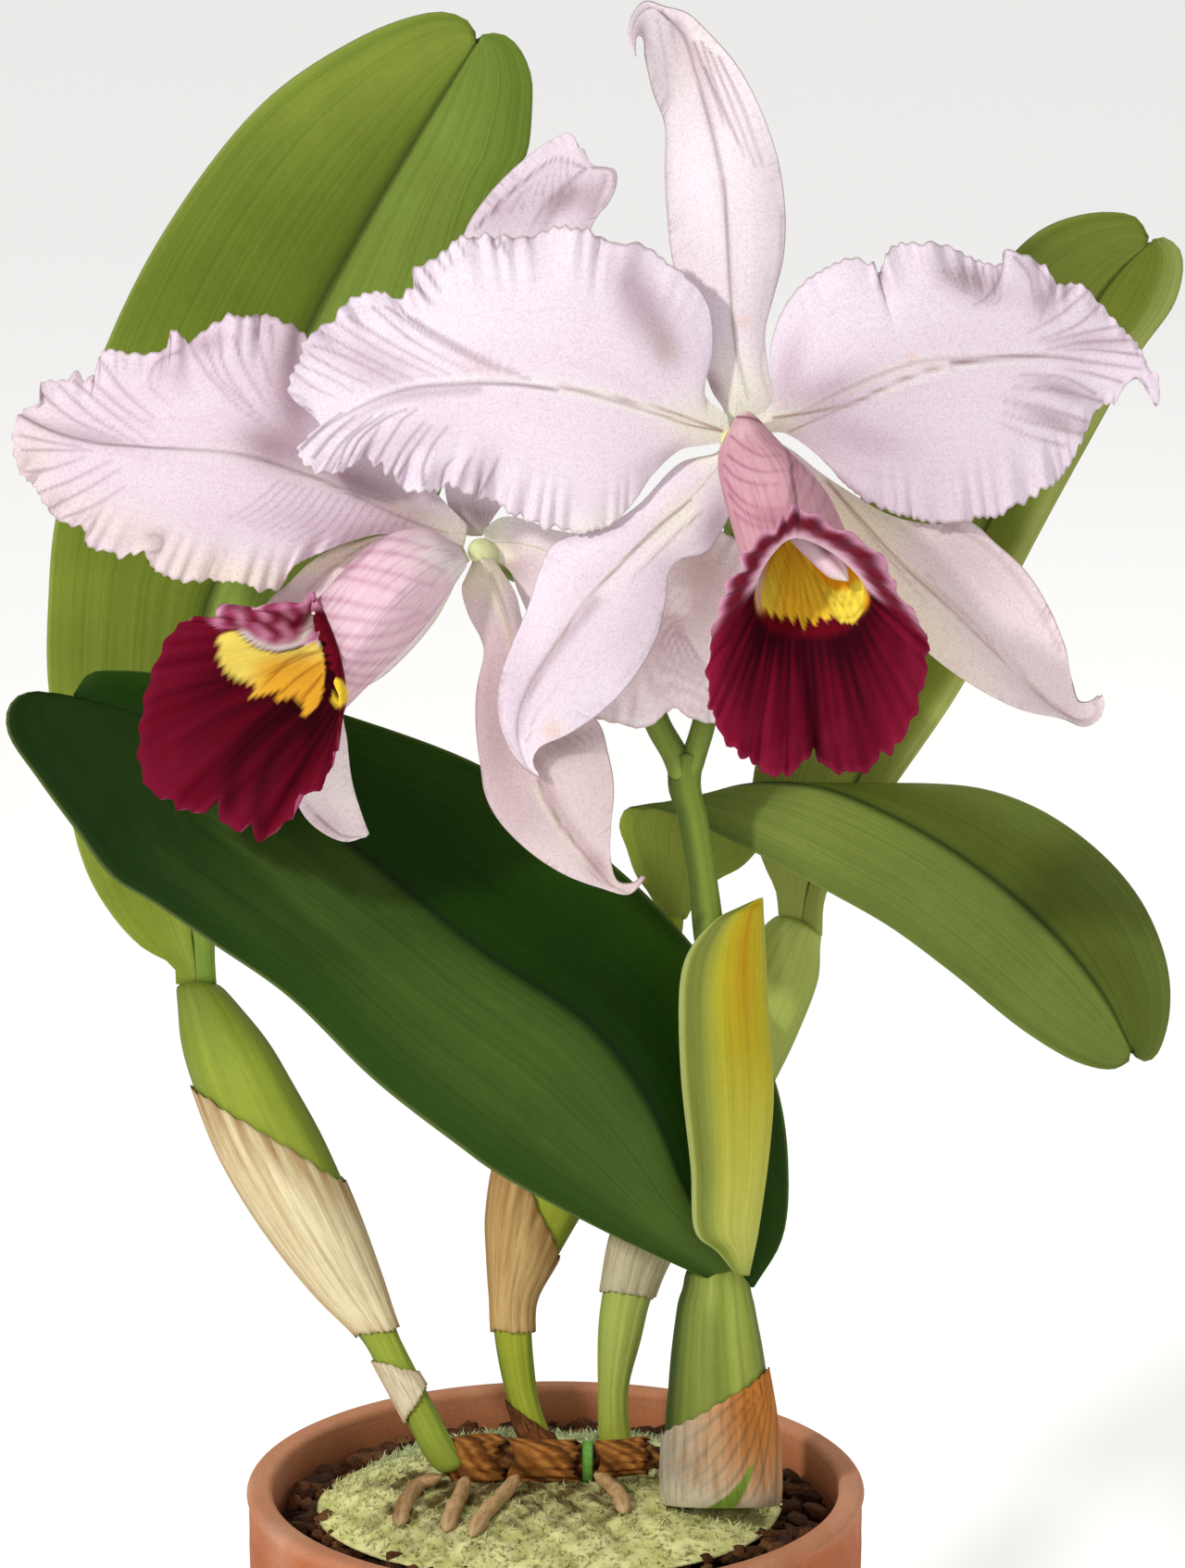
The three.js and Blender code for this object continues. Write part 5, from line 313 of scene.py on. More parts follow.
def new_mat(name, rough=0.55, sub=0.0, sheen=0.0, coat=0.0, spec=0.5):
    m = bpy.data.materials.new(name)
    m.use_nodes = True
    nt = m.node_tree
    nt.nodes.clear()
    out = nt.nodes.new("ShaderNodeOutputMaterial")
    p = nt.nodes.new("ShaderNodeBsdfPrincipled")
    nt.links.new(p.outputs[0], out.inputs[0])
    p.inputs["Roughness"].default_value = rough
    socket(p, "Specular IOR Level").default_value = spec
    if sub:
        p.inputs["Subsurface Weight"].default_value = sub
        p.inputs["Subsurface Radius"].default_value = (0.9, 0.6, 0.5)
        p.inputs["Subsurface Scale"].default_value = 0.002
    if sheen:
        p.inputs["Sheen Weight"].default_value = sheen
        p.inputs["Sheen Roughness"].default_value = 0.5
    if coat:
        p.inputs["Coat Weight"].default_value = coat
        p.inputs["Coat Roughness"].default_value = 0.35
    return m, nt, p

def nmath(nt, op, a, b=None, c=None, clamp=False):
    n = nt.nodes.new("ShaderNodeMath")
    n.operation = op
    n.use_clamp = clamp
    for i, x in enumerate((a, b, c)):
        if x is None:
            continue
        if isinstance(x, (int, float)):
            n.inputs[i].default_value = x
        else:
            nt.links.new(x, n.inputs[i])
    return n.outputs[0]

def uv_scaled(nt, su, sv, ou=0.0, ov=0.0):
    uv = nt.nodes.new("ShaderNodeUVMap")
    uv.uv_map = "UVMap"
    mp = nt.nodes.new("ShaderNodeMapping")
    mp.inputs["Scale"].default_value = (su, sv, 1)
    mp.inputs["Location"].default_value = (ou, ov, 0)
    nt.links.new(uv.outputs[0], mp.inputs[0])
    return mp.outputs[0]

def noise(nt, vec, scale, detail=3.0, rough=0.55, dist=0.0):
    n = nt.nodes.new("ShaderNodeTexNoise")
    n.inputs["Scale"].default_value = scale
    n.inputs["Detail"].default_value = detail
    n.inputs["Roughness"].default_value = rough
    n.inputs["Distortion"].default_value = dist
    if vec is not None:
        nt.links.new(vec, n.inputs["Vector"])
    return n.outputs[0]

def ramp(nt, val, stops):
    r = nt.nodes.new("ShaderNodeValToRGB")
    while len(r.color_ramp.elements) > len(stops):
        r.color_ramp.elements.remove(r.color_ramp.elements[-1])
    while len(r.color_ramp.elements) < len(stops):
        r.color_ramp.elements.new(1.0)
    for e, (pos, c) in zip(r.color_ramp.elements, stops):
        e.position = pos
        e.color = (*c, 1) if len(c) == 3 else c
    nt.links.new(val, r.inputs[0])
    return r.outputs[0]

def mixc(nt, mode, fac, a, b):
    n = nt.nodes.new("ShaderNodeMix")
    n.data_type = 'RGBA'
    n.blend_type = mode
    for sock, x in ((n.inputs[0], fac), (n.inputs[6], a), (n.inputs[7], b)):
        if isinstance(x, (int, float)):
            sock.default_value = x
        elif isinstance(x, (tuple, list, np.ndarray)):
            sock.default_value = (*[float(q) for q in x][:3], 1)
        else:
            nt.links.new(x, sock)
    return n.outputs[2]

def attr_col(nt):
    a = nt.nodes.new("ShaderNodeVertexColor")
    a.layer_name = "Col"
    return a.outputs[0]

def obj_coord(nt):
    return nt.nodes.new("ShaderNodeTexCoord").outputs["Object"]

def bump(nt, p, h, strength, dist):
    b = nt.nodes.new("ShaderNodeBump")
    b.inputs["Strength"].default_value = strength
    b.inputs["Distance"].default_value = dist
    nt.links.new(h, b.inputs["Height"])
    nt.links.new(b.outputs[0], p.inputs["Normal"])
    return b

def plant_mat(name, su, sv, dark, lo=0.45, hi=0.62, amount=0.5, speck=0.12, bumpd=0.00015, **kw):
    """colour from the piece, fine veins that run along it, faint mottling and grain"""
    m, nt, p = new_mat(name, **kw)
    col = attr_col(nt)
    v = noise(nt, uv_scaled(nt, su, sv), 1.0, 3.0, 0.6, 0.15)
    line = ramp(nt, v, [(lo, (1, 1, 1)), (hi, tuple(dark)), (1.0, tuple(dark))])
    c = mixc(nt, 'MULTIPLY', amount, col, line)
    blot = noise(nt, obj_coord(nt), 38.0, 4.0, 0.6)
    bl = ramp(nt, blot, [(0.3, (1 - speck,) * 3), (0.7, (1 + 0.0, 1.0, 1.0))])
    c = mixc(nt, 'MULTIPLY', 1.0, c, bl)
    fine = noise(nt, obj_coord(nt), 900.0, 2.0, 0.6)
    fl = ramp(nt, fine, [(0.35, (0.93, 0.93, 0.93)), (0.65, (1, 1, 1))])
    c = mixc(nt, 'MULTIPLY', 0.8, c, fl)
    nt.links.new(c, p.inputs["Base Color"])
    r = nmath(nt, 'MULTIPLY_ADD', blot, 0.2, kw.get('rough', 0.55) - 0.1)
    nt.links.new(r, p.inputs["Roughness"])
    h = nmath(nt, 'MULTIPLY_ADD', v, -1.0, 1.0)
    h = nmath(nt, 'MULTIPLY_ADD', fine, 0.15, h)
    bump(nt, p, h, 0.6, bumpd)
    return m

def petal_mat(name):
    """pale tissue: veins along it, short folds running in from the margin with painted shade in them, a stippled grain
    """
    m, nt, p = new_mat(name, rough=0.6, sub=0.10, sheen=0.08, spec=0.22)
    col = attr_col(nt)
    v = noise(nt, uv_scaled(nt, 2.2, 44.0), 1.0, 3.0, 0.6, 0.15)
    c = mixc(nt, 'MULTIPLY', 0.2, col, ramp(nt, v, [(0.47, (1, 1, 1)), (0.66, (0.82, 0.74, 0.79)), (1.0, (0.82, 0.74, 0.79))]))
    uv = nt.nodes.new("ShaderNodeUVMap")
    uv.uv_map = "UVMap"
    sx = nt.nodes.new("ShaderNodeSeparateXYZ")
    nt.links.new(uv.outputs[0], sx.inputs[0])
    e = nmath(nt, 'ABSOLUTE', nmath(nt, 'MULTIPLY_ADD', sx.outputs[1], 2.0, -1.0))
    e = nmath(nt, 'MULTIPLY', nmath(nt, 'SUBTRACT', e, 0.55), 2.3, clamp=True)
    e = nmath(nt, 'MULTIPLY', e, nmath(nt, 'MULTIPLY_ADD', sx.outputs[0], 3.2, -0.9, clamp=True))
    f = noise(nt, uv_scaled(nt, 74.0, 3.2, 0.7, 0.3), 1.0, 2.0, 0.5, 0.4)
    f = ramp(nt, f, [(0.53, (0, 0, 0)), (0.68, (1, 1, 1))])
    some = ramp(nt, noise(nt, uv_scaled(nt, 6.5, 1.3, 0.4, 0.9), 1.0, 1.0, 0.5), [(0.44, (0.12, 0.12, 0.12)), (0.58, (1, 1, 1))])
    m1 = nmath(nt, 'MULTIPLY', nmath(nt, 'MULTIPLY', e, nmath(nt, 'MULTIPLY', f, some)), 0.46)
    # the fold marks near the margin take a mauve tone: painted shade in the creases
    c = mixc(nt, 'MIX', m1, c, srgb('#AF97A4'))
    st = noise(nt, obj_coord(nt), 2300.0, 2.0, 0.7)
    c = mixc(nt, 'MULTIPLY', 0.9, c, ramp(nt, st, [(0.34, (0.84, 0.80, 0.82)), (0.56, (1, 1, 1))]))
    nt.links.new(c, p.inputs["Base Color"])
    nt.links.new(nmath(nt, 'MULTIPLY_ADD', st, 0.2, 0.5), p.inputs["Roughness"])
    h = nmath(nt, 'MULTIPLY_ADD', v, -0.3, nmath(nt, 'MULTIPLY', m1, -2.2))
    h = nmath(nt, 'MULTIPLY_ADD', st, 0.12, h)
    bump(nt, p, h, 0.6, 0.00018)
    return m

# ---------- palette ----------
LILAC = srgb('#EFE2ED'); LILAC2 = srgb('#E2CEE0'); CREAM = srgb('#F1EEDC'); TAUPE = srgb('#C2AAB8'); TAUPE_D = srgb('#9C8590')
RIMC = srgb('#A38B7E'); PINK = srgb('#DDAFC0'); PINK_D = srgb('#BE7F9B'); CRIM = srgb('#6A061C'); CRIM_D = srgb('#2A020A'); CRIM_L = srgb('#7C142E')
FRILL = srgb('#D79ABA'); YEL = srgb('#FBE650'); ORA = srgb('#F2A51C'); WHITE = srgb('#F5EEEE')
G_D = srgb('#173010'); G_M = srgb('#3B6432'); G_L = srgb('#5E8A3A'); G_Y = srgb('#8DAA45'); G_O = srgb('#4F7222')

M_PETAL = petal_mat("petal")
M_LIP = plant_mat("lip_velvet", 5.0, 60.0, (0.6, 0.42, 0.48), 0.48, 0.7, 0.5, 0.12, 0.0002, rough=0.75, sheen=0.0, spec=0.03)
M_COLUMN = plant_mat("column", 2.0, 14.0, (0.75, 0.6, 0.66), 0.5, 0.7, 0.5, 0.05, 0.0001, rough=0.4, sub=0.15, spec=0.4)
M_LEAF = plant_mat("leaf", 1.6, 70.0, (0.60, 0.66, 0.5), 0.42, 0.68, 0.6, 0.2, 0.00012, rough=0.5, coat=0.0, spec=0.07)
M_BULB = plant_mat("pseudobulb", 1.4, 26.0, (0.62, 0.68, 0.5), 0.45, 0.7, 0.55, 0.16, 0.0002, rough=0.48, coat=0.0, spec=0.12)
M_STEM = plant_mat("green_stem", 1.4, 16.0, (0.62, 0.68, 0.5), 0.45, 0.7, 0.5, 0.16, 0.00015, rough=0.48, coat=0.0, spec=0.12)
M_SHEATH = plant_mat("papery_sheath", 1.6, 44.0, (0.60, 0.48, 0.34), 0.44, 0.66, 0.75, 0.16, 0.0003, rough=0.7, spec=0.1)
M_SPATHE = plant_mat("spathe", 1.3, 34.0, (0.66, 0.62, 0.36), 0.45, 0.7, 0.55, 0.1, 0.0002, rough=0.5, sub=0.05, spec=0.12)
M_SCALE = plant_mat("brown_scale", 3.0, 40.0, (0.35, 0.25, 0.16), 0.4, 0.6, 0.9, 0.4, 0.0006, rough=0.85, spec=0.2)
M_ROOT = plant_mat("root", 8.0, 12.0, (0.6, 0.5, 0.38), 0.42, 0.65, 0.7, 0.3, 0.0003, rough=0.8, spec=0.2)

# ---------- tubes ----------
def ell_grid(rows, k, s, ang, off=0.0):
    """points on a tube given by its two outlines; off in mm, scalar or per point"""
    q = stations(rows, s)
    A = place(q[..., 0], q[..., 1], q[..., 4])
    B = place(q[..., 2], q[..., 3], q[..., 4])
    C, Hv = (A + B) / 2, (B - A) / 2
    w = np.linalg.norm(Hv, axis=-1, keepdims=True)
    off = np.broadcast_to(np.asarray(off, float), np.shape(ang))[..., None] / 1000
    return C + Hv * np.cos(ang)[..., None] * (1 + off / w) + BACK * np.sin(ang)[..., None] * (w * k + off)

def closed_tube(name, X, UV, C, mat, node):
    """X (n,m,3) rings, both ends closed by a dome point"""
    n, m = X.shape[:2]
    V = np.vstack([X.reshape(-1, 3), X[0].mean(0), X[-1].mean(0)])
    j = np.arange(m)
    q = grid_quads(n, m, 0, wrap=True)
    a = np.stack([np.full(m, n * m), (j + 1) % m, j], -1)
    b = np.stack([np.full(m, n * m + 1), (n - 1) * m + j, (n - 1) * m + (j + 1) % m], -1)
    cen = X.reshape(-1, 3).mean(0)
    e1, e2 = X[1, 0] - X[0, 0], X[0, 1] - X[0, 0]
    if np.dot(np.cross(e1, e2), X[0, 0] - X[0].mean(0)) > 0:
        pass
    # orientation: outward normals
    nn = np.cross(X[n // 2 + 1, 0] - X[n // 2, 0], X[n // 2, 1] - X[n // 2, 0])
    out = X[n // 2, 0] - X[n // 2].mean(0)
    if np.dot(nn, out) > 0:
        q, a, b = q[:, ::-1], a[:, ::-1], b[:, ::-1]
    uv = np.vstack([UV.reshape(-1, 2), UV[0].mean(0), UV[-1].mean(0)])
    col = np.vstack([C.reshape(-1, 3), C[0].mean(0), C[-1].mean(0)])
    return make_mesh(name, V, [q, a, b], uv, col, mat, node)

def ring_params(ns, nr, s0=0.0, s1=1.0):
    s = np.linspace(s0, s1, ns)
    a = np.linspace(0, 2 * np.pi, nr, endpoint=False)
    return np.meshgrid(s, a, indexing='ij')

def round_ends(X, n_end, amount=1.0):
    """draw the last rings in to make domed ends"""
    n = len(X)
    for i in range(n_end):
        f = math.sin(math.pi / 2 * ((i + 0.35) / n_end))
        for idx in (i, n - 1 - i):
            c = X[idx].mean(0)
            X[idx] = c + (X[idx] - c) * (1 - amount + amount * f)
    return X

def bulb(name, rows, k, colour, node, ribs=0.25, nrib=11, ends=3):
    SS, AA = ring_params(70, 60)
    off = ribs * np.abs(np.sin(nrib * AA / 2 + 0.6 * np.sin(3 * SS))) * np.sin(np.pi * np.clip(SS, 0, 1)) ** 0.5 - ribs * 0.6
    off = off + 0.12 * wob(SS * 1.3 + 0.2 * np.sin(AA), 3, 4, 1.5)
    X = ell_grid(rows, k, SS, AA, off)
    X = round_ends(X, ends, 0.7)
    C = colour(SS, AA)
    return closed_tube(name, X, np.stack([SS, AA / (2 * np.pi)], -1), C, M_BULB, node)

def tube_col(lit_front, shaded_side, top=None, bottom=None, side_bias=0.0):
    def f(SS, AA):
        # painted shade: the sides of the tube are darker than its front
        side = np.abs(np.cos(AA + side_bias)) ** 3
        c = mix(np.broadcast_to(lit_front, SS.shape + (3,)), shaded_side, side * 0.75)
        if top is not None:
            c = mix(c, top, sstep(0.25, 0.0, SS) * 0.8)
        if bottom is not None:
            c = mix(c, bottom, sstep(0.75, 1.0, SS) * 0.8)
        return c
    return f

def shell(name, rows, k, frm, to, ns, nr, gap, thick, colour, mat, node, puff=0.0, depth_extra=0.0):
    """a papery sheath: closed shell around a tube; frm and to give its start and end for each angle"""
    i = np.linspace(0, 1, ns)
    a = np.linspace(0, 2 * np.pi, nr, endpoint=False)
    II, AA = np.meshgrid(i, a, indexing='ij')
    SS = frm(AA) + (to(AA) - frm(AA)) * II
    wave = puff * (0.5 + 0.5 * np.sin(13 * AA + 2 * II)) * (0.3 + 0.7 * II)
    O = ell_grid(rows, k, SS, AA, gap + thick + wave)
    I = ell_grid(rows, k, SS, AA, gap + wave)
    V = np.vstack([O.reshape(-1, 3), I.reshape(-1, 3)])
    o = ns * nr
    q1 = grid_quads(ns, nr, 0, wrap=True)
    q2 = grid_quads(ns, nr, o, wrap=True, flip=True)
    j = np.arange(nr)
    j2 = (j + 1) % nr
    e1 = np.stack([j, o + j, o + j2, j2], -1)
    e2 = np.stack([(ns - 1) * nr + j, (ns - 1) * nr + j2, o + (ns - 1) * nr + j2, o + (ns - 1) * nr + j], -1)
    nn = np.cross(O[1, 0] - O[0, 0], O[0, 1] - O[0, 0])
    qs = [q1, q2, e1, e2]
    if np.dot(nn, O[0, 0] - O[0].mean(0)) > 0:
        qs = [q[:, ::-1] for q in qs]
    C = colour(II, AA)
    # the inner face takes the outer colour darkened: painted shade
    CI = C * 0.7
    uv = np.stack([II, AA / (2 * np.pi)], -1).reshape(-1, 2)
    ids = np.arange(len(q1) + len(q2), len(q1) + len(q2) + 2 * nr)
    return make_mesh(name, V, qs, np.vstack([uv, uv]), np.vstack([C.reshape(-1, 3), CI.reshape(-1, 3)]), mat, node, flat=ids, corner_col=(ids, srgb('#6B4A2C')))

def stem(name, pts, radii, ns, nr, colour, mat, node, bumps=None, ends=3, dome=0.85):
    P = crom(pts, 14)
    s = np.linspace(0, 1, ns)
    seg = np.linalg.norm(np.diff(P, axis=0), axis=1)
    c = np.concatenate([[0], np.cumsum(seg)]) / seg.sum()
    C = np.stack([np.interp(s, c, P[:, k]) for k in range(3)], -1)
    T = np.gradient(C, axis=0)
    T /= np.linalg.norm(T, axis=1, keepdims=True)
    r = profile(radii, s) / 1000
    n1 = np.array([1.0, 0, 0])
    A = np.linspace(0, 2 * np.pi, nr, endpoint=False)
    X = np.zeros((ns, nr, 3))
    for i in range(ns):
        n1 = n1 - T[i] * np.dot(n1, T[i])
        n1 /= np.linalg.norm(n1)
        n2 = np.cross(T[i], n1)
        rr = r[i] * (1 + (bumps(s[i], A) if bumps else 0))
        X[i] = C[i] + np.outer(np.cos(A) * rr, n1) + np.outer(np.sin(A) * rr, n2)
    X = round_ends(X, ends, dome)
    SS, AA = np.meshgrid(s, A, indexing='ij')
    return closed_tube(name, X, np.stack([SS, AA / (2 * np.pi)], -1), colour(SS, AA), mat, node)

# ---------- marks drawn on a surface ----------
def poly_sd(u, v, poly):
    """signed distance to a polygon, positive inside"""
    P = np.asarray(poly, float)
    Q = np.roll(P, -1, axis=0)
    d = np.full(u.shape, 1e9)
    inside = np.zeros(u.shape, bool)
    for (x1, y1), (x2, y2) in zip(P, Q):
        ex, ey = x2 - x1, y2 - y1
        t = np.clip(((u - x1) * ex + (v - y1) * ey) / (ex * ex + ey * ey + 1e-9), 0, 1)
        d = np.minimum(d, np.hypot(u - x1 - t * ex, v - y1 - t * ey))
        if y1 != y2:
            inside ^= ((y1 > v) != (y2 > v)) & (u < (x2 - x1) * (v - y1) / (y2 - y1) + x1)
    return np.where(inside, d, -d)

def line_sd(u, v, pts):
    """distance to a smooth line and how far along it"""
    P = crom(pts, 6) if len(pts) > 2 else np.asarray(pts, float)
    seg = np.hypot(*np.diff(P, axis=0).T)
    c0 = np.concatenate([[0], np.cumsum(seg)])
    best = np.full(u.shape, 1e9)
    s = np.zeros(u.shape)
    for i in range(len(P) - 1):
        (x1, y1), (x2, y2) = P[i], P[i + 1]
        ex, ey = x2 - x1, y2 - y1
        t = np.clip(((u - x1) * ex + (v - y1) * ey) / (ex * ex + ey * ey + 1e-9), 0, 1)
        d = np.hypot(u - x1 - t * ex, v - y1 - t * ey)
        m = d < best
        best = np.where(m, d, best)
        s = np.where(m, (c0[i] + t * seg[i]) / c0[-1], s)
    return best, s

def marks(C, u, v, strokes=(), spots=(), keep=1.0):
    for cu, cv, ru, rv, ang, amt, col in spots:
        a = math.radians(ang)
        x, y = u - cu, v - cv
        xr, yr = x * math.cos(a) + y * math.sin(a), -x * math.sin(a) + y * math.cos(a)
        C = mix(C, srgb(col), keep * amt * np.exp(-(xr / ru) ** 2 - (yr / rv) ** 2))
    for wd, amt, col, pts in strokes:
        d, s = line_sd(u, v, pts)
        C = mix(C, srgb(col), keep * amt * np.exp(-(d / wd) ** 2) * (1 - 0.55 * s ** 1.5))
    return C

# ---------- petals and sepals ----------
def ruffle_fn(seed, amp, freq, start=0.45, fold=0.0):
    def f(SS, TT, uv):
        a = np.abs(TT)
        e = sstep(start, 1.0, a)
        side = np.where(TT < 0, 0.0, 3.7)
        ph = SS * freq + side
        w = np.sin(2 * np.pi * (ph + 0.22 * np.sin(2 * np.pi * ph * 0.37 + seed)))
        w2 = np.sin(2 * np.pi * (ph * 2.3 + 0.4 * np.sin(2 * np.pi * ph * 0.61 + seed * 1.7)))
        env = 0.52 + 0.48 * np.sin(2 * np.pi * (SS * 1.7 + side + seed * 0.13))
        broad = 0.6 * np.sin(2 * np.pi * (SS * 1.6 + side * 0.3 + seed * 0.21)) * a ** 1.5
        return amp * (w * env + 0.4 * w2) * e ** 1.3 * sstep(0.12, 0.48, SS) + broad + fold * a ** 2
    return f

def petal_colour(base_len=0.16, shade=0.5, warm=0.0, seed=1, mid_w=0.05, side_shade=(0.0, 0.0), edge=0.62):
    def f(SS, TT):
        a = np.abs(TT)
        c = np.broadcast_to(LILAC, SS.shape + (3,)).copy()
        blot = 0.5 + 0.5 * wob(SS * 0.9 + 0.35 * TT, seed, 4, 0.9)
        c = mix(c, LILAC2, 0.35 * blot)
        if warm:
            c = mix(c, srgb('#EFE3DE'), warm)
        c = mix(c, CREAM, sstep(base_len, base_len * 0.25, SS) * 0.9)
        # the cream midrib near the base, with mauve shading beside it
        c = mix(c, CREAM, sstep(0.10, 0.02, a) * sstep(0.75, 0.05, SS) * 0.7)
        shad = np.exp(-((a - 0.16) / 0.13) ** 2) * sstep(0.95, 0.15, SS) * sstep(0.0, 0.08, SS)
        c = mix(c, TAUPE, shade * 0.55 * shad)
        c = mix(c, TAUPE_D, 0.45 * sstep(mid_w * 0.5, 0.0, a) * sstep(1.0, 0.2, SS))
        ss = np.where(TT < 0, side_shade[0], side_shade[1])
        c = mix(c, TAUPE, ss * sstep(0.95, 0.3, a) * 0.6)
        c = mix(c, srgb('#8E7A6E'), edge * sstep(0.972, 0.998, a))
        return c
    return f

def petal(name, spec, node, ns, nt, ruffle, colour, strokes=(), spots=(), th=0.5, jag=0.0, seed=1, tint=(1, 1, 1)):
    X, SS, TT, uv = blade_grid(spec, ns, nt, ruffle, jag=jag, seed=seed)
    C0 = colour(SS, TT)
    C = np.clip(marks(C0, uv[..., 0], uv[..., 1], strokes, spots) * np.array(tint), 0, 1)
    B = mix(C0, C, 0.35) * 0.94
    H = (th * (0.5 + 0.5 * np.cos(np.clip(np.abs(TT), 0, 1) * 1.4)) * 0.5) / 1000
    UV = np.stack([SS, TT * 0.5 + 0.5], -1)
    return sheet(name, X, H, UV, C, B, M_PETAL, node, rim=RIMC)

def toned(fn, base, tip, s0=0.15, s1=0.6):
    def f(s, a):
        return np.clip(fn(s, a) * mix(np.broadcast_to(np.array(base, float), s.shape + (3,)), np.array(tip, float), sstep(s0, s1, s)), 0, 1)
    return f

# ---------- lips ----------
def ring_curve(keys, th):
    K = np.asarray(keys, float)
    n = len(K)
    ext = np.vstack([K[-3:] - [360, 0, 0, 0], K, K[:3] + [360, 0, 0, 0]])
    D = []
    for i in range(1, len(ext) - 2):
        a, b, c, d = ext[i - 1], ext[i], ext[i + 1], ext[i + 2]
        for f in np.linspace(0, 1, 8, endpoint=False):
            D.append(0.5 * (2 * b + (c - a) * f + (2 * a - 5 * b + 4 * c - d) * f * f + (3 * b - a - 3 * c + d) * f ** 3))
    D = np.array(D)
    D[:, 0] = np.maximum.accumulate(D[:, 0])
    return np.stack([np.interp(th, D[:, 0], D[:, k]) for k in (1, 2, 3)], -1)

def lip_piece(name, rings, node, shape, paint, nw=(60, 34), nr=216):
    th = np.linspace(0, 360, nr, endpoint=False)
    R = [ring_curve(r, th) for r in rings]
    w = np.concatenate([np.linspace(0, 3, nw[0], endpoint=False), np.linspace(3, 4, nw[1])])
    rows = []
    for x in w:
        if x < 3:
            i = int(x)
            f = x - i
            a, b, c, d = R[max(0, i - 1)], R[i], R[i + 1], R[min(3, i + 2)]
            rows.append(0.5 * (2 * b + (c - a) * f + (2 * a - 5 * b + 4 * c - d) * f * f + (3 * b - a - 3 * c + d) * f ** 3))
        else:
            f = x - 3
            q = R[3] + (R[4] - R[3]) * f
            q = q.copy()
            q[:, 2] += 2.0 * 4 * f * (1 - f)
            rows.append(q)
    G = np.array(rows)
    WW, TH = np.meshgrid(w, th, indexing='ij')
    G = shape(G, WW, TH)
    X = place(G[..., 0], G[..., 1], G[..., 2])
    N = grid_normals(X, wrap=True)
    k = int(nr / 2)
    if N[-20, k] @ BACK < 0:
        N = -N
        flip = True
    else:
        flip = False
    H = 0.00025
    I = (X + N * H).reshape(-1, 3)
    O = (X - N * H).reshape(-1, 3)
    n = len(w)
    o = n * nr
    qi = grid_quads(n, nr, 0, wrap=True, flip=flip)
    qo = grid_quads(n, nr, o, wrap=True, flip=not flip)
    j = np.arange(nr)
    j2 = (j + 1) % nr
    e0 = np.stack([j, o + j, o + j2, j2], -1)
    e1 = np.stack([(n - 1) * nr + j, (n - 1) * nr + j2, o + (n - 1) * nr + j2, o + (n - 1) * nr + j], -1)
    if not flip:
        e0, e1 = e0[:, ::-1], e1[:, ::-1]
    e0, e1 = e0[:, ::-1], e1[:, ::-1]
    ci, co = paint(G[..., 0], G[..., 1], WW, TH)
    uv = np.stack([(WW / 4), TH / 360], -1).reshape(-1, 2)
    ids = np.arange(len(qi) + len(qo), len(qi) + len(qo) + 2 * nr)
    return make_mesh(name, np.vstack([I, O]), [qi, qo, e0, e1], np.vstack([uv, uv]), np.vstack([ci.reshape(-1, 3), co.reshape(-1, 3)]), M_LIP, node, flat=ids)

def wrap180(t):
    return (t + 180) % 360 - 180

def radial_veins(TH, WW, seed, n=34):
    r = np.random.RandomState(seed)
    out = np.zeros(TH.shape)
    for i in range(n):
        c = (i + 0.6 * (r.rand() - 0.5)) * 360.0 / n
        wd = 1.6 + 2.4 * r.rand()
        bend = 6 * (r.rand() - 0.5) * (WW - 3)
        out = np.maximum(out, np.exp(-(wrap180(TH - c - bend) / wd) ** 2) * (0.35 + 0.65 * r.rand()))
    return out

def lip_a_shape(G, WW, TH):
    f = np.clip(WW - 3, 0, 1)
    t = wrap180(TH)
    top = sstep(95, 60, np.abs(t))
    lobe = 1 - top
    G = G.copy()
    cu, cv = 880, 640
    du, dv = G[..., 0] - cu, G[..., 1] - cv
    ln = np.hypot(du, dv) + 1e-6
    fr = np.sin(np.radians(TH * 24) + 1.3 * np.sin(np.radians(TH * 5)))
    fr2 = np.cos(np.radians(TH * 24) + 1.3 * np.sin(np.radians(TH * 5)))
    G[..., 2] += top * f ** 1.3 * 1.3 * fr + top * f * 1.0
    rad = top * f ** 2 * 3.5 * fr2
    pl = np.sin(np.radians(TH * 17) + 0.9 * np.sin(np.radians(TH * 4 + 40)))
    pl2 = np.sin(np.radians(TH * 41) + 1.1 * np.sin(np.radians(TH * 7)))
    G[..., 2] += lobe * (0.9 * pl * f ** 1.4 + 0.5 * pl2 * f ** 2.5 - 2.6 * np.exp(-((TH - 186) / 15.0) ** 2) * f ** 1.2 - 2.2 * np.maximum(0, f - 0.75) * 4 * 0.5)
    rad = rad + lobe * f ** 3 * (2.4 * np.sin(np.radians(TH * 31) + 1.2 * np.sin(np.radians(TH * 6))) + 1.6 * np.sin(np.radians(TH * 53)))
    rad = rad - f ** 3 * (9 * np.exp(-((TH - 180) / 2.0) ** 2) + 7 * np.exp(-((TH - 142) / 2.0) ** 2) + 7 * np.exp(-((TH - 222) / 2.2) ** 2) + 6 * np.exp(-((TH - 118) / 2.0) ** 2))
    G[..., 0] += du / ln * rad
    G[..., 1] += dv / ln * rad
    # the left side lobe laps over the right one along the top of the tube
    seam = np.interp(WW, [0, 0.6, 1.1, 1.6, 2.0, 2.6, 3.2], [0, 0, -50, -35, -10, -2, 0])
    over = wrap180(TH - seam)
    lift = np.where((over > 0) & (over < 120), np.exp(-over / 55.0), 0) * sstep(0.35, 0.8, WW) * sstep(3.3, 2.8, WW)
    G[..., 2] += 1.1 * lift
    return G

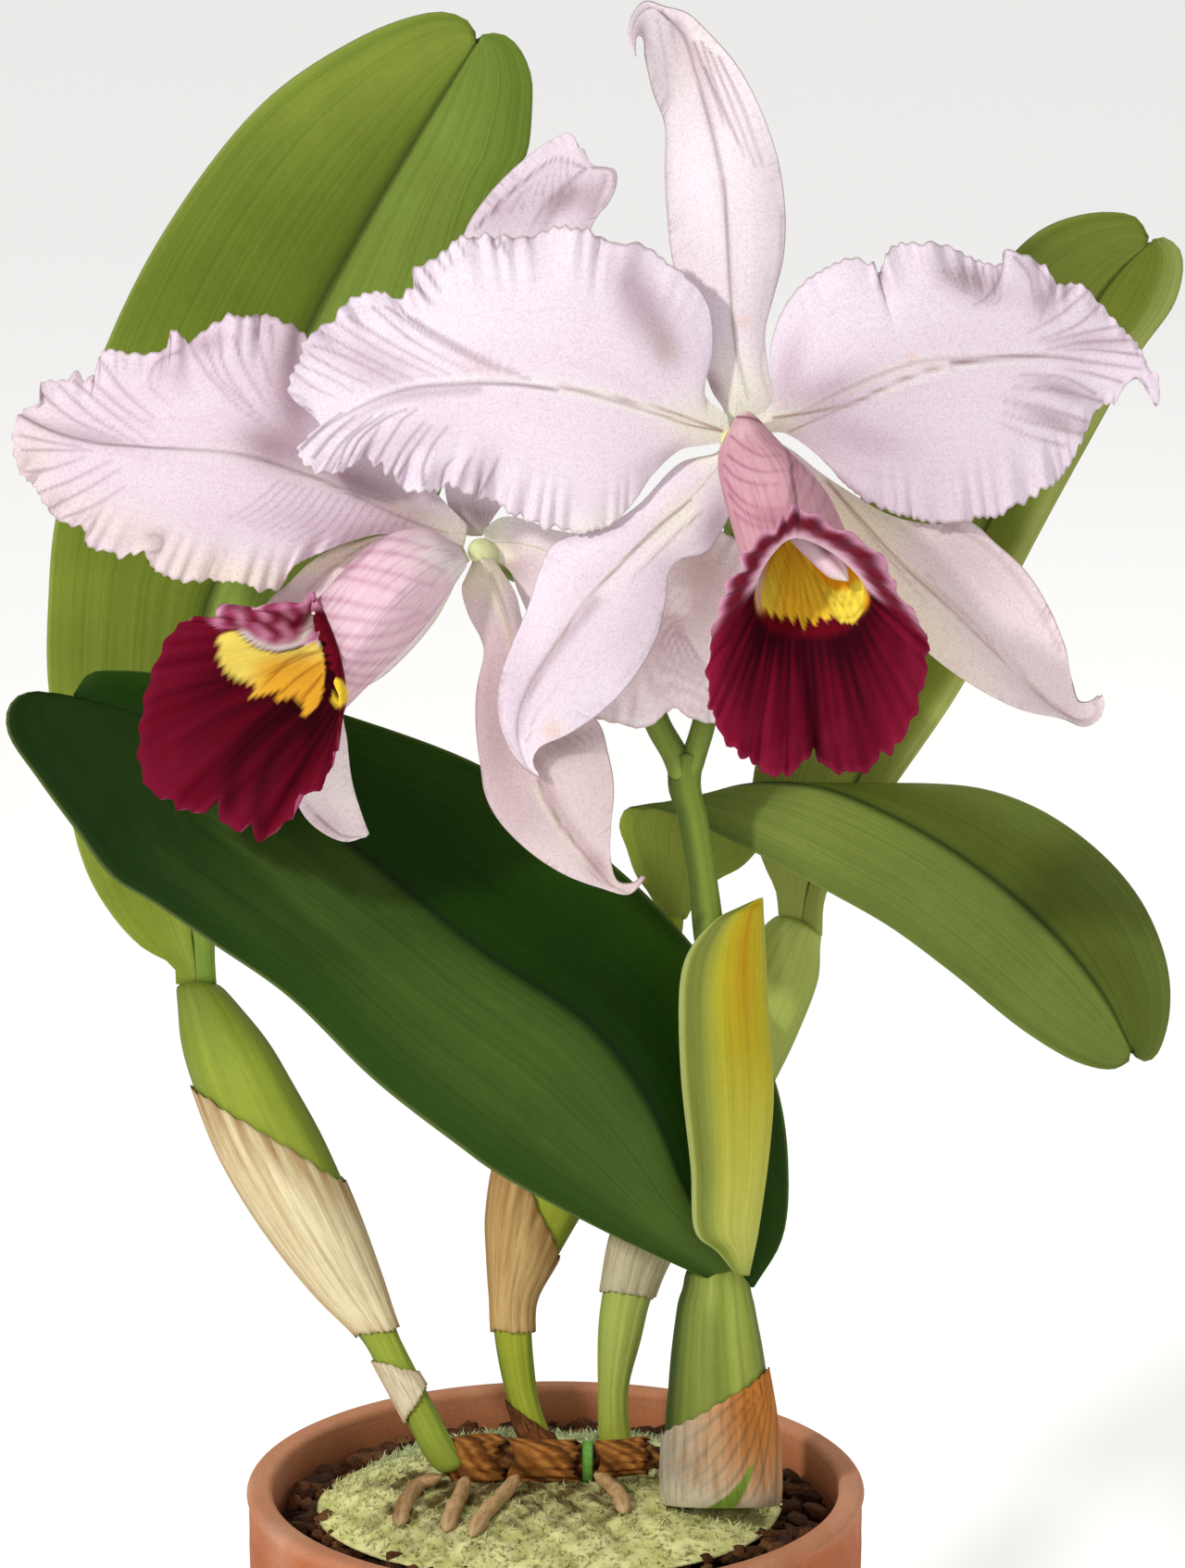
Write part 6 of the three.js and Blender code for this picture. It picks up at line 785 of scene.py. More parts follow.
A_YEL = [[857, 581], [847, 588], [838, 596], [828, 618], [820, 640], [822, 660], [826, 656], [832, 668], [836, 661], [843, 671], [848, 663], [856, 675], [861, 664], [868, 682], [873, 667], [881, 677], [885, 664], [893, 672], [899, 664], [908, 672], [925, 673], [933, 660], [937, 640], [930, 622], [920, 636], [900, 638], [885, 622], [872, 600]]
B_YEL = [[236, 691], [241, 684], [256, 681], [265, 691], [279, 701], [299, 706], [319, 702], [342, 692], [350, 706], [352, 726], [350, 746], [345, 762], [335, 772], [327, 775], [328, 759], [322, 760], [320, 749], [310, 757], [297, 756], [300, 747], [285, 752], [270, 753], [277, 741], [259, 736], [244, 726], [236, 712]]
B_FRILL = [[222, 668], [245, 648], [285, 644], [338, 632], [350, 664], [344, 690], [319, 700], [299, 704], [279, 699], [265, 689], [256, 679], [238, 680]]

def lip_a_paint(u, v, WW, TH):
    f = np.clip(WW - 3, 0, 1)
    t = wrap180(TH)
    full = lambda c: np.broadcast_to(c, WW.shape + (3,))
    top = sstep(86, 74, np.abs(t + 4 * np.sin(np.radians(TH * 3))))
    vein = radial_veins(TH, WW, 11, 46)
    vein2 = radial_veins(TH + 3, WW, 12, 70)
    crim = mix(full(CRIM), CRIM_L, 0.8 * sstep(0.25, 0.9, f) * (1 - vein) * (0.65 + 0.35 * wob(TH / 50 + WW * 2, 31, 4, 0.8)))
    crim = mix(crim, CRIM_D, np.clip(0.9 * vein * sstep(1.05, 0.2, f) + 0.35 * vein2 * sstep(1.0, 0.5, f) + 0.5 * sstep(0.4, 0.0, f), 0, 0.95))
    # painted shade: darker in the fold near 186 degrees and beside it near 212 degrees, and three dark patches on the
    # skirt
    crim = mix(crim, CRIM_D, 0.75 * np.exp(-((TH - 186) / 8.0) ** 2) * sstep(0, 0.4, f) + 0.35 * np.exp(-((TH - 212) / 10.0) ** 2))
    for cu_, cv_, ru_, rv_, am_ in ((908, 694, 20, 26, 0.8), (836, 690, 12, 18, 0.45), (872, 740, 7, 46, 0.35)):
        crim = mix(crim, CRIM_D, am_ * np.exp(-((u - cu_) / ru_) ** 2 - ((v - cv_) / rv_) ** 2))
    crim = mix(crim, srgb('#8E2240'), 0.4 * sstep(0.94, 1.0, f))
    crim = np.clip(crim * np.array([1.35, 1.9, 1.75]), 0, 1)
    fr = np.sin(np.radians(TH * 24) + 1.3 * np.sin(np.radians(TH * 5)))
    fril = mix(full(srgb('#D79AB6')), srgb('#EBC9D6'), sstep(0.30, 0.02, f))
    fril = mix(fril, CRIM, np.clip(np.exp(-((f - 0.56 - 0.05 * fr) / 0.31) ** 4) * (0.95 + 0.06 * fr), 0, 0.97))
    # painted shade in the troughs of the frill's waves
    fril = mix(fril, CRIM_D, 0.5 * np.exp(-((f - 0.6) / 0.16) ** 2) * sstep(0.1, 0.8, -fr))
    fril = mix(fril, srgb('#D79AB4'), sstep(0.92, 0.99, f) * 0.85)
    skirt = mix(crim, fril, top)
    inner = mix(full(srgb('#E6C3CE')), skirt, sstep(2.88, 3.02, WW))
    lowpart = sstep(72, 100, np.abs(t))
    deep = mix(full(ORA), CRIM, sstep(650, 668, v))
    inner = mix(inner, deep, lowpart * sstep(3.07, 2.99, WW))
    left_wall = sstep(832, 822, u + 0.12 * (v - 600)) * sstep(668, 655, v)
    inner = mix(inner, srgb('#EAD3D8'), left_wall * sstep(3.05, 2.95, WW))
    m = sstep(-0.8, 1.0, poly_sd(u, v, A_YEL)) * sstep(1.0, 1.4, WW)
    rays = np.zeros(WW.shape)
    for (x1, y1), (x2, y2) in (((856, 586), (835, 660)), ((857, 588), (845, 664)), ((859, 588), (857, 670)), ((861, 590), (868, 676)), ((863, 592), (877, 672)), ((865, 595), (889, 668)), ((868, 602), (902, 664)), ((874, 614), (912, 655))):
        d, sl = line_sd(u, v, [(x1, y1), (x2, y2)])
        rays = np.maximum(rays, np.exp(-(d / 1.3) ** 2))
    yel = mix(full(YEL), srgb('#FFC628'), np.clip(0.75 * sstep(830, 850, u) * sstep(905, 885, u), 0, 1))
    yel = mix(yel, srgb('#F2CE2A'), 0.4 * sstep(640, 620, v) * sstep(842, 832, u))
    yel = mix(yel, srgb('#B4741E'), 0.45 * rays)
    inner = mix(inner, yel, m)
    for pts, wd in (([(905, 668), (925, 664), (934, 650), (936, 634)], 1.6), ([(893, 642), (915, 645), (928, 638)], 1.3), ([(900, 652), (920, 652), (930, 644)], 1.2)):
        d, sl = line_sd(u, v, pts)
        inner = mix(inner, srgb('#B9922A'), 0.6 * np.exp(-(d / wd) ** 2) * m)
    # outside: pink tube with curved veins
    outer = mix(full(srgb('#CF9FA7')), srgb('#C98FA0'), 0.2 * radial_veins(TH + 14 * np.sin(WW * 1.2), WW, 5, 40) * sstep(0.3, 1.0, WW))
    outer = mix(outer, srgb('#EBD3D8'), 0.3 * sstep(2.6, 3.0, WW))
    outer = mix(outer, CREAM, sstep(0.4, 0.0, WW) * 0.5)
    outer = mix(outer, srgb('#B07C8C'), 0.45 * sstep(60, 110, t) * sstep(150, 120, t) * sstep(1.0, 2.4, WW))
    outer = marks(outer, u, v, MARK_LIP_A, SPOT_LIP_A, keep=1.0)
    back = mix(full(srgb('#A84B70')), srgb('#D590B0'), top)
    outer = mix(outer, back, sstep(3.0, 3.3, WW))
    return inner, outer

def lip_b_shape(G, WW, TH):
    f = np.clip(WW - 3, 0, 1)
    top = sstep(66, 45, np.abs(wrap180(TH - 10)))
    near = np.exp(-((TH - 285) / 38.0) ** 2)
    lobe = (1 - top) * (1 - near)
    G = G.copy()
    cu, cv = 330, 705
    du, dv = G[..., 0] - cu, G[..., 1] - cv
    ln = np.hypot(du, dv) + 1e-6
    fr = np.sin(np.radians(TH * 22) + 1.2 * np.sin(np.radians(TH * 5)))
    fr2 = np.cos(np.radians(TH * 22) + 1.2 * np.sin(np.radians(TH * 5)))
    pl = np.sin(np.radians(TH * 18) + 0.9 * np.sin(np.radians(TH * 4 + 40)))
    pl2 = np.sin(np.radians(TH * 43) + 1.1 * np.sin(np.radians(TH * 7)))
    G[..., 2] += top * f ** 1.2 * 1.2 * fr + lobe * (0.8 * pl * f ** 1.4 + 0.5 * pl2 * f ** 2.5)
    rad = top * f ** 2 * 3.5 * fr2 + lobe * f ** 3 * 2.2 * np.sin(np.radians(TH * 49) + 1.2 * np.sin(np.radians(TH * 6)))
    cut = np.array([108, 118, 128, 139, 151, 167.5, 179, 190, 200, 210, 218.0])
    dep = np.array([0, 5, 9, 6, 22, 30, 8, 8, 6, 4, 0.0])
    i = np.clip(np.searchsorted(cut, TH) - 1, 0, len(cut) - 2)
    x = np.clip((TH - cut[i]) / (cut[i + 1] - cut[i]), 0, 1)
    scal = np.sqrt(np.sin(np.pi * x))
    rad = rad - f ** 3 * np.interp(TH, cut, dep) * (1 - scal) + f ** 3 * 8 * np.exp(-((TH - 156.5) / 4.0) ** 2)
    G[..., 2] -= 1.3 * f ** 5 * np.interp(TH, cut, dep) / 20 * scal
    rad = rad + near * f ** 3 * 4.5 * np.sin(np.radians(TH * 34) + 1.2 * np.sin(np.radians(TH * 9)))
    G[..., 0] += du / ln * rad
    G[..., 1] += dv / ln * rad
    return G

def lip_b_paint(u, v, WW, TH):
    f = np.clip(WW - 3, 0, 1)
    full = lambda c: np.broadcast_to(c, WW.shape + (3,))
    vein = radial_veins(TH, WW, 17, 46)
    vein2 = radial_veins(TH + 5, WW, 18, 70)
    crim = mix(full(CRIM), CRIM_L, 0.8 * sstep(0.3, 0.95, f) * (1 - vein))
    crim = mix(crim, CRIM_D, np.clip(0.85 * vein * sstep(1.05, 0.15, f) + 0.35 * vein2 * sstep(1.0, 0.5, f) + 0.45 * sstep(0.4, 0.0, f), 0, 0.95))
    for pts, wd, am in (([(318, 762), (280, 790), (252, 830), (246, 870)], 12, 0.8), ([(336, 780), (300, 810), (282, 850), (278, 890)], 9, 0.75), ([(300, 752), (240, 772), (200, 800)], 5, 0.5), ([(345, 770), (330, 820), (315, 850)], 6, 0.6), ([(262, 735), (215, 740), (175, 750)], 3, 0.5)):
        d, sl = line_sd(u, v, pts)
        crim = mix(crim, CRIM_D, am * np.exp(-(d / wd) ** 2) * (1 - 0.4 * sl))
    crim = mix(crim, srgb('#8E2240'), 0.4 * sstep(0.94, 1.0, f))
    crim = np.clip(crim * np.array([0.92, 0.85, 0.95]), 0, 1)
    inner = mix(full(srgb('#E6C2CC')), crim, sstep(2.9, 3.02, WW))
    inner = mix(inner, srgb('#C9A0AC'), sstep(1.6, 0.6, WW))
    low = poly_sd(u, v, [[150, 680], [236, 690], [262, 738], [300, 760], [344, 716], [346, 688], [384, 688], [384, 800], [330, 910], [150, 910]])
    inner = mix(inner, crim, sstep(-1, 2, low))
    ms = sstep(-1.5, 2.0, poly_sd(u, v, B_FRILL)) * sstep(2.0, 2.4, WW)
    fril = mix(full(srgb('#CF86A6')), srgb('#A23A60'), 0.5 + 0.5 * np.sin(u * 0.26 + 0.8 * np.sin(v * 0.3)))
    for pts, wd, am in (([(240, 664), (252, 672), (262, 684), (268, 690)], 4.5, 0.9), ([(268, 658), (276, 668), (290, 676), (300, 684)], 4.0, 0.85), ([(300, 662), (310, 668), (318, 672), (326, 664)], 4.0, 0.9), ([(316, 676), (330, 668), (338, 650)], 3.5, 0.9), ([(250, 655), (262, 660), (268, 668)], 3.0, 0.7), ([(286, 656), (292, 662), (300, 668)], 2.5, 0.8)):
        d, sl = line_sd(u, v, pts)
        fril = mix(fril, CRIM, am * np.exp(-(d / wd) ** 2))
    d, sl = line_sd(u, v, [(262, 684), (280, 696), (300, 700), (322, 694), (340, 664)])
    fril = mix(fril, srgb('#EADFDC'), 0.95 * np.exp(-(d / 5.0) ** 2))
    fril = mix(fril, srgb('#E2B3C6'), sstep(0.9, 0.99, f) * 0.8)
    inner = mix(inner, fril, ms)
    m = sstep(-0.8, 1.2, poly_sd(u, v, B_YEL)) * sstep(1.6, 2.0, WW)
    o = sstep(268, 305, u + 0.35 * (v - 700)) * sstep(700, 722, v)
    yel = mix(full(srgb('#F6E068')), ORA, o * 0.8)
    for pts in ([(340, 706), (310, 718), (282, 742)], [(346, 716), (322, 732), (300, 752)], [(349, 728), (336, 745), (322, 762)], [(345, 704), (318, 710), (292, 728)]):
        d, sl = line_sd(u, v, pts)
        yel = mix(yel, srgb('#9A5E12'), 0.7 * np.exp(-(d / 1.4) ** 2))
    inner = mix(inner, yel, m)
    outer = mix(full(srgb('#EED0DA')), srgb('#D29DB2'), 0.2 * radial_veins(TH + 10 * np.sin(WW * 1.4), WW, 9, 44) * sstep(0.3, 1.0, WW))
    outer = mix(outer, srgb('#EFE0E2'), 0.45 * sstep(0.6, 0.0, WW))
    outer = marks(outer, u, v, MARK_LIP_B, SPOT_LIP_B)
    outer = mix(outer, YEL, 0.95 * sstep(-1, 1.5, poly_sd(u, v, [[358, 729], [368, 734], [374, 746], [372, 758], [364, 765], [358, 760]])))
    back = mix(full(srgb('#A84B70')), srgb('#D590B0'), sstep(70, 50, np.abs(wrap180(TH - 10))))
    back = mix(back, mix(full(CRIM), CRIM_D, 0.6 * vein2), sstep(66, 50, np.abs(wrap180(TH - 282))))
    outer = mix(outer, back, sstep(2.98, 3.12, WW))
    lobe = 0.95 * sstep(-1, 1.5, poly_sd(u, v, [[360, 729], [368, 734], [376, 746], [374, 758], [364, 765], [359, 755]])) * sstep(2.9, 3.0, WW)
    inner, outer = mix(inner, srgb('#F6D43A'), lobe), mix(outer, srgb('#F6D43A'), lobe)
    return inner, outer


# =================== flower A ===================
petal("flower_a_petal_left", A_PETAL_LEFT, "a_petal_left", 230, 42, ruffle_fn(1, 1.6, 11, 0.5), petal_colour(0.10, 0.15, seed=2), MARK_A_LEFT, SPOT_A_LEFT, jag=3.8, seed=1, tint=(0.96, 0.97, 0.97))
petal("flower_a_petal_right", A_PETAL_RIGHT, "a_petal_right", 230, 42, ruffle_fn(2, 1.5, 10, 0.5), petal_colour(0.10, 0.15, seed=3), MARK_A_RIGHT, SPOT_A_RIGHT, jag=3.4, seed=2, tint=(0.95, 0.95, 0.95))
petal("flower_a_sepal_left", A_SEPAL_LEFT, "a_sepal_left", 110, 22, ruffle_fn(3, 0.4, 4, 0.5), petal_colour(0.14, 0.1, seed=4), MARK_A_SLEFT, SPOT_A_SLEFT)
petal("flower_a_sepal_right", A_SEPAL_RIGHT, "a_sepal_right", 110, 22, ruffle_fn(4, 0.4, 4, 0.5), petal_colour(0.14, 0.1, seed=5), MARK_A_SRIGHT, SPOT_A_SRIGHT, tint=(1.0, 0.97, 0.88))
petal("flower_a_dorsal_sepal", A_DORSAL, "a_dorsal_sepal", 120, 22, ruffle_fn(5, 0.35, 3, 0.5), petal_colour(0.08, 0.1, seed=6, warm=0.3), MARK_A_DORSAL, SPOT_A_DORSAL, tint=(1.03, 1.05, 1.05))
lip_piece("flower_a_lip", LIP_A, "a_lip", lip_a_shape, lip_a_paint)

def col_colour(SS, AA):
    c = np.broadcast_to(srgb('#E6CBD2'), SS.shape + (3,))
    c = mix(c, srgb('#A66E80'), 0.9 * np.exp(-((wrap180(np.degrees(AA) - 90)) / 16.0) ** 2) * sstep(0.3, 0.6, SS))
    # painted shade: darker down both sides
    c = mix(c, srgb('#C9A2B0'), 0.5 * np.abs(np.cos(AA)) ** 4)
    return mix(c, CREAM, sstep(0.9, 1.0, SS) * 0.5)
def px_pts(rows):
    r = np.asarray(rows, float)
    return place(r[:, 0], r[:, 1], r[:, 2]), [x * S_MM for x in r[:, 3]]
p, r = px_pts(COLUMN_A)
stem("flower_a_column", p, r, 60, 40, col_colour, M_COLUMN, "a_column", ends=6, dome=1.0)

# =================== flower B ===================
petal("flower_b_petal_left", B_PETAL_LEFT, "b_petal_left", 190, 40, ruffle_fn(6, 1.4, 10, 0.5), petal_colour(0.08, 0.15, seed=7, warm=0.12), MARK_B_PLEFT, SPOT_B_PLEFT, jag=3.2, seed=3, tint=(0.90, 0.86, 0.88))
# the tint lightens this whole petal, which lies in flower A's shade, so that its shade reads lighter: painted light
petal("flower_b_petal_right", B_PETAL_RIGHT, "b_petal_right", 90, 30, ruffle_fn(7, 1.0, 7, 0.5), petal_colour(0.12, 0.1, seed=8, warm=0.2), MARK_B_PRIGHT, SPOT_B_PRIGHT, jag=1.5, seed=4, tint=(1.26, 1.24, 1.14))
petal("flower_b_sepal_right", B_SEPAL_RIGHT, "b_sepal_right", 110, 22, ruffle_fn(8, 0.35, 4, 0.5), petal_colour(0.14, 0.1, seed=9), MARK_B_SRIGHT, SPOT_B_SRIGHT, tint=(0.88, 0.83, 0.74))
petal("flower_b_sepal_left", B_SEPAL_LEFT, "b_sepal_left", 90, 20, ruffle_fn(9, 0.3, 4, 0.5), petal_colour(0.3, 0.2, seed=10, warm=0.3), MARK_B_SLEFT, SPOT_B_SLEFT, tint=(1.18, 1.15, 1.08))
petal("flower_b_dorsal_sepal", B_DORSAL, "b_dorsal_sepal", 90, 20, ruffle_fn(10, 0.35, 4, 0.5), petal_colour(0.08, 0.2, seed=11, warm=0.1), MARK_B_DORSAL, SPOT_B_DORSAL)
lip_piece("flower_b_lip", LIP_B, "b_lip", lip_b_shape, lip_b_paint, nw=(84, 28), nr=240)
p, r = px_pts(COLUMN_B)
stem("flower_b_column", p, r, 60, 40, col_colour, M_COLUMN, "b_column", ends=6, dome=1.0)

# =================== stems of the flowers ===================
def ped_colour(pale):
    def f(SS, AA):
        c = np.broadcast_to(srgb('#869A42'), SS.shape + (3,))
        # painted shade: darker down both sides
        c = mix(c, srgb('#556A26'), 0.7 * np.abs(np.cos(AA + 0.4)) ** 3)
        c = mix(c, pale, sstep(0.8, 0.97, SS))
        return c
    return f
p, r = px_pts([[741, 846, 8.3, 13], [751, 812, 8.3, 12.5]] + PEDICEL_A[1:])
stem("flower_a_pedicel", p, r, 90, 30, ped_colour(srgb('#E2EAA0')), M_STEM, "pedicel_a", bumps=lambda s, A: 0.05 * np.sin(6 * A) * math.sin(math.pi * s), ends=4)
p, r = px_pts([[741, 850, 8.3, 14], [729, 815, 8.3, 13.5]] + PEDICEL_B[1:-2] + [[537, 606, 12, 14], [512, 590, 20.5, 14]])
stem("flower_b_pedicel", p, r, 90, 30, ped_colour(srgb('#EEF5B8')), M_STEM, "pedicel_b", bumps=lambda s, A: 0.05 * np.sin(6 * A) * math.sin(math.pi * s), ends=5)
PEDUNCLE_V = [r[:4] + [r[4] - (1.0 if r[1] > 930 else 0.0)] for r in PEDUNCLE]
def peduncle_colour(SS, AA):
    c = np.broadcast_to(srgb('#7E9138'), SS.shape + (3,))
    # painted shade: darker on one side and, less, on the other
    c = mix(c, srgb('#4E6024'), sstep(-0.1, -0.9, np.cos(AA + 0.25)) * 0.95)
    c = mix(c, srgb('#55702E'), 0.4 * sstep(0.6, 1.0, np.cos(AA)))
    return mix(c, srgb('#5A7331'), sstep(0.15, 0.0, SS) * 0.6)
SS, AA = ring_params(120, 56)
X = ell_grid(PEDUNCLE_V, 0.9, SS, AA, 0.08 * np.sin(5 * AA))
closed_tube("peduncle_stem", round_ends(X, 3, 0.6), np.stack([SS, AA / (2 * np.pi)], -1), peduncle_colour(SS, AA), M_STEM, "peduncle")

# =================== leaves ===================
def leaf(name, spec, node, ns, nt, near, far, extra=None, wave=0.5, seed=1, th=1.5, back=None, swap=False):
    def ruf(SS, TT, uv):
        a = np.abs(TT)
        return wave * wob(SS * 1.6 + 0.3 * np.sign(TT), seed, 3, 0.8) * a ** 1.3 + 0.12 * np.cos(TT * 40) * 0.3
    X, SS, TT, uv = blade_grid(spec, ns, nt, ruf)
    a = np.abs(TT)
    side = TT < 0
    c = np.where(side[..., None], near(SS, a), far(SS, a))
    # a dark strip down the midrib: painted shade in its groove
    c = mix(c, srgb('#15240C'), 0.75 * sstep(0.035, 0.0, a))
    c = mix(c, srgb('#A3B46A'), 0.35 * sstep(0.97, 1.0, a))
    if extra is not None:
        c = extra(c, SS, TT, uv)
    bk = c * 0.6 + srgb('#9AB060') * 0.4 if back is None else back(SS, TT, c)
    H = th * 0.5 * np.sqrt(np.clip(1 - 0.9 * a ** 3, 0.05, 1)) / 1000
    UV = np.stack([SS, TT * 0.5 + 0.5], -1)
    return sheet(name, X, H, UV, c, bk, M_LEAF, node, rim=srgb('#2C4016'))

def front_near(s, a):
    c = mix(np.broadcast_to(srgb('#526A2A'), s.shape + (3,)), srgb('#3C541C'), 0.5 + 0.4 * wob(s * 1.3, 4, 3, 0.9))
    c = mix(c, srgb('#25420C'), 0.8 * sstep(0.45, 0.98, a) + 0.35 * sstep(0.2, 0.04, a))
    # painted shadow: the tip half of the near side is darkened as if flower B shaded it
    return mix(c, srgb('#142E04'), 0.9 * sstep(0.50, 0.80, s + 0.10 * (a - 0.4) + 0.05 * wob(a * 3 + s * 2, 14, 3, 0.8)))
leaf("leaf_front_blade", LEAF_1, "leaf_front", 100, 20, front_near,
     # the far half is painted dark as shade
     lambda s, a: mix(np.broadcast_to(srgb('#193603'), s.shape + (3,)), srgb('#2E4C0C'), 0.6 * sstep(0.35, 1.0, a)), seed=21)
leaf("leaf_left_blade", LEAF_2, "leaf_left", 90, 18,
     toned(lambda s, a: mix(mix(np.broadcast_to(srgb('#8BA33C'), s.shape + (3,)), srgb('#627D1F'), 0.5 + 0.45 * wob(s * 1.2 + 0.3 * a, 5, 3, 0.8)), srgb('#56701C'), 0.5 * sstep(0.2, 0.02, a)), (1.75, 1.4, 2.0), (0.95, 0.88, 1.0)),
     lambda s, a: mix(mix(np.broadcast_to(srgb('#93AA4A'), s.shape + (3,)), srgb('#5C771F'), 0.75 * sstep(0.5, 1.0, a)), srgb('#78913A'), 0.5 + 0.4 * wob(s, 9, 3, 0.8)), seed=22)
leaf("leaf_right_blade", LEAF_3, "leaf_right", 90, 18,
     toned(lambda s, a: mix(mix(np.broadcast_to(srgb('#788F3A'), s.shape + (3,)), srgb('#48631F'), sstep(0.72, 1.0, a) * 0.6 + 0.45 * sstep(0.45, 0.15, s)), srgb('#647C2E'), 0.5 + 0.4 * wob(s * 1.2, 6, 3, 0.9)), (1.15, 1.0, 1.3), (1.0, 0.86, 1.1), 0.4, 0.9),
     lambda s, a: mix(np.broadcast_to(srgb('#586524'), s.shape + (3,)), srgb('#6E7C3A'), 0.7 * sstep(0.4, 1.0, a)), seed=23,
     back=lambda SS, TT, c: mix(np.broadcast_to(srgb('#A6B44E'), SS.shape + (3,)), srgb('#869438'), 0.5 + 0.5 * wob(SS * 2, 8, 3, 1.0)))
leaf("leaf_back_blade", LEAF_4, "leaf_back", 80, 16,
     toned(lambda s, a: mix(mix(np.broadcast_to(srgb('#768A34'), s.shape + (3,)), srgb('#566F1C'), 0.5 + 0.45 * wob(s * 1.2, 7, 3, 0.9)), srgb('#93A552'), sstep(0.35, 0.0, s) * 0.7), (1.65, 1.36, 1.6), (1.15, 0.97, 1.2), 0.25, 0.75),
     toned(lambda s, a: mix(mix(np.broadcast_to(srgb('#6C8029'), s.shape + (3,)), srgb('#98AA58'), 0.75 * sstep(0.55, 0.9, a)), srgb('#9CAE5A'), sstep(0.35, 0.0, s) * 0.6), (1.5, 1.25, 1.5), (1.1, 0.97, 1.15), 0.25, 0.75), seed=24)

# =================== pseudobulbs, sheaths and spathe ===================
bulb("bulb_left", PB_LEFT, 0.6, tube_col(srgb('#9EAC3E'), srgb('#5E7028'), top=srgb('#6C7A2C'), bottom=srgb('#8C9C38')), "pseudobulb_left")
bulb("bulb_middle", PB_MIDDLE, 0.6, tube_col(srgb('#A8B236'), srgb('#5A6A20'), bottom=srgb('#9CA632')), "pseudobulb_middle")
bulb("bulb_back", PB_BACK, 0.6, tube_col(srgb('#BCC864'), srgb('#7E8C34'), top=srgb('#C2CE70'), bottom=srgb('#A2AC34')), "pseudobulb_back")
def front_col(SS, AA):
    x = (1 - np.cos(AA)) / 2
    c = mix(np.broadcast_to(srgb('#A6B052'), SS.shape + (3,)), srgb('#8C9C40'), 0.5 + 0.5 * np.sin(x * 60 + 2 * np.sin(x * 21)))
    for x0, w_, a_ in ((0.58, 0.035, 0.6), (0.50, 0.03, 0.45), (0.66, 0.04, 0.35)):
        c = mix(c, srgb('#3E5018'), a_ * np.exp(-((x - x0) / w_) ** 2) * sstep(0.28, 0.45, SS) * sstep(0.95, 0.6, SS))
    # painted shade down both sides, heavier on the left
    c = mix(c, srgb('#2E4210'), 0.45 * sstep(0.62, 0.86, x) + 0.5 * sstep(0.82, 0.98, x) + 0.5 * sstep(0.12, 0.0, x))
    return mix(c, srgb('#4A5E1E'), 0.55 * sstep(0.16, 0.02, SS))
bulb("bulb_front", PB_FRONT, 0.75, front_col, "pseudobulb_front", ribs=0.35, nrib=13)

def slant(left, right, jag=0.0, seed=0):
    return lambda a: left + (right - left) * (1 + np.cos(a)) / 2 + jag * (wob(a / (2 * np.pi) * 3, seed + 1, 4, 1.0) + 0.6 * np.sin(a * 23 + seed))
def tan_colour(light, brown, topb=0.6, botb=0.3):
    def f(II, AA):
        c = np.broadcast_to(light, II.shape + (3,))
        # painted shade: browner towards both sides of the sheath
        side = np.abs(np.cos(AA)) ** 4
        c = mix(c, brown, 0.55 * side)
        c = mix(c, brown, topb * sstep(0.35, 0.0, II) * (0.6 + 0.4 * np.sin(AA * 17)))
        return mix(c, brown, botb * sstep(0.85, 1.0, II))
    return f
TAN, TAN_B = srgb('#F3E6BC'), srgb('#AA8250')
shell("papery_sheath_left", PB_LEFT, 0.6, slant(0.262, 0.42, 0.004, 1), slant(0.632, 0.645, 0.004, 2), 32, 90, 0.35, 0.3, tan_colour(TAN, TAN_B, 0.9), M_SHEATH, "sheath_left", puff=0.25)
shell("papery_sheath_left_small", PB_LEFT, 0.6, slant(0.70, 0.755, 0.003, 3), slant(0.83, 0.775, 0.003, 4), 14, 84, 0.35, 0.3, tan_colour(srgb('#E9DDBE'), TAN_B, 0.4), M_SHEATH, "sheath_left_small", puff=0.2)
shell("papery_sheath_middle", PB_MIDDLE, 0.6, slant(0.34, 0.53, 0.004, 5), slant(0.69, 0.69, 0.004, 6), 28, 84, 0.35, 0.3, tan_colour(srgb('#CDAC72'), srgb('#835C2C'), 0.9, -0.2), M_SHEATH, "sheath_middle", puff=0.25)
shell("brown_bract_middle", PB_MIDDLE, 0.6, slant(0.84, 0.93, 0.004, 7), slant(0.98, 0.985, 0.002, 8), 20, 110, 0.35, 0.3, tan_colour(srgb('#8A5428'), srgb('#54301A'), 0.4), M_SCALE, "bract_middle", puff=0.3)
shell("papery_sheath_back", PB_BACK, 0.6, slant(0.47, 0.47, 0.004, 9), slant(0.675, 0.66, 0.003, 10), 24, 76, 0.35, 0.3, tan_colour(srgb('#D4CCA6'), srgb('#94896A'), 0.5, 0.1), M_SHEATH, "sheath_back", puff=0.2)

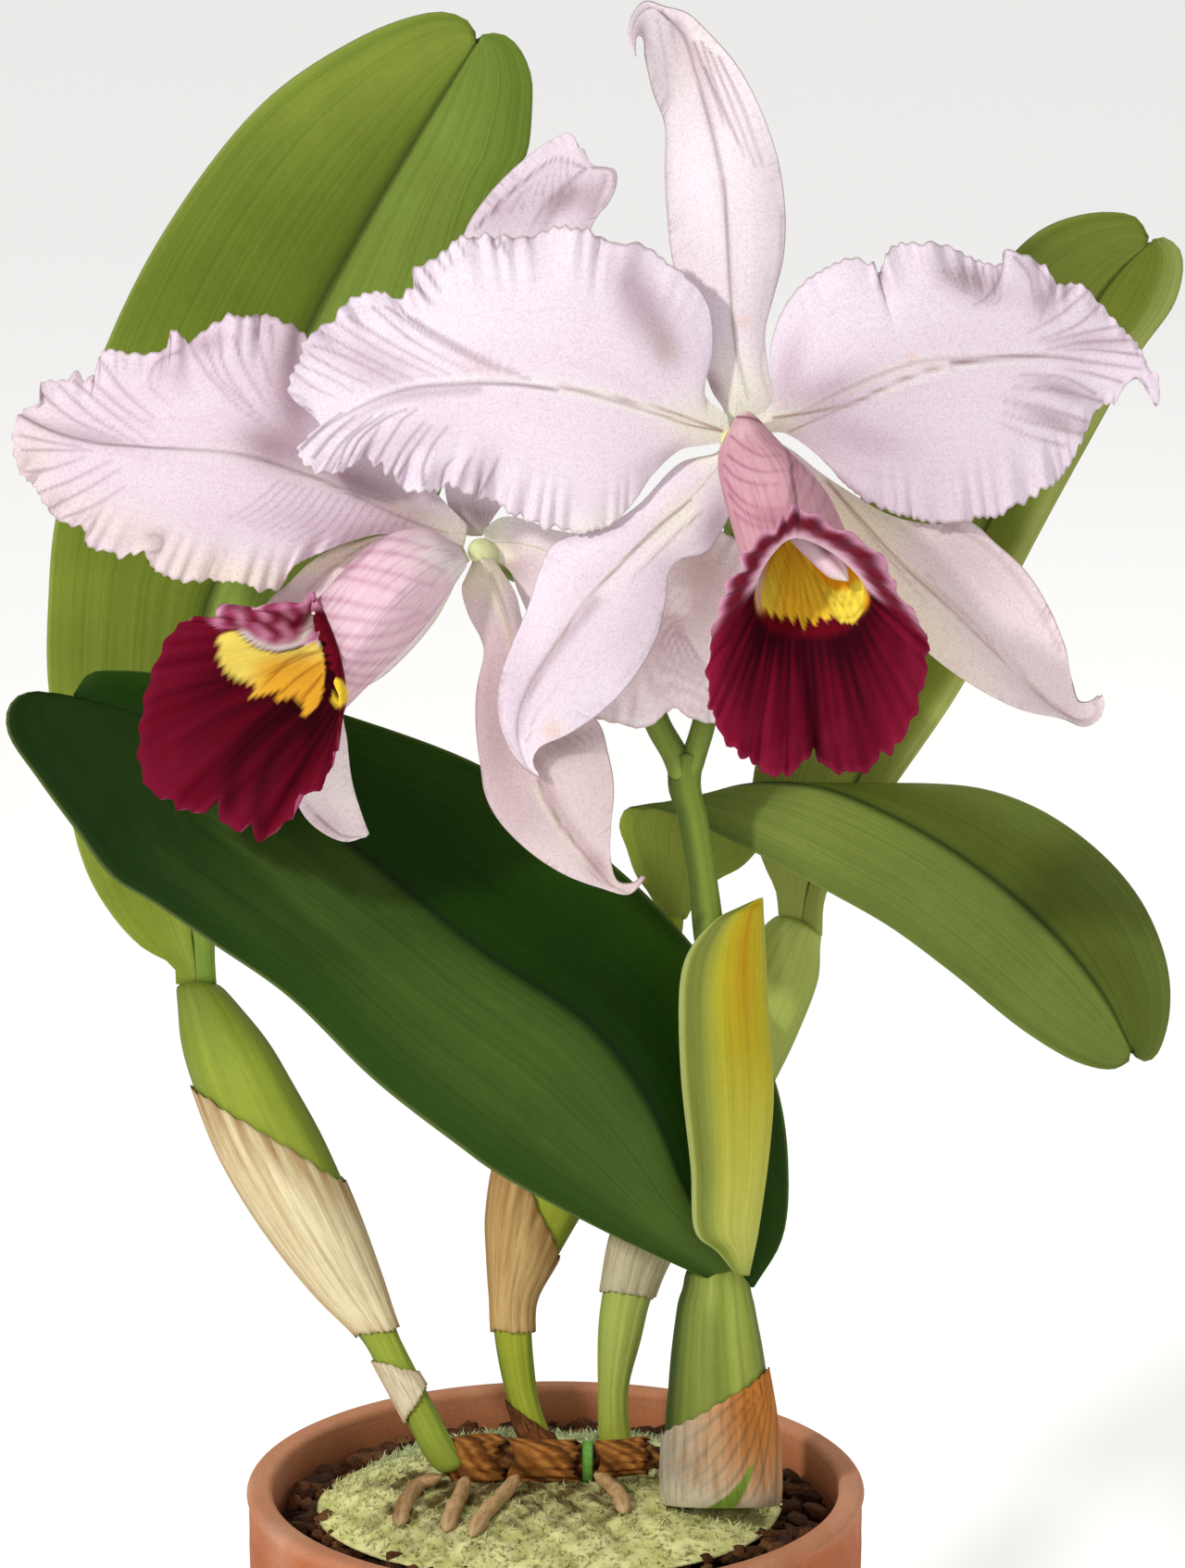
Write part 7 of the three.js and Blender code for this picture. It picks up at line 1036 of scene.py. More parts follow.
def rust_colour(II, AA):
    # streaks fan out from the upper right corner
    x = (1 - np.cos(AA)) / 2
    front = np.sin(AA) > -0.2
    c = mix(np.broadcast_to(srgb('#DCD2B4'), II.shape + (3,)), srgb('#A8A090'), 0.75 * sstep(0.35, 1.0, x) * sstep(1.1, 0.2, II) + 0.2 * sstep(0.75, 1.0, II))
    r = np.hypot(x * 0.95, II * 0.8)
    phi = np.arctan2(II + 0.04, x + 0.03)
    line = 0.5 + 0.5 * np.sin(phi * 36 + 0.8 * np.sin(phi * 11))
    c = mix(c, srgb('#CC7C22'), sstep(1.02, 0.25, r + 0.15 * line) * 0.95)
    c = mix(c, srgb('#86541C'), line ** 3 * 0.70 * sstep(1.05, 0.3, r))
    w0 = 0.24 + 0.26 * (II - 0.42) / 0.55
    hw = 0.012 + 0.10 * np.clip((II - 0.42) / 0.55, 0, 1)
    wedge = sstep(hw + 0.015, hw - 0.01, np.abs(x - w0)) * sstep(0.42, 0.47, II) * front
    return mix(c, srgb('#7F9C3A'), wedge)
shell("papery_sheath_front", PB_FRONT, 0.75, slant(0.66, 0.52, 0.004, 11), slant(0.965, 0.965), 38, 180, 0.35, 0.3, rust_colour, M_SHEATH, "sheath_front", puff=0.3)

SPATHE_TIP = [r[:4] + [r[4] + (1.2 if r[1] < 1200 else 0.0)] for r in SPATHE[:-1]] + [[772, 993, 825, 984, 10.4], [799, 979, 824.6, 974, 9.4], [819, 970, 824.2, 968.5, 8.8]]

def spathe_piece():
    ns, nr = 64, 84
    II, AA = ring_params(ns, nr, 0.0, 1.0)
    SS = 0.015 + 0.985 * II
    q = stations(SPATHE_TIP, SS)
    A = place(q[..., 0], q[..., 1], q[..., 4]); B = place(q[..., 2], q[..., 3], q[..., 4])
    C, Hv = (A + B) / 2, (B - A) / 2
    w = np.linalg.norm(Hv, axis=-1, keepdims=True)
    def lay(off):
        sn = np.sin(AA)
        depth = np.sign(sn) * np.abs(sn) ** (1.25 - 0.4 * sstep(0.55, 0.8, II))
        ex = np.cos(AA)[..., None] * (1 + off / 1000 / w)
        return C + Hv * ex + BACK * (depth[..., None] * (w * 0.4 + off / 1000))
    O, I = lay(0.0), lay(-0.55)
    V = np.vstack([O.reshape(-1, 3), I.reshape(-1, 3)])
    o = ns * nr
    q1 = grid_quads(ns, nr, 0, wrap=True); q2 = grid_quads(ns, nr, o, wrap=True, flip=True)
    j = np.arange(nr); j2 = (j + 1) % nr
    e1 = np.stack([j, o + j, o + j2, j2], -1)
    e2 = np.stack([(ns - 1) * nr + j, (ns - 1) * nr + j2, o + (ns - 1) * nr + j2, o + (ns - 1) * nr + j], -1)
    nn = np.cross(O[1, 20] - O[0, 20], O[0, 21] - O[0, 20])
    qs = [q1, q2, e1, e2]
    if np.dot(nn, O[0, 20] - O[0].mean(0)) > 0:
        qs = [x[:, ::-1] for x in qs]
    x = (1 + np.cos(AA)) / 2          # 0 at the left edge, 1 at the right
    c = np.broadcast_to(srgb('#B4AA24'), II.shape + (3,))
    c = mix(c, srgb('#B8BE62'), sstep(0.52, 0.08, II) * 0.9)
    c = mix(c, srgb('#8F9C42'), sstep(0.54, 0.24, x) * 0.75)
    # painted shade: a darker band beside the folded left edge
    c = mix(c, srgb('#6E7834'), sstep(0.40, 0.16, x) * sstep(0.03, 0.12, x) * (0.85 - 0.25 * sstep(0.3, 0.05, II)))
    c = mix(c, srgb('#BAC684'), sstep(0.09, 0.0, x) * 0.8)
    up = sstep(0.34, 0.66, II)
    fine = 0.7 + 0.3 * np.sin(AA * 70 + 3 * np.sin(AA * 9)) * sstep(0.4, 0.8, II)
    streak = np.exp(-((x - 0.66 - 0.05 * (1 - II)) / 0.13) ** 2) + 0.35 * np.exp(-((x - 0.86) / 0.05) ** 2)
    c = mix(c, srgb('#B47C08'), np.clip(streak * up * fine, 0, 0.85))
    c = mix(c, srgb('#A8A83C'), sstep(0.90, 0.98, x) * sstep(0.35, 0.6, II) * 0.7)
    c = mix(c, srgb('#BCC67C'), sstep(0.955, 1.0, II) * sstep(0.75, 0.3, x) * 0.8)
    c = mix(c, srgb('#8E9E4E'), sstep(0.10, 0.0, II) * 0.6)
    c = mix(c, srgb('#D3D894'), sstep(0.93, 1.0, II) * 0.7)
    uv = np.stack([II, AA / (2 * np.pi)], -1).reshape(-1, 2)
    ids = np.arange(len(q1) + len(q2), len(q1) + len(q2) + 2 * nr)
    # the inner face takes the outer colour darkened: painted shade
    make_mesh("spathe_sheath", V, qs, np.vstack([uv, uv]), np.vstack([c.reshape(-1, 3), (c * 0.75).reshape(-1, 3)]), M_SPATHE, "spathe", flat=ids, corner_col=(ids, srgb('#7C6B28')))
spathe_piece()

# =================== rhizome, scales and roots ===================
M_RHIZ = plant_mat("rhizome_bark", 16.0, 10.0, (0.35, 0.25, 0.16), 0.42, 0.62, 0.85, 0.45, 0.0008, rough=0.85, spec=0.2)
M_HUSK = plant_mat("rhizome_husk", 5.0, 16.0, (0.55, 0.42, 0.3), 0.4, 0.62, 0.7, 0.3, 0.0005, rough=0.85, spec=0.1)
SS, AA = ring_params(120, 50)
lump = 0.35 * np.sin(SS * 52) + 0.3 * np.sin(SS * 23 + AA * 2) + 0.2 * np.sin(7 * AA + 30 * SS)
X = ell_grid(RHIZOME, 0.85, SS, AA, lump - 0.2)
c = mix(np.broadcast_to(srgb('#A87036'), SS.shape + (3,)), srgb('#4A2A12'), 0.5 + 0.5 * np.sin(SS * 60 + 2 * np.sin(AA * 3)))
closed_tube("rhizome_body", round_ends(X, 5, 0.9), np.stack([SS, AA / (2 * np.pi)], -1), c, M_RHIZ, "rhizome")
def scale_colour(II, AA):
    tw = AA + 2.3 * II
    c = mix(np.broadcast_to(srgb('#C0833F'), II.shape + (3,)), srgb('#8A5524'), 0.5 + 0.5 * np.sin(tw * 9 + 0.7 * np.sin(tw * 4)))
    c = mix(c, srgb('#45260E'), 0.85 * np.exp(-(np.sin(tw * 1.5 + 0.5) / 0.30) ** 2))
    return mix(c, srgb('#45260E'), sstep(0.86, 1.0, II) * 0.6 + 0.4 * sstep(0.08, 0.0, II))
for nm, s0, s1, sd in (("1", 0.115, 0.335, 1), ("2", 0.35, 0.605, 2), ("3", 0.675, 0.905, 3)):
    shell("rhizome_scale_skin_" + nm, RHIZOME, 0.85, (lambda s0, sd: lambda a: s0 + 0.012 * np.sin(a * 3 + sd))(s0, sd), (lambda s1, sd: lambda a: s1 - 0.03 * np.abs(np.sin(a * 2 + sd)) + 0.008 * np.sin(a * 21 + sd))(s1, sd), 26, 84, 0.4, 0.3, scale_colour, M_HUSK, "rhizome_scale_" + nm, puff=0.55)
shell("rhizome_node_ring", RHIZOME, 0.85, lambda a: 0.613 + 0 * a, lambda a: 0.657 + 0 * a, 16, 90, 0.45, 0.4, lambda II, AA: mix(np.broadcast_to(srgb('#6FA545'), II.shape + (3,)), srgb('#3F6B28'), np.abs(2 * II - 1) ** 3), M_STEM, "rhizome_ring", puff=0.15)

MOSS_C = (-3.0, 3.0)
REACH = np.array([[0, 47], [30, 48], [60, 44], [80, 38], [100, 40], [125, 41], [150, 40], [175, 43], [200, 44], [225, 43], [250, 41], [270, 40], [300, 43], [330, 46], [360, 47]], float)
MOSS_FOOT, MOSS_RISE = 89.8, 6.2
def moss_h(x, y):
    dx, dy = x - MOSS_C[0], y - MOSS_C[1]
    a = np.degrees(np.arctan2(dy, dx)) % 360
    rho = np.hypot(dx, dy) / np.interp(a, REACH[:, 0], REACH[:, 1])
    return MOSS_FOOT + MOSS_RISE * np.maximum(0, 1 - np.minimum(1, rho) ** 2.6) + 1.5 * np.clip((y - 12) / 20, 0, 1) * np.maximum(0, 1 - rho)
def root_pts(path):
    out = []
    for i, (u, v) in enumerate(path):
        lift = 2.2 if i == 0 else (0.4 if i == len(path) - 1 else 0.9)
        lo, hi = -10.0, 60.0
        for _ in range(40):
            d = (lo + hi) / 2
            q = place(u, v, d) * 1000
            if q[2] < moss_h(q[0], q[1]) + lift:
                lo = d
            else:
                hi = d
        out.append(place(u, v, hi))
    return np.array(out)
def root_colour(SS, AA):
    c = np.broadcast_to(srgb('#CDA878'), SS.shape + (3,))
    # painted shade: darker on one side
    c = mix(c, srgb('#8A6238'), 0.7 * sstep(0.1, -0.9, np.sin(AA + 0.4)))
    return mix(c, srgb('#E2C79C'), sstep(0.85, 1.0, SS) * 0.6)
for i, path in enumerate(ROOT_PATHS):
    stem("aerial_root_%d" % (i + 1), root_pts(path), [1.3, 1.5, 1.6, 1.5], 64, 28, root_colour, M_ROOT, "root_%d" % (i + 1), bumps=lambda s, A, i=i: 0.05 * math.sin(s * 23 + i) + 0.04 * np.sin(3 * A + s * 9), ends=9, dome=1.0)

# =================== moss, potting mix and pot ===================
def put_instances(name, base_v, base_f, uv0, mats, cols, mat, node):
    """copies of one small shape joined into one mesh"""
    n = len(mats)
    nv = len(base_v)
    V = np.einsum('nij,vj->nvi', mats[:, :3, :3], base_v) + mats[:, None, :3, 3]
    F = (base_f[None] + (np.arange(n) * nv)[:, None, None]).reshape(-1, 4)
    C = np.repeat(cols[:, None, :], nv, 1) if cols.ndim == 2 else cols
    UV = np.broadcast_to(uv0[None], (n, nv, 2)).reshape(-1, 2)
    return make_mesh(name, V.reshape(-1, 3), [F], UV, C.reshape(-1, 3), mat, node)

# the mound
na, nrr = 190, 46
A, Rr = np.meshgrid(np.linspace(0, 2 * np.pi, na, endpoint=False), np.linspace(0, 1, nrr), indexing='ij')
reach = np.interp(np.degrees(A) % 360, REACH[:, 0], REACH[:, 1])
RR = Rr * reach * 1.005
x = MOSS_C[0] + RR * np.cos(A)
y = MOSS_C[1] + RR * np.sin(A)
h = moss_h(x, y)
def lumps(x, y):
    q = 0
    for k, (fx, fy, ph, am) in enumerate(((0.9, 0.5, 0.3, 0.30), (0.5, -1.0, 1.7, 0.28), (-1.3, 0.8, 2.2, 0.22), (1.9, 1.4, 4.0, 0.16), (2.6, -1.7, 5.1, 0.13), (0.31, 0.27, 0.9, 0.35))):
        q = q + am * np.sin(fx * x + fy * y + ph + 0.7 * np.sin(0.6 * y - 0.4 * x + k))
    return q
z = h + lumps(x, y) * np.clip((1 - Rr) * 6, 0.25, 1) * 0.55 - 0.35
z = np.maximum(z, MOSS_FOOT - 0.05 * (Rr > 0.995))
z[:, -1] = MOSS_FOOT - 0.28
PX = np.stack([x, y, z], -1) / 1000
N = grid_normals(PX)
# painted shade: darker in the hollows between the lumps
base_col = mix(np.broadcast_to(srgb('#F4F2AE'), x.shape + (3,)), srgb('#CED084'), np.clip(0.5 - lumps(x, y) * 0.9, 0, 1))
base_col = mix(base_col, srgb('#B5C59A'), sstep(8, 26, y) * 0.6)
SOIL_Y = float(place(600, 1592, 0.0)[1] * 1000) - 3.0
def soil(x, y):
    # bare brown earth under the rhizome and between the roots
    e = np.exp(-(np.maximum(0, SOIL_Y - y) / 20.0) ** 2 - (np.maximum(0, y - SOIL_Y - 8) / 5.0) ** 2) * sstep(-40, -26, x + 3 * np.sin(y * 0.4)) * sstep(20, 9, x + 3 * np.sin(y * 0.5))
    return np.clip(1.75 * e * (0.62 + 0.38 * np.sin(x * 0.8 + 1.9 * np.sin(y * 0.6 + 1.0))) * (0.75 + 0.25 * np.sin(x * 2.1 + 2.4 * np.sin(y * 1.1 + 0.5 * x))), 0, 0.92)
base_col = mix(base_col, srgb('#4A2E12'), soil(x, y))
V = PX.reshape(-1, 3)
Vb = np.array([[MOSS_C[0] / 1000, MOSS_C[1] / 1000, (MOSS_FOOT - 0.3) / 1000]])
q = grid_quads(na, nrr, 0)
wrap_q = np.stack([(na - 1) * nrr + np.arange(nrr - 1), np.arange(nrr - 1), np.arange(1, nrr), (na - 1) * nrr + np.arange(1, nrr)], -1)
top_q = np.vstack([q, wrap_q])
n_ = np.cross(V[top_q[5, 1]] - V[top_q[5, 0]], V[top_q[5, 2]] - V[top_q[5, 0]])
if n_[2] < 0:
    top_q = top_q[:, ::-1]
ob = len(V)
ring = (np.arange(na) + 1) * nrr - 1
ring2 = np.roll(ring, -1)
bot_t = np.stack([ring2, ring, np.full(na, ob)], -1)
UVm = np.stack([x / 60 + 0.5, y / 60 + 0.5], -1).reshape(-1, 2)
M_MOSS = plant_mat("moss_cushion", 22.0, 22.0, (0.86, 0.87, 0.62), 0.45, 0.68, 0.4, 0.10, 0.0008, rough=0.95, spec=0.05)
make_mesh("moss_cushion", np.vstack([V, Vb]), [top_q, bot_t], np.vstack([UVm, [[0.5, 0.5]]]), np.vstack([base_col.reshape(-1, 3), base_col[0, :1]]), M_MOSS, "moss_mound")

# sprigs that stand out of the cushion
def sprig_base(nseg=3, bend=0.55):
    v, f = [], []
    for i in range(nseg + 1):
        t = i / nseg
        w = 0.16 * (1 - t) ** 0.8 + 0.012
        cx, cz = bend * t * t, t * (1 - 0.25 * t)
        for j in range(3):
            a = 2 * math.pi * j / 3
            v.append((cx + w * math.cos(a), w * math.sin(a), cz))
    for i in range(nseg):
        for j in range(3):
            a, b = i * 3 + j, i * 3 + (j + 1) % 3
            f.append((a, b, b + 3, a + 3))
    return np.array(v), np.array(f)

def rand_frames(rs, pos, up, size, tilt):
    n = len(pos)
    z = up + tilt * rs.normal(size=(n, 3))
    z /= np.linalg.norm(z, axis=1, keepdims=True)
    h = rs.normal(size=(n, 3))
    x = h - z * np.sum(h * z, 1, keepdims=True)
    x /= np.linalg.norm(x, axis=1, keepdims=True)
    y = np.cross(z, x)
    M = np.zeros((n, 4, 4))
    M[:, :3, 0], M[:, :3, 1], M[:, :3, 2] = x * size[:, :1], y * size[:, 1:2], z * size[:, 2:3]
    M[:, :3, 3] = pos
    return M

rs = np.random.RandomState(77)
ns_ = 4600
aa = rs.rand(ns_) * 2 * np.pi
rr = np.sqrt(rs.rand(ns_)) * 0.985
rc = np.interp(np.degrees(aa) % 360, REACH[:, 0], REACH[:, 1])
sx, sy = MOSS_C[0] + rr * rc * np.cos(aa), MOSS_C[1] + rr * rc * np.sin(aa)
sz = moss_h(sx, sy) + lumps(sx, sy) * np.clip((1 - rr) * 6, 0.25, 1) * 0.55 - 0.45
e = 0.4
gx = (moss_h(sx + e, sy) + 0.55 * lumps(sx + e, sy) - moss_h(sx - e, sy) - 0.55 * lumps(sx - e, sy)) / (2 * e)
gy = (moss_h(sx, sy + e) + 0.55 * lumps(sx, sy + e) - moss_h(sx, sy - e) - 0.55 * lumps(sx, sy - e)) / (2 * e)
upv = np.stack([-gx, -gy, np.ones(ns_)], -1)
upv /= np.linalg.norm(upv, axis=1, keepdims=True)
sv, sf = sprig_base()
ln = (0.9 + 1.5 * rs.rand(ns_) ** 1.5) * (1 - 0.5 * soil(sx, sy)) / 1000
size = np.stack([ln, ln, ln], -1)
# painted shade: sprigs darker in the hollows between the lumps
tone = np.clip(0.5 - lumps(sx, sy) * 0.8 + 0.5 * (rs.rand(ns_) - 0.5), 0, 1)
sc = mix(np.broadcast_to(srgb('#FCFABE'), (ns_, 3)), srgb('#ECEBA0'), tone)
sc = mix(sc, srgb('#B9CBA6'), sstep(8, 28, sy) * 0.65)
sc = mix(sc, srgb('#5A3E1A'), np.clip(soil(sx, sy) * 1.15 * (0.55 + 0.6 * rs.rand(ns_)), 0, 0.95))
sc = np.clip(sc * (0.9 + 0.25 * rs.rand(ns_, 1)), 0, 1)
fmat = rand_frames(rs, np.stack([sx, sy, sz], -1) / 1000, upv, size, 0.55)
tipc = np.repeat(sc[:, None, :], len(sv), 1) * (0.86 + 0.3 * np.clip(sv[:, 2], 0, 1))[None, :, None]
put_instances("moss_sprigs", sv, sf, np.stack([sv[:, 2], sv[:, 0]], -1), fmat, tipc, M_MOSS, "moss_mound")

# the potting mix of bark chips
INNER = lambda z: 42 + 14.0 / 77 * z - 4.5
M_BARK = plant_mat("bark_chip", 3.0, 9.0, (0.45, 0.34, 0.26), 0.4, 0.62, 0.9, 0.45, 0.0008, rough=0.9, spec=0.15)
prof = [(0, 5.4), (10, 5.4), (25, 5.4), (INNER(5.4) - 0.4, 5.4), (INNER(30) - 0.4, 30), (INNER(60) - 0.4, 60), (53.9, 77), (53.9, 86.0), (48, 87.0), (30, 87.4), (12, 87.4), (0, 87.4)]
def revolve(profile_rz, nseg):
    P = np.array(profile_rz, float)
    a = np.linspace(0, 2 * np.pi, nseg, endpoint=False)
    X = np.stack([P[:, None, 0] * np.cos(a), P[:, None, 0] * np.sin(a), np.broadcast_to(P[:, None, 1], (len(P), nseg))], -1)
    return X / 1000
X = revolve(prof[1:-1], 96)
nn_ = X.shape[0]
AA = np.broadcast_to(np.linspace(0, 1, 96, endpoint=False), (nn_, 96))
SS = np.broadcast_to(np.linspace(0, 1, nn_)[:, None], (nn_, 96))
bc = mix(np.broadcast_to(srgb('#4A3120'), (nn_, 96, 3)), srgb('#2A1A10'), 0.5 + 0.5 * np.sin(AA * 90))
closed_tube("potting_mix_core", X, np.stack([SS * 4, AA * 8], -1), bc, M_BARK, "potting_medium")

def chip_base():
    """a split piece of bark: a box with knocked-off corners and bowed faces"""
    v, f = [], []
    xs = np.array([-1, -0.45, 0.45, 1.0])
    idx = {}
    def vid(i, j, k):
        key = (i, j, k)
        if key not in idx:
            p = np.array([xs[i], xs[j], xs[k]])
            m = np.abs(p).max()
            q = p * (1 - 0.16 * (np.sum(p * p) - m * m))
            idx[key] = len(v)
            v.append(q)
        return idx[key]
    for i in range(3):
        for j in range(3):
            f.append((vid(i, j, 0), vid(i, j + 1, 0), vid(i + 1, j + 1, 0), vid(i + 1, j, 0)))
            f.append((vid(i, j, 3), vid(i + 1, j, 3), vid(i + 1, j + 1, 3), vid(i, j + 1, 3)))
            f.append((vid(i, 0, j), vid(i + 1, 0, j), vid(i + 1, 0, j + 1), vid(i, 0, j + 1)))
            f.append((vid(i, 3, j), vid(i, 3, j + 1), vid(i + 1, 3, j + 1), vid(i + 1, 3, j)))
            f.append((vid(0, i, j), vid(0, i, j + 1), vid(0, i + 1, j + 1), vid(0, i + 1, j)))
            f.append((vid(3, i, j), vid(3, i + 1, j), vid(3, i + 1, j + 1), vid(3, i, j + 1)))
    return np.array(v), np.array(f)
rs = np.random.RandomState(31)
cv, cf = chip_base()
n_c = 380
ca_ = rs.rand(n_c) * 2 * np.pi
cr_ = 36 + 16.2 * rs.rand(n_c) ** 0.75
chz = 87.2 + 1.5 * rs.rand(n_c)
sz3 = np.stack([1.3 + 2.6 * rs.rand(n_c), 0.9 + 1.6 * rs.rand(n_c), 0.5 + 0.8 * rs.rand(n_c)], -1) / 1000
cr_ = np.minimum(cr_, 54.2 - 1000 * sz3[:, 0])
pos = np.stack([cr_ * np.cos(ca_), cr_ * np.sin(ca_), chz], -1) / 1000
M4 = rand_frames(rs, pos, np.broadcast_to(np.array([0, 0, 1.0]), (n_c, 3)), np.ones((n_c, 3)), 0.35)
M4[:, :3, :3] = M4[:, :3, :3] * sz3[:, None, :]
tone = rs.rand(n_c)
cc = mix(np.broadcast_to(srgb('#7A4E2E'), (n_c, 3)), srgb('#3A2415'), tone)
cc = mix(cc, srgb('#A47A4E'), sstep(0.85, 1.0, rs.rand(n_c)) * 0.7)
jit = 1 + 0.25 * (rs.rand(n_c, len(cv), 1) - 0.5)
Vc = np.einsum('nij,nvj->nvi', M4[:, :3, :3], cv[None] * jit) + M4[:, None, :3, 3]
Fc = (cf[None] + (np.arange(n_c) * len(cv))[:, None, None]).reshape(-1, 4)
uvc = np.broadcast_to(np.stack([cv[:, 0] * 0.5, cv[:, 1] * 0.5 + cv[:, 2] * 0.2], -1)[None], (n_c, len(cv), 2)) + rs.rand(n_c, 1, 2) * 7
make_mesh("potting_mix_chips", Vc.reshape(-1, 3), [Fc], uvc.reshape(-1, 2), np.repeat(cc[:, None, :], len(cv), 1).reshape(-1, 3), M_BARK, "potting_medium")

# the clay pot
def arc(cx, cz, r, a0, a1, n):
    return [(cx + r * math.cos(math.radians(a)), cz + r * math.sin(math.radians(a))) for a in np.linspace(a0, a1, n)]
SL = 14.0 / 77
wall_o = [(42 + SL * z + 0.06 * math.sin(z * 1.9) + 0.04 * math.sin(z * 5.3), z) for z in np.linspace(2.6, 75.5, 60)]
wall_i = [(INNER(z) + 0.05 * math.sin(z * 2.3), z) for z in np.linspace(76.0, 6.0, 30)]
prof = [(0, 0), (12, 0), (30, 0), (39, 0)] + arc(40.6, 1.8, 1.8, -90, -10, 8) + wall_o
prof += arc(58.0, 78.7, 1.5, -85, -5, 8) + [(59.55 + 0.03 * math.sin(z), z) for z in np.linspace(80, 92, 14)] + arc(58.4, 93.4, 1.6, 0, 90, 9) + arc(56.4, 93.6, 1.4, 90, 180, 8)
prof += [(55.0, 90), (55.0, 84), (55.0, 78.0)] + wall_i + [(INNER(5.0) - 0.9, 5.0), (30, 5.0), (12, 5.0), (0, 5.0)]
nseg = 128
X = revolve(prof[1:-1], nseg)
nn_ = X.shape[0]
ang = np.linspace(0, 2 * np.pi, nseg, endpoint=False)
out = 1 + 0.0006 * np.sin(2 * ang + 0.7) + 0.0004 * np.sin(5 * ang)
X[..., 0] *= out
X[..., 1] *= out
SS = np.broadcast_to(np.linspace(0, 1, nn_)[:, None], (nn_, nseg))
AA = np.broadcast_to(np.linspace(0, 1, nseg, endpoint=False), (nn_, nseg))
zz = X[..., 2] * 1000
tc = mix(np.broadcast_to(srgb('#B5683F'), (nn_, nseg, 3)), srgb('#C67E54'), 0.5 + 0.5 * np.sin(zz * 0.21 + 2 * np.sin(AA * 2 * np.pi)))
tc = mix(tc, srgb('#CDA88C'), 0.35 * sstep(14, 2, zz) + 0.25 * sstep(91, 95, zz))
# painted shade: a dark ring under the overhang of the rim
tc = mix(tc, srgb('#8E4A2A'), 0.55 * np.exp(-((zz - 77.2) / 0.9) ** 2))
def clay_mat():
    m, nt, p = new_mat("clay", rough=0.85, spec=0.25)
    col = attr_col(nt)
    o = obj_coord(nt)
    big = noise(nt, o, 26.0, 5.0, 0.62, 0.3)
    c = mixc(nt, 'MIX', nmath(nt, 'MULTIPLY', ramp(nt, big, [(0.50, (0, 0, 0)), (0.72, (1, 1, 1))]), 0.38), col, srgb('#D9B9A0'))
    dark = noise(nt, o, 60.0, 4.0, 0.6)
    c = mixc(nt, 'MULTIPLY', 0.5, c, ramp(nt, dark, [(0.3, (0.72, 0.66, 0.62)), (0.6, (1, 1, 1))]))
    grain = noise(nt, o, 1400.0, 3.0, 0.7)
    c = mixc(nt, 'MULTIPLY', 0.6, c, ramp(nt, grain, [(0.35, (0.78, 0.74, 0.7)), (0.6, (1, 1, 1))]))
    nt.links.new(c, p.inputs["Base Color"])
    nt.links.new(nmath(nt, 'MULTIPLY_ADD', big, 0.2, 0.72), p.inputs["Roughness"])
    mp = nt.nodes.new("ShaderNodeMapping")
    mp.inputs["Scale"].default_value = (14, 14, 520)
    nt.links.new(o, mp.inputs[0])
    lines = noise(nt, mp.outputs[0], 1.0, 2.0, 0.5)
    h = nmath(nt, 'MULTIPLY_ADD', grain, 0.35, nmath(nt, 'MULTIPLY', lines, 0.7))
    bump(nt, p, h, 0.5, 0.0004)
    return m
M_CLAY = clay_mat()
pot = closed_tube("clay_pot", X, np.stack([SS, AA], -1), tc, M_CLAY, "pot")
for i in range(4):
    a = math.radians(45 + 90 * i)
    bpy.ops.mesh.primitive_cylinder_add(vertices=48, radius=0.004, depth=0.02, location=(0.020 * math.cos(a), 0.020 * math.sin(a), 0.0025))
    cyl = bpy.context.object
    md = pot.modifiers.new("hole%d" % i, 'BOOLEAN')
    md.operation = 'DIFFERENCE'
    md.solver = 'EXACT'
    md.object = cyl
    bpy.context.view_layer.update()
    dg = bpy.context.evaluated_depsgraph_get()
    me2 = bpy.data.meshes.new_from_object(pot.evaluated_get(dg))
    pot.modifiers.clear()
    pot.data = me2
    bpy.data.objects.remove(cyl, do_unlink=True)

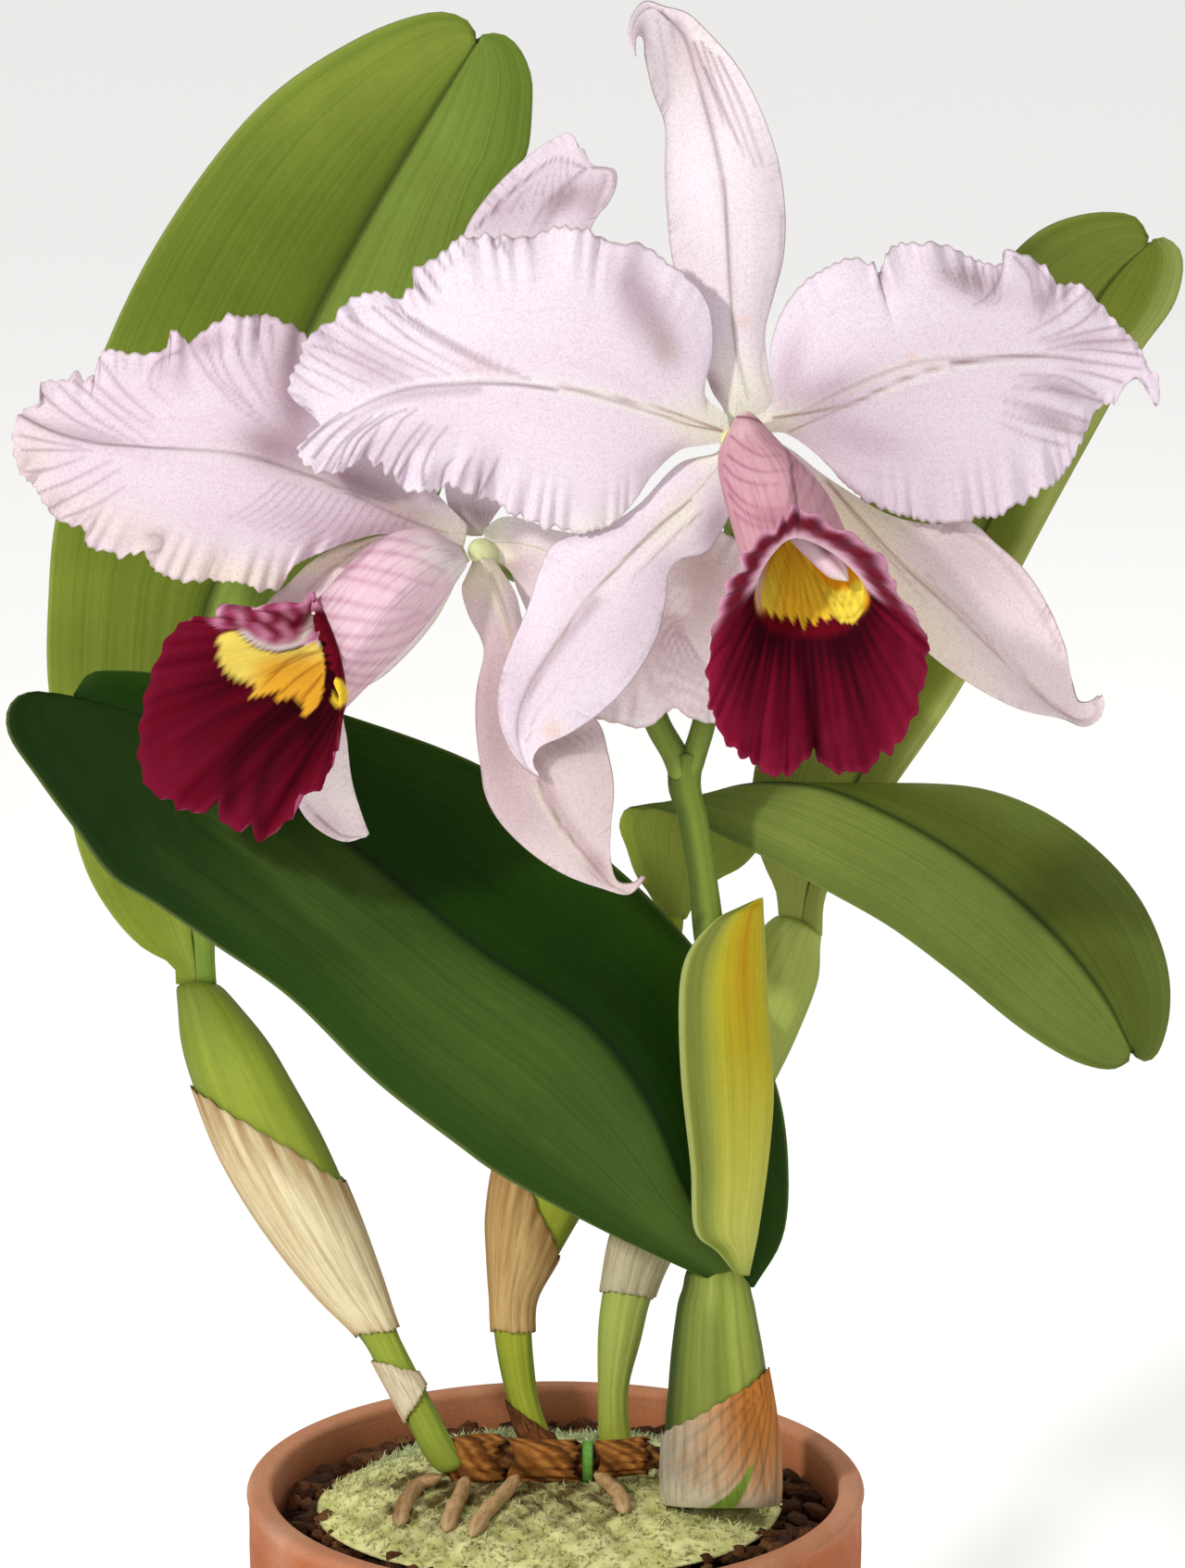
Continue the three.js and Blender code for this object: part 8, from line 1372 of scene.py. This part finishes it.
# =================== floor, light and camera ===================
def flat_mat(name, colour, rough=0.9):
    m = bpy.data.materials.new(name)
    m.use_nodes = True
    p = m.node_tree.nodes["Principled BSDF"]
    p.inputs["Base Color"].default_value = (*colour, 1)
    p.inputs["Roughness"].default_value = rough
    p.inputs["Specular IOR Level"].default_value = 0.1
    p.inputs["Emission Color"].default_value = (1.0, 0.997, 0.99, 1)
    p.inputs["Emission Strength"].default_value = 0.33
    return m
me = bpy.data.meshes.new("floor")
R_ = 14.0
me.from_pydata([(-R_, -R_, 0), (R_, -R_, 0), (R_, R_, 0), (-R_, R_, 0)], [], [(0, 1, 2, 3)])
floor = bpy.data.objects.new("floor", me)
COL.objects.link(floor)
me.materials.append(flat_mat("floor", (0.86, 0.855, 0.84)))

w = bpy.data.worlds.new("studio")
bpy.context.scene.world = w
w.use_nodes = True
wt = w.node_tree
bg = wt.nodes["Background"]
bg.inputs[0].default_value = (1.0, 0.997, 0.99, 1)
lp = wt.nodes.new("ShaderNodeLightPath")
wt.links.new(nmath(wt, 'MULTIPLY_ADD', lp.outputs["Is Camera Ray"], 0.25, 0.55), bg.inputs[1])

def area(name, loc, target, size, power, colour=(1, 1, 1)):
    l = bpy.data.lights.new(name, 'AREA')
    l.shape = 'DISK'
    l.size = size
    l.energy = power
    l.color = colour
    ob = bpy.data.objects.new(name, l)
    COL.objects.link(ob)
    d = Vector(target) - Vector(loc)
    ob.location = loc
    ob.rotation_euler = d.to_track_quat('-Z', 'Y').to_euler()
    return ob
area("key", (-1.0, -1.15, 1.15), (0, 0, 0.25), 0.13, 17.5, (1, 0.985, 0.96))
area("fill", (0.95, -0.7, 0.6), (0, 0, 0.25), 0.9, 1.0, (0.97, 0.98, 1))
area("back", (0.35, 1.0, 0.9), (0, 0, 0.28), 0.7, 2.0)

cam = bpy.data.cameras.new("camera")
cob = bpy.data.objects.new("camera", cam)
COL.objects.link(cob)
cam.sensor_width = 36
cam.sensor_fit = 'AUTO'
cam.lens = 177.2
cam.clip_start = 0.05
cam.clip_end = 60
Rm = Matrix([[RIGHT[i], UP[i], BACK[i]] for i in range(3)]).to_4x4()
loc = (P0 + BACK * DIST) / 1000
cob.matrix_world = Matrix.Translation(Vector(loc)) @ Rm
bpy.context.scene.camera = cob
bpy.context.scene.view_settings.view_transform = 'Standard'
